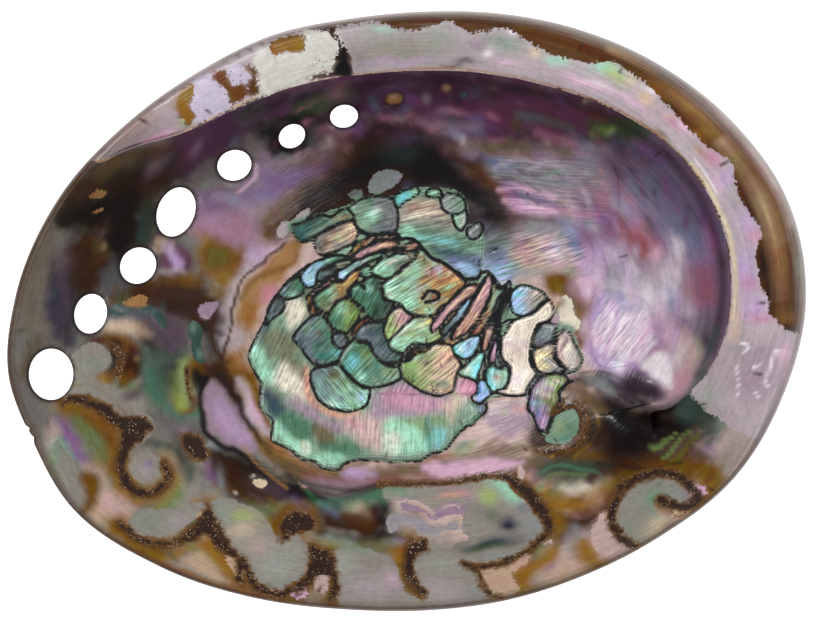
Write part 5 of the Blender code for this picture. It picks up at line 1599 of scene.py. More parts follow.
# Which way the ripples run, in degrees; how strong they are; where
RIPPLED = [
    (-4, 1.2, [(480, 150), (600, 150), (622, 200), (600, 232), (560, 220), (505, 222),
               (492, 190)]),
    (18, 1.9, [(440, 232), (505, 222), (560, 220), (592, 240), (592, 275), (540, 272),
               (500, 300), (470, 262)]),
    (52, 1.4, [(594, 300), (620, 292), (652, 306), (656, 350), (630, 366), (598, 362)]),
]
print(len(FLANK_CLOUDS) + len(BOWL_CLOUDS), "clouds")

# %% [markdown]
# ## The fine mesh
#
# The inside is laid out in rings round the deepest spot. The rings have fewer points near the
# middle, where a full ring would crowd them, so the points stay about half a millimetre apart
# everywhere. The back is plain, so it gets by with fewer.

# %%
ROUND = 640
BOWL_RINGS = ((80, 12), (160, 14), (320, 28), (640, 74))   # points in a ring, and rings
LEDGE_RINGS = 5
SHELF_RINGS = 22
BAND_RINGS = 5
BACK_RINGS = ((320, 28), (160, 8), (80, 5))
FINE = 260


def section_angles():
    """Angles whose points stand evenly along the outline."""
    dense = np.arange(0, 360, 0.25)
    radius = np.array([around(OUTLINE, angle) for angle in dense])
    x = radius * np.cos(np.radians(dense))
    y = radius * np.sin(np.radians(dense))
    steps = np.hypot(np.diff(np.append(x, x[0])), np.diff(np.append(y, y[0])))
    along = np.concatenate([[0], np.cumsum(steps)])
    return np.interp(np.arange(ROUND) * along[-1] / ROUND, along, np.append(dense, 360.0))


def lay_rings():
    """The rings from the middle of the bowl to the middle of the back, with their zones."""
    s = np.linspace(0, 1, FINE)
    bowl_total = sum(rings for _, rings in BOWL_RINGS)
    back_total = sum(rings for _, rings in BACK_RINGS)
    lines = []
    for angle in section_angles():
        at = sizes_at(angle)
        bowl = bowl_stretch(at, s)
        ledge = ledge_stretch(at, s, bowl[-1, 2])
        lines.append(np.vstack([
            evenly(bowl, bowl_total),
            evenly(ledge, LEDGE_RINGS),
            evenly(shelf_stretch(at, s, ledge[-1]), SHELF_RINGS),
            evenly(band_stretch(at, s), BAND_RINGS),
            evenly(back_stretch(at, s), back_total + 1)[:-1],
        ]))
    grid = np.stack(lines)
    counts = [n for n, rings in BOWL_RINGS for _ in range(rings)]
    counts += [ROUND] * (LEDGE_RINGS + SHELF_RINGS + BAND_RINGS)
    counts += [n for n, rings in BACK_RINGS for _ in range(rings)]
    zones = [0] * bowl_total + [1] * (LEDGE_RINGS + SHELF_RINGS + BAND_RINGS) + [2] * back_total
    return [grid[:: ROUND // count, ring] for ring, count in enumerate(counts)], zones


def join(first, n, second, m):
    """Faces between a ring of n points and the next of m, from their first points' numbers."""
    faces = []
    if n == m:
        for i in range(n):
            j = (i + 1) % n
            faces.append((first + i, second + i, second + j, first + j))
    elif m == 2 * n:
        for i in range(n):
            j = (i + 1) % n
            a, b, c = second + 2 * i, second + 2 * i + 1, second + (2 * i + 2) % m
            faces += [(first + i, a, b), (first + i, b, first + j), (first + j, b, c)]
    else:
        for i in range(m):
            j = (i + 1) % m
            a, b, c = first + 2 * i, first + 2 * i + 1, first + (2 * i + 2) % n
            faces += [(a, second + i, b), (b, second + i, second + j), (b, second + j, c)]
    return faces


rings, zones = lay_rings()
lift = DEPTH - WORN_FLAT
points = [np.array([[*CENTRE, WALL - DEPTH + float(inside_relief(*CENTRE))]])] + rings
points.append(np.array([[*CENTRE, WORN_FLAT - DEPTH]]))
firsts = np.cumsum([0] + [len(ring) for ring in points])
faces = [(0, 1 + i, 1 + (i + 1) % len(rings[0])) for i in range(len(rings[0]))]
face_zones = [0] * len(faces)
for number in range(len(rings) - 1):
    new = join(firsts[number + 1], len(rings[number]), firsts[number + 2], len(rings[number + 1]))
    faces += new
    face_zones += [zones[number + 1]] * len(new)
last, pole = firsts[-3], firsts[-2]
closing = [(last + i, pole, last + (i + 1) % len(rings[-1])) for i in range(len(rings[-1]))]
faces += closing
face_zones += [2] * len(closing)
places = np.vstack(points)
places[:, 2] += lift
point_zones = np.concatenate([[0]] + [np.full(len(r), z) for r, z in zip(rings, zones)] + [[2]])
print(len(places), "points,", len(faces), "faces")

# %% [markdown]
# ## Low relief
#
# The plates and islands stand a little proud of the nacre round them, the seams are sunk, the
# hollow wall is rippled like water, and the rims of the holes are worn round. All of this is
# moved along the surface's own direction, so it stands out from steep walls as well. The
# heights are in millimetres.

# %%
PLATE_HEIGHT = 0.2
SCAR_HEIGHT = 0.2
CRACK_SUNK = 0.2
ISLAND_HEIGHT = 0.12
NACRE_HEIGHT = 0.16
SEAM_SUNK = 0.14
RIM_WORN = 0.45
RIM_WIDTH = 1.3
CHIP_ANGLE = 198.9
CHIP_DEPTH = 0.5


def hole_distance(x, y):
    """Millimetres from the nearest breathing hole, in plan."""
    nearest = np.full(x.shape, 99.0)
    for hole_x, hole_y, half_width, half_length, turn in OPEN_HOLES:
        cosine, sine = math.cos(math.radians(turn)), math.sin(math.radians(turn))
        dx, dy = x - hole_x, y - hole_y
        u = (dx * cosine + dy * sine) / half_width
        v = (dy * cosine - dx * sine) / half_length
        around_hole = np.hypot(u, v)
        nearest = np.minimum(nearest, (around_hole - 1) * min(half_width, half_length))
    return nearest


def growth(px, py):
    """Lines of growth: millimetres along them, and across them from the middle of the bowl."""
    dx = across(px) - CENTRE[0] / MM
    dy = up(py) - CENTRE[1] / MM
    angle = np.degrees(np.arctan2(dy, dx)) % 360
    return np.radians(angle) * 45, 60 * np.hypot(dx, dy) / around(OUTLINE, angle)


def shapes(px, py, zone):
    """Distances in pixels from the edges of the plates, islands and seams, positive inside."""
    wobble_x = 1.3 * noise(px, py, 9, 1) + 0.8 * noise(px, py, 4, 2)
    wobble_y = 1.3 * noise(px, py, 9, 3) + 0.8 * noise(px, py, 4, 4)
    sheet = Sheet(px + wobble_x, py + wobble_y)
    fine = Sheet(px + 0.5 * noise(px, py, 5, 5), py + 0.5 * noise(px, py, 5, 6))
    bowl = zone == 0
    scar = np.where(bowl, fine.union([SCAR]), -FAR)
    plates, cracks_and_shadows = fine.overlaid(scar, [row[3] for row in PLATES], CRACKS_AND_SHADOWS)
    plates = np.where(bowl, plates, -FAR)
    cracks_and_shadows = np.where(bowl, cracks_and_shadows, FAR)
    under_ledge = bowl & (py < 130)
    islands = sheet.union([row[1] for row in ISLANDS + FLAKES])
    islands = np.where(under_ledge, -FAR, islands)
    nacre = sheet.union([SHELF_NACRE])
    nacre = np.minimum(nacre, -sheet.union([row[1] for row in SHELF_BARE]))
    nacre = np.where(bowl, -FAR, nacre)
    seams = np.full(px.shape, -FAR)
    for width, points in SEAMS:
        chosen, distance = sheet.off(points, 14)
        seams[chosen] = np.maximum(seams[chosen], width / 2 - distance)
    seams = np.maximum(seams, np.where(bowl, sheet.union(SEAM_POOLS), -FAR))
    specks = np.where(under_ledge, -FAR, sheet.union(SPECKLED))
    return plates, cracks_and_shadows, scar, islands, nacre, seams, specks


def ripples(px, py):
    """Height of the ripples in millimetres: waves along the growth, and streaks in the fan."""
    along, over = growth(px, py)
    wave = noise(along, over * 5.2, 2.6, 7) + 0.6 * noise(along, over * 8.0, 1.7, 8)
    area = np.exp(-(((px - 552) / 70) ** 2 + ((py - 205) / 48) ** 2) * 1.2)
    height = 0.16 * area * wave
    turned_u = (px * 0.62 - py * 0.78) * PIXEL
    turned_v = (px * 0.78 + py * 0.62) * PIXEL
    streak = noise(turned_u / 5.5, turned_v * 1.6, 1.0, 9)
    fan = np.exp(-(((px - 626) / 32) ** 2 + ((py - 334) / 34) ** 2) * 1.2)
    height = height + 0.12 * fan * streak
    scratched = noise(turned_u * 0.35, turned_v * 1.9, 1.0, 10)
    patch = np.exp(-(((px - 505) / 60) ** 2 + ((py - 252) / 24) ** 2))
    return height + 0.08 * patch * scratched


mesh = bpy.data.meshes.new("abalone_pearl")
mesh.from_pydata(places.tolist(), [], faces)
mesh.polygons.foreach_set("material_index", np.array(face_zones, np.int32))
turned = bmesh.new()
turned.from_mesh(mesh)
bmesh.ops.recalc_face_normals(turned, faces=turned.faces)
turned.to_mesh(mesh)
turned.free()
normals = np.empty(len(places) * 3)
mesh.vertex_normals.foreach_get("vector", normals)
normals = normals.reshape(-1, 3)

inner = np.nonzero(point_zones < 2)[0]
px = places[inner, 0] / MM / PIXEL + MIDDLE[0]
py = MIDDLE[1] - places[inner, 1] / MM / PIXEL
plates, cracks_and_shadows, scar, islands, nacre, seams, specks = shapes(px, py, point_zones[inner])
relief = PLATE_HEIGHT * step(-2, 6, plates) + SCAR_HEIGHT * step(-2, 2, scar)
relief -= CRACK_SUNK * (1 - step(0.5, 2.5, cracks_and_shadows))
relief += ISLAND_HEIGHT * step(-2, 2, islands)
relief += NACRE_HEIGHT * step(-2, 2, nacre) * step(430, 380, py)
relief -= SEAM_SUNK * step(-2, 1.5, seams)
rim = hole_distance(places[inner, 0] / MM, places[inner, 1] / MM)
relief -= RIM_WORN * (1 - np.clip(rim / RIM_WIDTH, 0, 1)) ** 2
relief += ripples(px, py)
relief += 0.05 * noise(px, py, 30, 12) + 0.015 * noise(px, py, 7, 13)
away = np.hypot(places[inner, 0] - CENTRE[0], places[inner, 1] - CENTRE[1])
bearing = np.degrees(np.arctan2(places[inner, 1] - CENTRE[1], places[inner, 0] - CENTRE[0])) % 360
margin = np.array(around(OUTLINE, bearing)) * MM
relief *= step(0, 0.8 * MM, margin - away)
places[inner] += normals[inner] * relief[:, None] * MM

outer = np.nonzero(np.hypot(places[:, 0], places[:, 1]) > 40 * MM)[0]
bearing = np.degrees(np.arctan2(places[outer, 1] - CENTRE[1], places[outer, 0] - CENTRE[0])) % 360
away = np.hypot(places[outer, 0] - CENTRE[0], places[outer, 1] - CENTRE[1])
margin = np.array(around(OUTLINE, bearing)) * MM
teeth = np.exp(-((bearing - CHIP_ANGLE + 0.9) / 0.35) ** 2)
teeth += np.exp(-((bearing - CHIP_ANGLE - 0.4) / 0.5) ** 2)
bite = CHIP_DEPTH * MM * np.clip(teeth, 0, 1) * step(0.94, 0.99, away / margin)
places[outer, :2] -= (places[outer, :2] - np.array(CENTRE)) / away[:, None] * bite[:, None]
mesh.vertices.foreach_set("co", places.ravel())
mesh.update()
print("relief from", round(float(relief.min()), 2), "to", round(float(relief.max()), 2), "mm")

# %% [markdown]
# ## Cutting the breathing holes
#
# The holes are cut last, as in the solid, with one cutter that joins seven upright oval bars.

# %%
HOLE_SIDES = 72

bars = bmesh.new()
for hole_x, hole_y, half_width, half_length, turn in OPEN_HOLES:
    made = bmesh.ops.create_cone(
        bars, cap_ends=True, segments=HOLE_SIDES, radius1=1.0, radius2=1.0, depth=2 * DEPTH
    )
    cosine, sine = math.cos(math.radians(turn)), math.sin(math.radians(turn))
    for vertex in made["verts"]:
        x, y = vertex.co.x * half_width, vertex.co.y * half_length
        vertex.co.x = (hole_x + x * cosine - y * sine) * MM
        vertex.co.y = (hole_y + x * sine + y * cosine) * MM
cutter_mesh = bpy.data.meshes.new("holes")
bars.to_mesh(cutter_mesh)
bars.free()
cutter = bpy.data.objects.new("holes", cutter_mesh)
bpy.context.scene.collection.objects.link(cutter)

finishes = [bpy.data.materials.new(name) for name in ("nacre", "back_polish", "hole_wall")]
nacre_finish, back_finish, wall_finish = finishes
for finish in (nacre_finish, nacre_finish, back_finish, wall_finish):
    mesh.materials.append(finish)
    cutter_mesh.materials.append(finish)
cutter_mesh.polygons.foreach_set(
    "material_index", np.full(len(cutter_mesh.polygons), 3, np.int32)
)
shell = bpy.data.objects.new("shell", mesh)
bpy.context.scene.collection.objects.link(shell)
cut = shell.modifiers.new("holes", "BOOLEAN")
cut.operation = "DIFFERENCE"
cut.solver = "EXACT"
cut.object = cutter
bpy.context.view_layer.update()
whole = bpy.data.meshes.new_from_object(
    shell.evaluated_get(bpy.context.evaluated_depsgraph_get())
)
shell.modifiers.clear()
shell.data = whole
bpy.data.objects.remove(cutter)
whole.shade_smooth()
whole.set_sharp_from_angle(angle=math.radians(50))
triangles = sum(len(face.vertices) - 2 for face in whole.polygons)
print("with the holes:", len(whole.vertices), "points,", triangles, "triangles")

# %% [markdown]
# ## Painting the points
#
# Two coats are painted: the ground, and the nacre that lies on it. A distance from the edge of
# the nacre is stored with them, so the material can draw a sharp ragged edge between the two
# coats, much finer than the points. Further numbers say how dark seams, specks and ripples are.

# %%
count = len(whole.vertices)
spots = np.empty(count * 3)
whole.vertices.foreach_get("co", spots)
spots = spots.reshape(-1, 3)
material_of = np.empty(len(whole.polygons), np.int32)
whole.polygons.foreach_get("material_index", material_of)
corner_point = np.empty(len(whole.loops), np.int32)
whole.loops.foreach_get("vertex_index", corner_point)
sizes = np.empty(len(whole.polygons), np.int32)
whole.polygons.foreach_get("loop_total", sizes)
corner_zone = np.repeat(material_of, sizes)
zone = np.full(count, 2)
for number in (0, 1):
    zone[corner_point[corner_zone == number]] = number

px = spots[:, 0] / MM / PIXEL + MIDDLE[0]
py = MIDDLE[1] - spots[:, 1] / MM / PIXEL
under = np.tile(TINTS["blush"], (count, 1))
over = np.tile(TINTS["silver"], (count, 1))
cover = np.full(count, -FAR)
plate = np.full(count, -FAR)
crack_and_shadow = np.full(count, FAR)
mark = np.full(count, -FAR)
seam = np.full(count, -FAR)
speck = np.full(count, -FAR)
lustre = np.full(count, 0.35)
grain = np.zeros((count, 3))
RIPPLE_LOOP = 6.3           # a third of the ripples' number round the shell
RIPPLES = 2.2               # ripples to a millimetre, across the growth
STRIPES = 2.3               # stripes to a millimetre on a plate
STRIPE_RUN = 0.22           # their length is the inverse of this, in millimetres


def slanted(x, y, turn, number):
    """Ripple coordinates for stripes that rise to the right by turn degrees."""
    cosine, sine = math.cos(math.radians(turn)), math.sin(math.radians(turn))
    u, v = x * cosine - y * sine, x * sine + y * cosine
    return np.column_stack([
        STRIPE_RUN * u * PIXEL, STRIPES * v * PIXEL, np.full(len(x), 7.0 + 3 * number)
    ])


ROUND_BINS = 720
from_centre = np.hypot(px - 425, py - 300) * PIXEL
bins = ((np.arctan2(py - 300, px - 425) / math.tau + 0.5) * ROUND_BINS).astype(int) % ROUND_BINS
widest = np.zeros(ROUND_BINS)
np.maximum.at(widest, bins, from_centre)
margin_gap = widest[bins] - from_centre    # millimetres in from the outline


def coat_points(chosen, in_bowl):
    """Paint the points of one zone."""
    drift_x = 3.0 * noise(px[chosen], py[chosen], 22, 20) + 1.5 * noise(px[chosen], py[chosen], 8, 21)
    drift_y = 3.0 * noise(px[chosen], py[chosen], 22, 22) + 1.5 * noise(px[chosen], py[chosen], 8, 23)
    sheet = Sheet(px[chosen] + drift_x, py[chosen] + drift_y)
    near = Sheet(px[chosen], py[chosen])
    ground = np.tile(TINTS["blush"], (len(chosen), 1))
    top = np.tile(TINTS["silver"], (len(chosen), 1))
    shine = 0.16 + 0.2 * step(420, 560, px[chosen]) * step(420, 380, py[chosen])
    turn, over_growth = growth(px[chosen], py[chosen])
    direction = np.column_stack([
        RIPPLE_LOOP * np.cos(turn / 45), RIPPLE_LOOP * np.sin(turn / 45), RIPPLES * over_growth
    ])
    glow_layers(sheet, ground)
    if in_bowl:
        for tint, blur, strength, points in BOWL_PATCHES:
            sheet.patch(ground, tint, points, blur, strength)
        for row in BOWL_CLOUDS:
            sheet.cloud(ground, *row)
        dapple(sheet, ground, BOWL_DAPPLES)
        for tint, blur, strength, points in BOWL_SHADES:
            sheet.patch(ground, tint, points, blur, strength)
        near.patch(ground, "white", HIGHLIGHT, 2.5, 0.95)
        for x0, y0, x1, y1 in STREAKS:
            near.stroke(ground, "white", [(x0, y0), ((x0 + x1) / 2, (y0 + y1) / 2 - 1), (x1, y1)],
                        3.2, 1.6, 0.7)
        for tint, width, blur, strength, points in BOWL_STROKES:
            near.stroke(ground, tint, points, width + 0.8, blur + 0.8, 0.75 * strength)
        for turn, strength, points in RIPPLED:
            chosen_here, depth = near.inside(points, 12)
            shine[chosen_here] = mix(shine[chosen_here], strength, step(0, 18, depth))
            held = chosen_here[depth > 0]
            direction[held] = slanted(near.x[held], near.y[held], turn, 2.0)
            shine[chosen_here] *= 1 - 0.9 * np.exp(-(depth / 6) ** 2)
        chosen_here, depth = near.inside(SCAR, 20)
        shine[chosen_here] = np.maximum(shine[chosen_here], step(-14, 4, depth))
    paint_shelf(near, sheet, ground, top, in_bowl)
    for tint, points in ISLANDS + FLAKES:
        chosen_here, depth = near.inside(points, 8)
        share = step(-6, -3, depth)[:, None]
        top[chosen_here] = mix(top[chosen_here], TINTS[tint], share)
        shine[chosen_here] = mix(shine[chosen_here], 0.2, step(-4, 0, depth))
    island_details(sheet, near, top)
    if in_bowl:
        paint_plates(near, top, shine, direction)
    # The last two millimetres in from the outline are painted darker towards bark brown, as the
    # margin's dark edge and as painted shade where the rim turns down and away.
    rim_edge_and_shade = 0.85 * (1 - step(0.3, 2.0, margin_gap[chosen]))[:, None]
    ground[:] = mix(ground, TINTS["bark"], rim_edge_and_shade)
    top[:] = mix(top, TINTS["bark"], rim_edge_and_shade)
    hollow = hole_distance(spots[chosen, 0] / MM, spots[chosen, 1] / MM)
    shade = (0.9 * (1 - step(0.1, 0.7, hollow)))[:, None]
    ground[:] = mix(ground, TINTS["ink"], shade)
    top[:] = mix(top, TINTS["ink"], shade)
    fields = shapes(px[chosen], py[chosen], zone[chosen])
    return ground, top, shine, direction, fields


def paint_shelf(near, sheet, ground, top, in_bowl):
    """The shelf's brown ground and its nacre, which is silver, lilac, pink and green."""
    if in_bowl:
        return
    band = step(-6, 4, sheet.union([[
        (205, 60), (250, 40), (330, 18), (430, 6), (560, 14), (660, 60), (740, 140), (790, 220),
        (815, 300), (806, 336), (783, 336), (740, 330), (690, 300), (640, 160), (520, 70),
        (400, 60), (330, 60), (300, 50), (240, 60),
    ]]))[:, None]
    ground[:] = mix(ground, TINTS["brown"], band)
    for row in SHELF_GROUND_CLOUDS:
        sheet.cloud(ground, *row)
    for tint, width, blur, strength, points in SHELF_GROUND_STROKES:
        near.stroke(ground, tint, points, width, blur, strength)
    for tint, points in SHELF_BARE:
        near.patch(ground, tint, points, 2, 1.0)
    top_share = step(-10, -5, near.union([SHELF_NACRE]))[:, None]
    top[:] = mix(top, TINTS["pearl"], top_share)
    for row in SHELF_CLOUDS:
        sheet.cloud(top, *row)
    for tint, width, blur, strength, points in SHELF_STROKES:
        near.stroke(top, tint, points, width, blur, strength)


SHELF_GROUND_CLOUDS = [
    ("umber", 280, 38, 30, 5, 15, 0.6), ("rust", 330, 22, 30, 4, 8, 0.6),
    ("olive", 590, 36, 30, 6, -22, 0.6), ("rust", 572, 42, 22, 6, -15, 0.5),
    ("umber", 470, 20, 20, 6, 0, 0.6), ("umber", 500, 24, 14, 6, 0, 0.7),
    ("amber", 650, 92, 12, 7, -35, 0.5), ("umber", 672, 106, 12, 8, -40, 0.6),
    ("amber", 698, 136, 10, 5, 0, 0.8), ("olive", 730, 160, 12, 20, 40, 0.6),
    ("umber", 748, 200, 9, 26, 20, 0.8), ("umber", 757, 228, 6, 12, 0, 0.8),
    ("black", 762, 262, 8, 20, 0, 0.9), ("black", 770, 290, 9, 22, 12, 0.9),
    ("umber", 776, 310, 9, 14, 10, 0.9), ("umber", 768, 240, 10, 18, 0, 0.6),
    ("amber", 772, 210, 8, 40, 20, 0.5), ("black", 790, 330, 8, 4, 0, 0.8),
    # painted highlight: the teal and cyan spot where the brown band ends
    ("teal", 783, 332, 7, 3, 0, 0.8), ("cyan", 785, 334, 6, 2.5, 0, 0.9),
    ("pearl", 806, 300, 4, 60, 0, 0.8), ("sage", 803, 270, 3, 40, 8, 0.6),
    ("rust", 797, 315, 5, 14, 0, 0.7),
]
SHELF_GROUND_STROKES = [
    ("pearl", 5, 2, 0.7, [(92, 150), (130, 112), (180, 78), (230, 52), (300, 28), (350, 16)]),
    ("mauve", 4, 2, 0.6, [(100, 136), (150, 92), (210, 60)]),
    ("tan", 4, 2, 0.8, [(300, 26), (360, 16), (430, 11), (500, 14), (560, 22), (610, 38)]),
    # painted highlight: the tan, ash and sand streaks along the middle of the brown band
    ("tan", 6, 3, 0.7, [(610, 48), (660, 80), (700, 120), (740, 170), (770, 230), (784, 290),
                        (786, 320)]),
    ("ash", 3.5, 3, 0.5, [(500, 12), (560, 20), (610, 36), (660, 66), (710, 114), (756, 180),
                          (784, 240)]),
    ("umber", 3, 2.5, 0.5, [(600, 56), (640, 74), (690, 118), (740, 186), (764, 240)]),
    ("umber", 3, 2.5, 0.5, [(660, 74), (720, 132), (760, 190), (784, 250), (792, 310)]),
    ("rust", 5, 4, 0.4, [(660, 58), (736, 140), (774, 200), (796, 270), (798, 310)]),
    ("sand", 2, 2.5, 0.5, [(720, 140), (760, 200), (778, 250), (784, 300)]),
    ("umber", 2.5, 1.2, 0.6, [(300, 34), (360, 22), (420, 17), (452, 17)]),
]
SHELF_CLOUDS = [
    ("mauve", 140, 128, 40, 10, 38, 0.6), ("pink", 165, 133, 18, 5, 28, 0.6),
    ("pearl", 120, 150, 24, 8, 35, 0.7), ("lime", 186, 122, 7, 6, 0, 0.7),
    ("amber", 180, 104, 9, 12, 20, 0.7), ("white", 205, 108, 12, 6, 15, 0.5),
    ("lilac", 214, 96, 14, 10, 0, 0.6), ("fog", 280, 70, 26, 12, 10, 0.8),
    ("white", 268, 78, 18, 9, 10, 0.5), ("lilac", 322, 70, 12, 9, 0, 0.9),
    ("white", 318, 42, 12, 8, 0, 0.7), ("lime", 284, 74, 10, 4, 10, 0.3),
    ("stone", 400, 50, 70, 22, 0, 1.0), ("ash", 360, 60, 12, 20, 0, 0.5),
    ("sand", 130, 128, 50, 16, 38, 0.45), ("silver", 380, 34, 24, 8, 0, 0.6),
    ("mint", 384, 30, 14, 3, -10, 0.6), ("violet", 402, 30, 10, 2, -10, 0.4),
    ("lilac", 400, 62, 40, 5, 3, 0.5), ("sage", 440, 36, 20, 14, 0, 0.4),
    ("mauve", 478, 46, 9, 8, 0, 0.6), ("sage", 505, 44, 24, 10, -8, 0.7),
    ("ink", 464, 62, 14, 4, -4, 0.7), ("umber", 450, 66, 14, 2.5, 0, 0.7),
    ("white", 489, 54, 6, 4, 20, 0.9), ("white", 510, 32, 6, 3, -20, 0.9),
    ("cream", 534, 53, 7, 8, 0, 0.9), ("pink", 506, 62, 14, 3, -5, 0.7),
    ("mint", 550, 60, 8, 5, 0, 0.8), ("mint", 560, 58, 12, 5, -20, 0.7),
    ("mint", 604, 68, 18, 7, -8, 0.9), ("lime", 614, 76, 14, 7, -30, 0.6),
    ("cream", 630, 80, 8, 7, -40, 0.7), ("pink", 586, 82, 34, 5, -22, 0.8),
    ("white", 598, 84, 20, 3, -22, 0.6), ("pink", 632, 104, 22, 5, -38, 0.7),
    ("peach", 644, 100, 10, 8, -40, 0.7), ("white", 648, 90, 8, 5, -30, 0.6),
    ("rose", 668, 122, 18, 5, -42, 0.7), ("pink", 684, 128, 9, 8, -45, 0.8),
    ("cream", 664, 116, 8, 4, -40, 0.5), ("rose", 712, 156, 14, 10, -50, 0.7),
    ("tan", 700, 150, 10, 5, -45, 0.5), ("tan", 650, 130, 22, 3.5, -38, 0.6),
    ("olive", 658, 134, 14, 3, -38, 0.6), ("lilac", 728, 180, 14, 10, -50, 0.8),
    ("mauve", 738, 200, 9, 14, 20, 0.6), ("pink", 718, 184, 5, 12, 30, 0.6),
    ("lilac", 748, 226, 10, 20, 15, 0.8), ("silver", 736, 196, 6, 16, 25, 0.5),
    ("rose", 752, 238, 10, 8, 0, 0.6), ("lilac", 744, 270, 12, 26, 0, 0.95),
    ("rose", 748, 282, 12, 10, 0, 0.5), ("lilac", 752, 308, 18, 16, 0, 0.9),
    ("rose", 760, 318, 18, 7, 0, 0.6), ("peach", 734, 330, 6, 30, 0, 0.5),
    ("mauve", 760, 352, 30, 14, 0, 0.6), ("pink", 786, 354, 8, 12, 0, 0.8),
    ("mauve", 750, 380, 30, 24, 0, 0.7), ("pink", 790, 376, 5, 26, -18, 0.6),
    ("sage", 706, 400, 10, 18, -20, 0.5), ("fog", 735, 350, 12, 9, 0, 0.6),
]
SHELF_STROKES = [
    ("peach", 3.5, 1.5, 0.9, [(98, 162), (131, 155), (183, 134), (235, 108), (288, 89), (340, 79)]),
    ("pink", 2.5, 1, 0.7, [(142, 143), (160, 136), (176, 130)]),
    ("tan", 2.5, 1.2, 0.8, [(340, 77), (408, 70), (453, 69), (506, 76), (559, 88), (612, 108),
                            (652, 132), (686, 162), (704, 186)]),
    ("cream", 4, 1.5, 0.95, [(690, 164), (704, 180), (714, 200), (726, 228), (733, 258),
                             (735, 290), (732, 318)]),
    ("white", 2, 1, 0.7, [(694, 160), (706, 176), (716, 194)]),
    ("umber", 1.6, 0.8, 0.9, [(653, 136), (686, 164), (709, 200), (723, 235), (729, 265),
                              (729, 305), (724, 337)]),
    ("white", 2.5, 0.8, 0.9, [(741, 343), (748, 346), (744, 352)]),
    ("white", 2.5, 0.8, 0.8, [(773, 350), (771, 360), (768, 370), (766, 378)]),
    ("white", 2.5, 0.8, 0.8, [(752, 368), (758, 365)]),
    ("white", 3, 0.8, 0.8, [(763, 380), (766, 386)]),
    ("white", 2.5, 0.8, 0.7, [(755, 392), (757, 396)]),
    ("white", 2, 0.8, 0.7, [(736, 366), (738, 384), (737, 396)]),
    ("pink", 3, 1, 0.8, [(786, 392), (792, 380), (798, 366), (801, 350)]),
]
ISLAND_CLOUDS = [
    ("sage", 652, 500, 14, 16, -40, 0.6), ("green", 655, 497, 7, 8, 0, 0.45),
    ("mist", 680, 494, 14, 8, -10, 0.7), ("mauve", 691, 496, 5, 8, 0, 0.7),
    ("cream", 660, 526, 22, 10, 28, 0.8), ("sage", 628, 530, 12, 16, 20, 0.4),
    ("grey", 645, 482, 12, 5, 0, 0.4), ("navy", 661, 487, 3, 2, 30, 0.8),
    ("silver", 440, 566, 30, 8, 0, 0.5), ("pearl", 440, 590, 32, 14, 0, 0.8),
    ("mist", 478, 590, 12, 8, 0, 0.5),
    ("mauve", 472, 498, 18, 10, -10, 0.7), ("salmon", 462, 496, 14, 5, 0, 0.5),
    ("lime", 488, 500, 12, 12, 20, 0.6), ("mint", 504, 488, 16, 8, -30, 0.9),
    ("mint", 516, 494, 10, 10, -40, 0.8), ("slate", 524, 508, 12, 8, 0, 0.5),
    ("mist", 534, 526, 12, 14, 0, 0.8), ("moss", 492, 518, 10, 8, 0, 0.5),
    ("navy", 508, 527, 12, 9, -10, 0.9), ("black", 506, 529, 6, 4, 0, 0.7),
    ("navy", 490, 545, 36, 6, 8, 0.95), ("moss", 484, 548, 26, 4, 4, 0.8),
    ("mist", 500, 558, 34, 4, 10, 0.9), ("mauve", 452, 490, 16, 4, 0, 0.4),
    ("sage", 400, 494, 16, 5, 0, 0.7), ("salmon", 448, 498, 14, 4, 8, 0.5),
    ("green", 392, 490, 14, 4, 0, 0.5), ("grey", 480, 512, 10, 8, 0, 0.4),
    ("lime", 240, 516, 20, 7, -10, 0.5), ("cream", 240, 530, 16, 10, 0, 0.7),
    ("silver", 276, 566, 26, 18, 0, 0.8), ("mist", 288, 586, 9, 6, 0, 0.5),
    ("mist", 222, 514, 12, 12, 0, 0.6), ("blush", 258, 546, 16, 12, 0, 0.5),
    ("pearl", 370, 590, 34, 16, 0, 0.8), ("silver", 344, 566, 14, 14, 0, 0.7),
    ("sage", 360, 552, 20, 5, 0, 0.5), ("pink", 394, 580, 10, 10, 0, 0.5),
    ("grey", 120, 418, 12, 5, -30, 0.5), ("mist", 130, 440, 6, 10, 0, 0.5),
    ("violet", 146, 464, 5, 4, 0, 0.7), ("pearl", 142, 470, 8, 8, 0, 0.5),
    ("sage", 58, 452, 8, 12, 0, 0.7), ("sage", 92, 362, 14, 8, 0, 0.4),
    ("reed", 562, 426, 8, 9, 0, 0.6), ("jade", 572, 430, 12, 14, 0, 0.7),
    ("teal", 562, 440, 12, 4, 0, 0.5),
    ("sage", 150, 518, 20, 10, 0, 0.4), ("pearl", 178, 522, 16, 9, 0, 0.5),
    ("mist", 378, 182, 9, 7, 0, 0.5), ("lilac", 398, 176, 3, 5, 0, 0.7),
    ("sage", 190, 328, 4, 8, 0, 0.7), ("sage", 198, 356, 4, 5, 0, 0.7),
    ("mist", 118, 307, 12, 4, -10, 0.6), ("steel", 150, 309, 12, 4, 20, 0.6),
]


def island_details(sheet, near, top):
    for row in ISLAND_CLOUDS:
        sheet.cloud(top, *row)


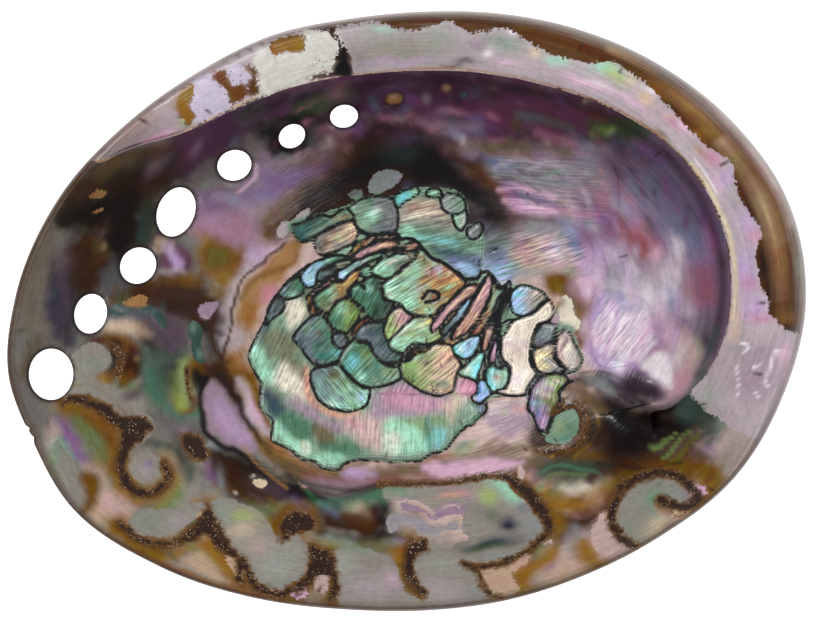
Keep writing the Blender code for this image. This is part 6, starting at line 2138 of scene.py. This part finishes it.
PLATE_CLOUDS = [
    ("teal", 302, 229, 9, 6, 25, 0.5), ("tan", 342, 216, 10, 2.5, 15, 0.8),
    ("jade", 322, 222, 9, 4, 25, 0.6), ("brown", 326, 241, 5, 3, 10, 0.8),
    ("cream", 349, 226, 6, 4, 30, 0.9), ("reed", 338, 236, 5, 3, 30, 0.6),
    ("steel", 340, 244, 12, 3, 25, 0.8), ("grey", 316, 246, 4, 6, 0, 0.5),
    ("mint", 372, 214, 10, 7, 30, 1.0), ("white", 376, 210, 6, 3, 30, 0.5),
    ("steel", 382, 227, 13, 3.5, 5, 0.95), ("jade", 368, 199, 7, 3, 0, 0.8),
    ("mist", 388, 214, 4, 8, 0, 0.6),
    ("sky", 305, 270, 4, 6, 0, 0.6), ("mint", 308, 277, 5, 4, 0, 0.7),
    ("mint", 330, 258, 8, 2, 20, 0.7), ("mint", 289, 293, 5, 3, 20, 0.8),
    ("sky", 280, 289, 4, 4, 40, 0.6), ("mist", 326, 274, 4, 3, 0, 0.5),
    ("fern", 322, 300, 6, 7, 0, 0.6), ("mint", 330, 292, 5, 7, 20, 0.6),
    ("honey", 340, 292, 3, 6, 0, 0.8), ("reed", 334, 286, 5, 3, 30, 0.5),
    ("tan", 351, 276, 6, 4, 30, 0.8), ("steel", 316, 303, 3, 6, 30, 0.6),
    ("mint", 340, 310, 7, 6, 30, 0.7), ("reed", 346, 313, 5, 7, 0, 0.7),
    ("ochre", 350, 305, 3, 3, 0, 0.6), ("spruce", 331, 321, 3, 5, -30, 0.6),
    ("mint", 368, 288, 8, 4, -20, 0.5), ("jade", 372, 300, 10, 8, 0, 0.6),
    ("spruce", 356, 291, 4, 5, 0, 0.5), ("mint", 355, 288, 4, 3, 0, 0.5),
    ("mint", 345, 272, 5, 3, 35, 0.8), ("white", 362, 260, 8, 2, 22, 0.6),
    ("gold", 357, 247, 5, 3, 40, 0.8), ("cream", 372, 237, 8, 2, 10, 0.6),
    ("mint", 382, 267, 5, 5, 20, 0.8), ("ivory", 392, 261, 9, 2, 25, 0.8),
    ("pine", 400, 262, 12, 1.5, 25, 0.8), ("ivory", 408, 256, 8, 1.5, 20, 0.6),
    ("mint", 392, 288, 7, 10, 20, 1.0), ("ivory", 390, 293, 3, 6, 0, 0.6),
    ("sage", 404, 280, 8, 3, 25, 0.7), ("reed", 404, 274, 10, 2.5, 28, 0.7),
    ("petal", 404, 266, 8, 3, 28, 0.9), ("fern", 402, 290, 10, 2.5, 20, 0.7),
    ("mint", 410, 302, 7, 8, 0, 1.0), ("reed", 426, 308, 10, 5, 0, 0.7),
    ("mint", 430, 310, 5, 4, 0, 0.6), ("olive", 424, 262, 7, 4, 30, 0.5),
    ("tan", 426, 280, 9, 6, 30, 0.8), ("mauve", 420, 288, 8, 3, 30, 0.6),
    ("petal", 434, 271, 6, 5, 30, 0.9), ("lilac", 440, 268, 4, 4, 30, 0.7),
    ("mauve", 428, 270, 5, 3, 30, 0.6), ("cream", 450, 272, 6, 3, 30, 0.9),
    ("salmon", 456, 278, 6, 3, 20, 0.6), ("fern", 446, 289, 9, 3, 25, 0.9),
    ("mint", 450, 286, 7, 2, 20, 0.7), ("stone", 430, 297, 3, 2.5, 0, 0.9),
    ("mint", 318, 388, 4, 10, 20, 0.5), ("olive", 334, 376, 7, 9, -30, 0.8),
    ("fern", 344, 384, 7, 7, -30, 0.7), ("steel", 332, 394, 14, 3, -35, 0.7),
    ("mint", 336, 406, 12, 3, -15, 0.9), ("ivory", 330, 404, 6, 2, -20, 0.5),
    ("sky", 360, 399, 6, 5, 0, 0.7), ("spruce", 350, 396, 8, 3, -20, 0.5),
    ("sage", 305, 328, 6, 6, 30, 0.8), ("sage", 318, 324, 6, 5, 0, 0.7),
    ("brown", 318, 333, 3.5, 3, 0, 0.9), ("honey", 330, 328, 3, 3, 0, 0.3),
    ("navy", 300, 346, 3, 9, 35, 0.7), ("steel", 308, 352, 5, 8, 40, 0.7),
    ("spruce", 322, 345, 8, 3, -10, 0.6), ("teal", 322, 356, 10, 4, 0, 0.7),
    ("cyan", 334, 353, 7, 4, 0, 0.5), ("lead", 314, 361, 8, 2.5, -15, 0.7),
    ("cyan", 352, 362, 8, 8, 0, 0.7), ("mint", 360, 378, 7, 6, -30, 0.9),
    ("fern", 366, 354, 7, 7, 0, 0.8), ("teal", 376, 370, 5, 8, 0, 0.8),
    ("fern", 388, 373, 8, 5, 0, 0.7), ("jade", 366, 368, 6, 5, 0, 0.5),
    ("sage", 400, 371, 5, 4, 0, 0.6), ("cyan", 345, 370, 3, 5, 0, 0.6),
    ("navy", 370, 334, 5, 3, 0, 0.7), ("steel", 384, 352, 6, 8, -30, 0.6),
    ("spruce", 374, 326, 8, 2.5, 0, 0.6), ("sage", 394, 358, 6, 3, 0, 0.5),
    ("petal", 402, 315, 6, 6, 0, 0.9), ("reed", 389, 322, 5, 6, 0, 0.8),
    ("mint", 395, 341, 4, 6, -20, 0.9), ("ivory", 405, 331, 8, 3, 38, 0.6),
    ("reed", 412, 334, 9, 6, 0, 0.8), ("cream", 422, 326, 10, 3, 25, 0.6),
    ("gold", 430, 322, 6, 3, 20, 0.7), ("honey", 440, 334, 5, 2, 30, 0.7),
    ("mint", 420, 341, 8, 2.5, 0, 0.7), ("steel", 394, 349, 5, 2, 0, 0.6),
    ("reed", 415, 370, 7, 8, -30, 0.7), ("sand", 444, 362, 9, 9, 0, 0.9),
    ("salmon", 446, 357, 6, 5, 0, 0.5), ("fern", 432, 384, 12, 4, 0, 0.8),
    ("jade", 444, 385, 8, 5, 0, 0.8), ("ink", 427, 364, 4.5, 2.5, 50, 0.95),
    ("sage", 420, 358, 5, 4, 0, 0.7), ("steel", 430, 394, 12, 2, -8, 0.8),
    ("ivory", 456, 372, 3, 4, 0, 0.7), ("ochre", 428, 372, 5, 1.5, 0, 0.5),
    ("spruce", 470, 345, 3, 4, 0, 0.9), ("ivory", 462, 350, 4, 5, 0, 0.5),
    ("ivory", 468, 371, 4, 4, 0, 0.5), ("mint", 482, 360, 3, 5, 0, 0.6),
    ("tan", 498, 379, 5, 6, 0, 0.9), ("ink", 501, 369, 6, 2.5, 0, 0.9),
    ("mist", 505, 388, 5, 3, 0, 0.5), ("ivory", 476, 399, 3, 2.5, 0, 0.7),
    ("cyan", 520, 294, 7, 4, 10, 0.8), ("stone", 534, 304, 8, 6, 0, 0.8),
    ("peach", 538, 292, 6, 4, 0, 0.5), ("salmon", 528, 300, 4, 4, 0, 0.4),
    ("blush", 520, 350, 10, 12, 0, 0.5), ("lilac", 518, 380, 10, 8, 0, 0.35),
    ("mauve", 526, 344, 2.5, 5, 20, 0.6), ("mauve", 513, 361, 2.5, 3, 0, 0.5),
    ("mauve", 526, 368, 6, 1.5, -10, 0.4), ("pink", 510, 344, 5, 8, 0, 0.5),
    ("mist", 545, 334, 5, 5, 0, 0.6), ("heather", 543, 344, 5, 3, 0, 0.6),
    ("cream", 541, 362, 4, 7, 0, 0.7), ("grey", 552, 362, 5, 4, 20, 0.7),
    ("tan", 548, 352, 6, 3, 20, 0.7), ("ivory", 554, 366, 4, 3, 0, 0.6),
    ("reed", 553, 384, 4, 5, 70, 0.9), ("ivory", 560, 382, 3, 6, 70, 0.7),
    ("sky", 536, 404, 4, 8, 80, 0.8), ("blue", 540, 414, 4, 6, 0, 0.5),
    ("lilac", 546, 424, 4, 8, 0, 0.8), ("mist", 541, 394, 4, 8, 70, 0.7),
    ("olive", 554, 402, 4, 9, 75, 0.6), ("sand", 548, 396, 3, 9, 70, 0.5),
    ("ivory", 572, 348, 5, 8, -30, 0.6), ("petal", 578, 362, 4, 4, 0, 0.4),
]


SCAR_STRIPES = (               # degrees, strength, from and to in y
    (14, 1.0, 0, 285), (65, 0.7, 285, 395), (86, 0.45, 395, 630),
)


def paint_plates(near, top, shine, direction):
    """Each plate's own colours and its own stripes."""
    chosen, depth = near.inside(SCAR, 8)
    top[chosen] = mix(top[chosen], TINTS["sage"], step(-6, -3, depth)[:, None])
    for tint, blur, strength, points in SCAR_GROUND:
        near.patch(top, tint, points, blur, strength)
    for turn, strength, low, high in SCAR_STRIPES:
        held = chosen[(depth > -2) & (near.y[chosen] > low) & (near.y[chosen] <= high)]
        direction[held] = slanted(near.x[held], near.y[held], turn, 3.0)
        shine[held] = strength
    for number, (left, right, turn, points) in enumerate(PLATES):
        chosen, depth = near.inside(points, 5)
        line = np.array(points)
        along = (near.x[chosen] - line[:, 0].min()) / np.ptp(line[:, 0])
        share = step(0.15, 0.85, along + 0.25 * noise(near.x[chosen], near.y[chosen], 6, number))
        colour = mix(TINTS[left], TINTS[right], share[:, None])
        top[chosen] = mix(top[chosen], colour, step(-0.8, 0.4, depth)[:, None])
        held = chosen[depth > 0]
        direction[held] = slanted(near.x[held], near.y[held], turn, number)
        shine[held] = 0.25 if left == "ivory" else 1.0
    for row in PLATE_CLOUDS:
        near.cloud(top, *row)


inside_points = {0: np.nonzero(zone == 0)[0], 1: np.nonzero(zone == 1)[0]}
for number, chosen in inside_points.items():
    ground, top, shine, direction, fields = coat_points(chosen, number == 0)
    under[chosen] = ground
    over[chosen] = top
    lustre[chosen] = shine
    grain[chosen] = direction
    plates, cracks_and_shadows, scar, islands, nacre, seams, specks = fields
    cover[chosen] = np.maximum(np.maximum(scar, islands), nacre)
    plate[chosen] = plates
    crack_and_shadow[chosen] = cracks_and_shadows
    mark[chosen] = scar
    seam[chosen] = seams
    speck[chosen] = specks

print("painted", len(inside_points[0]) + len(inside_points[1]), "points")

# %% [markdown]
# ## The polished back
#
# The back can't be seen in the photograph. On a polished shell the brown crust is ground away,
# and the layers show as swirls that run along the growth lines: pearl, pink, green and brown.

# %%
BACK_BANDS = (
    (-1.0, "umber"), (-0.55, "rust"), (-0.25, "salmon"), (0.0, "pearl"), (0.25, "sage"),
    (0.5, "olive"), (0.75, "pink"), (1.0, "silver"),
)

back_points = np.nonzero(zone == 2)[0]
along, over_growth = growth(px[back_points], py[back_points])
bend = 2.2 * noise(px[back_points], py[back_points], 70, 30)
bend += 0.9 * noise(px[back_points], py[back_points], 26, 31)
swirl = np.sin(over_growth * 0.55 + 2.2 * bend)
swirl = 0.7 * swirl + 0.5 * noise(px[back_points], py[back_points], 40, 32)
levels = np.array([level for level, _ in BACK_BANDS])
colours = np.array([TINTS[name] for _, name in BACK_BANDS])
for part in range(3):
    under[back_points, part] = np.interp(swirl, levels, colours[:, part])
grain[back_points] = np.column_stack([
    RIPPLE_LOOP * np.cos(along / 45), RIPPLE_LOOP * np.sin(along / 45), 1.2 * over_growth
])
lustre[back_points] = 0.6
print("back painted:", len(back_points), "points")


def store(name, kind, values):
    layer = whole.attributes.new(name, kind, "POINT")
    if kind == "FLOAT_COLOR":
        values = np.column_stack([np.clip(values, 0, 1), np.ones(len(values))])
        layer.data.foreach_set("color", values.ravel())
    elif kind == "FLOAT_VECTOR":
        layer.data.foreach_set("vector", values.ravel())
    else:
        layer.data.foreach_set("value", values)


store("ground", "FLOAT_COLOR", under)
store("nacre", "FLOAT_COLOR", over)
store("cover", "FLOAT", cover)
store("plate", "FLOAT", plate)
store("crack_and_shadow", "FLOAT", crack_and_shadow)
store("shelf", "FLOAT", (zone == 1).astype(float))
store("scar", "FLOAT", mark)
store("seam", "FLOAT", seam)
store("speck", "FLOAT", speck)
store("lustre", "FLOAT", lustre)
store("grain", "FLOAT_VECTOR", grain)

# %% [markdown]
# ## Finishes
#
# The nacre's material lays the top coat over the ground wherever the stored distance is
# positive. Fine noise is added to the distance first, so the edge turns ragged. The ripples
# brighten and darken the colour and turn its hue a little, as thin layers do when they tilt.

# %%
class Wiring:
    """A short way to lay out nodes: each call adds one and links what it is given."""

    def __init__(self, material):
        material.use_nodes = True
        self.tree = material.node_tree
        self.tree.nodes.clear()

    def add(self, kind, inputs=None, **settings):
        node = self.tree.nodes.new("ShaderNode" + kind)
        for name, value in settings.items():
            setattr(node, name, value)
        for name, value in (inputs or {}).items():
            socket = node.inputs[name]
            if isinstance(value, bpy.types.NodeSocket):
                self.tree.links.new(value, socket)
            else:
                socket.default_value = value
        return node

    def number(self, name):
        return self.add("Attribute", attribute_name=name).outputs["Fac"]

    def vector(self, name):
        return self.add("Attribute", attribute_name=name).outputs["Vector"]

    def colour(self, name):
        return self.add("Attribute", attribute_name=name).outputs["Color"]

    def math(self, operation, first, second=0.0, third=0.0):
        return self.add("Math", {0: first, 1: second, 2: third}, operation=operation).outputs[0]

    def between(self, value, low, high, to_low=0.0, to_high=1.0, kind="SMOOTHSTEP"):
        return self.add("MapRange", {
            "Value": value, "From Min": low, "From Max": high, "To Min": to_low, "To Max": to_high,
        }, interpolation_type=kind).outputs[0]

    def cloud(self, vector, scale, detail=2.0, roughness=0.5):
        return self.add("TexNoise", {
            "Vector": vector, "Scale": scale, "Detail": detail, "Roughness": roughness,
        }).outputs["Fac"]

    def blend(self, share, first, second):
        node = self.add("Mix", data_type="RGBA")
        for index, value in ((0, share), (6, first), (7, second)):
            if isinstance(value, bpy.types.NodeSocket):
                self.tree.links.new(value, node.inputs[index])
            else:
                node.inputs[index].default_value = value
        return node.outputs[2]


def rgba(tint):
    return (*TINTS[tint], 1.0)


def finish_surface(wires, colour, height, roughness, bump_distance):
    bump_node = wires.add("Bump", {"Strength": 0.5, "Distance": bump_distance, "Height": height})
    shader = wires.add("BsdfPrincipled", {
        "Base Color": colour, "Roughness": roughness, "Metallic": 0.0,
        "Specular IOR Level": 0.25, "Coat Weight": 0.1, "Coat Roughness": 0.1,
        "Normal": bump_node.outputs[0],
    })
    out = wires.add("OutputMaterial")
    wires.tree.links.new(shader.outputs[0], out.inputs["Surface"])


EDGE_RAGGED = 1.5             # pixels of the photograph
STREAK_LIGHT = 0.34
STREAK_HUE = 0.05

wires = Wiring(nacre_finish)
place = wires.add("TexCoord").outputs["Object"]
ragged = wires.cloud(place, 1500, 3, 0.65)
ragged = wires.between(ragged, 0.25, 0.75, -EDGE_RAGGED, EDGE_RAGGED, "LINEAR")
frayed = wires.between(wires.cloud(place, 800, 3, 0.7), 0.25, 0.75, -3.2, 3.2, "LINEAR")
wilder = wires.math("MULTIPLY_ADD", wires.number("shelf"), 1.3, 1.0)
edge = wires.math("MULTIPLY_ADD", ragged, wilder, wires.number("cover"))
colour = wires.blend(
    wires.between(edge, -0.6, 0.6), wires.colour("ground"), wires.colour("nacre")
)
streaks = wires.cloud(wires.vector("grain"), 1.0, 2.5, 0.6)
streaks = wires.between(streaks, 0.3, 0.7, -1.0, 1.0, "LINEAR")
streak_strength = wires.math("MULTIPLY", streaks, wires.number("lustre"))
patches = wires.cloud(place, 260, 2, 0.5)
patches = wires.between(patches, 0.3, 0.7, -1.0, 1.0, "LINEAR")
hue = wires.math("MULTIPLY_ADD", streak_strength, STREAK_HUE, 0.5)
hue = wires.math("MULTIPLY_ADD", patches, 0.018, hue)
on_scar = wires.between(wires.number("scar"), -4.0, 4.0, 1.0, 2.1)
light = wires.math("MULTIPLY", streak_strength, on_scar)
brighter = wires.between(wires.number("scar"), -4.0, 4.0, 1.0, 1.09)
light = wires.math("MULTIPLY_ADD", light, STREAK_LIGHT, brighter)
mottle = wires.between(wires.cloud(place, 900, 3, 0.6), 0.3, 0.7, -0.1, 0.1, "LINEAR")
light = wires.math("MULTIPLY_ADD", mottle, on_scar, light)
shifted = wires.add("HueSaturation", {
    "Hue": hue, "Saturation": 1.1, "Value": light, "Color": colour,
}).outputs[0]
plate_edge = wires.math("MULTIPLY_ADD", ragged, 0.35, wires.number("plate"))
inside_plate = wires.between(plate_edge, -0.4, 0.5)
# The dark lines between the plates are drawn near black: partly gaps, partly painted shadow under the
# plates' edges.
crack_and_shadow_edge = wires.math("MULTIPLY_ADD", ragged, 0.35, wires.number("crack_and_shadow"))
dark_line = wires.between(crack_and_shadow_edge, 0.9, 2.1, 1.0, 0.0)
growth_wave = wires.math("SINE", wires.math("MULTIPLY", plate_edge, 2.1))
growth_fade = wires.between(plate_edge, 1.0, 11.0, 1.0, 0.0, "LINEAR")
growth_light = wires.math("MULTIPLY", wires.math("MULTIPLY", growth_wave, growth_fade), 0.32)
growth_light = wires.math("MULTIPLY_ADD", growth_light, inside_plate, 1.0)
edge_shade = wires.between(plate_edge, 0.0, 3.5, 0.72, 1.0)
edge_shade = wires.add("Mix", {0: inside_plate, 2: 1.0, 3: edge_shade}).outputs[0]
growth_light = wires.math("MULTIPLY", growth_light, edge_shade)
shifted = wires.add("HueSaturation", {
    "Hue": wires.math("MULTIPLY_ADD", growth_light, 0.12, 0.38), "Saturation": 1.0,
    "Value": growth_light, "Color": shifted,
}).outputs[0]
shifted = wires.blend(dark_line, shifted, (0.006, 0.007, 0.008, 1.0))
seam_edge = wires.math("ADD", wires.number("seam"), frayed)
dots = wires.add("TexVoronoi", {"Vector": place, "Scale": 1900.0}, feature="F1")
gold = wires.between(dots.outputs["Distance"], 0.16, 0.34, 1.0, 0.0)
clustered = wires.between(wires.cloud(place, 420, 2, 0.5), 0.47, 0.58)
gold = wires.math("MULTIPLY", gold, clustered)
seam_colour = wires.blend(
    wires.between(seam_edge, -1.0, 2.6), (0.15, 0.068, 0.02, 1.0), (0.036, 0.018, 0.013, 1.0)
)
seam_colour = wires.blend(gold, seam_colour, (0.52, 0.36, 0.23, 1.0))
shifted = wires.blend(wires.between(seam_edge, -4.6, 1.0), shifted, seam_colour)
picked = wires.math("GREATER_THAN", dots.outputs["Color"], 0.62)
speckles = wires.math("MULTIPLY", wires.between(dots.outputs["Distance"], 0.2, 0.36, 1.0, 0.0), picked)
speckles = wires.math("MULTIPLY", speckles, wires.between(wires.number("speck"), -1.0, 3.0))
shifted = wires.blend(wires.math("MULTIPLY", speckles, 0.85), shifted, (0.09, 0.03, 0.018, 1.0))
finish_surface(wires, shifted, streaks, 0.3, 0.00005)

wires = Wiring(back_finish)
place = wires.add("TexCoord").outputs["Object"]
streaks = wires.between(wires.cloud(wires.vector("grain"), 1.0, 3, 0.6), 0.3, 0.7, -1, 1, "LINEAR")
mottle = wires.between(wires.cloud(place, 500, 4, 0.6), 0.3, 0.7, -1, 1, "LINEAR")
light = wires.math("MULTIPLY_ADD", streaks, 0.25, 1.0)
light = wires.math("MULTIPLY_ADD", mottle, 0.12, light)
hue = wires.math("MULTIPLY_ADD", mottle, 0.04, 0.5)
shifted = wires.add("HueSaturation", {
    "Hue": hue, "Saturation": 1.0, "Value": light, "Color": wires.colour("ground"),
}).outputs[0]
finish_surface(wires, shifted, streaks, 0.26, 0.00004)

wires = Wiring(wall_finish)
place = wires.add("TexCoord").outputs["Object"]
layers = wires.between(wires.cloud(place, 900, 3, 0.6), 0.35, 0.65, 0.0, 1.0)
finish_surface(wires, wires.blend(layers, rgba("moss"), rgba("mauve")), layers, 0.4, 0.00005)
print("finishes:", [finish.name for finish in finishes])

# %% [markdown]
# ## Light and floor
#
# A product photograph like this one is lit softly from above, against white. A wide soft sun
# lights the bowl evenly, and the pale floor shows through the holes as white.

# %%
WORLD_LIGHT = 0.28
SUNS = (                       # strength, width and tilt in degrees, bearing it comes from
    (1.75, 16, 36, 115),
    (0.75, 24, 48, 330),
    (0.45, 24, 50, 215),
)
FLOOR_GLOW = 0.8

bpy.context.scene.view_settings.view_transform = "Standard"
world = bpy.data.worlds.new("soft_room")
world.use_nodes = True
world.node_tree.nodes["Background"].inputs["Color"].default_value = (1, 1, 1, 1)
world.node_tree.nodes["Background"].inputs["Strength"].default_value = WORLD_LIGHT
bpy.context.scene.world = world

for number, (strength, width, tilt, bearing) in enumerate(SUNS):
    sun = bpy.data.objects.new(f"sun_{number}", bpy.data.lights.new(f"sun_{number}", "SUN"))
    sun.data.energy = strength
    sun.data.angle = math.radians(width)
    sun.rotation_euler = (0, math.radians(tilt), math.radians(bearing))
    bpy.context.scene.collection.objects.link(sun)

floor_mesh = bpy.data.meshes.new("floor")
HALF = 1.2
floor_mesh.from_pydata(
    [(-HALF, -HALF, 0), (HALF, -HALF, 0), (HALF, HALF, 0), (-HALF, HALF, 0)], [], [(0, 1, 2, 3)]
)
floor = bpy.data.objects.new("floor", floor_mesh)
bpy.context.scene.collection.objects.link(floor)
paper = bpy.data.materials.new("paper")
wires = Wiring(paper)
shader = wires.add("BsdfPrincipled", {
    "Base Color": (0.9, 0.9, 0.9, 1), "Roughness": 0.8, "Specular IOR Level": 0.1,
    "Emission Color": (1, 1, 1, 1), "Emission Strength": FLOOR_GLOW,
})
out = wires.add("OutputMaterial")
wires.tree.links.new(shader.outputs[0], out.inputs["Surface"])
floor_mesh.materials.append(paper)
print("lit")

# %% [markdown]
# ## Hand over
#
# The shell rides on the one body of the model and takes the place of the solid in pictures.

# %%
shell.name = "shell"
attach(shell, "root")
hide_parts("abalone_shell")
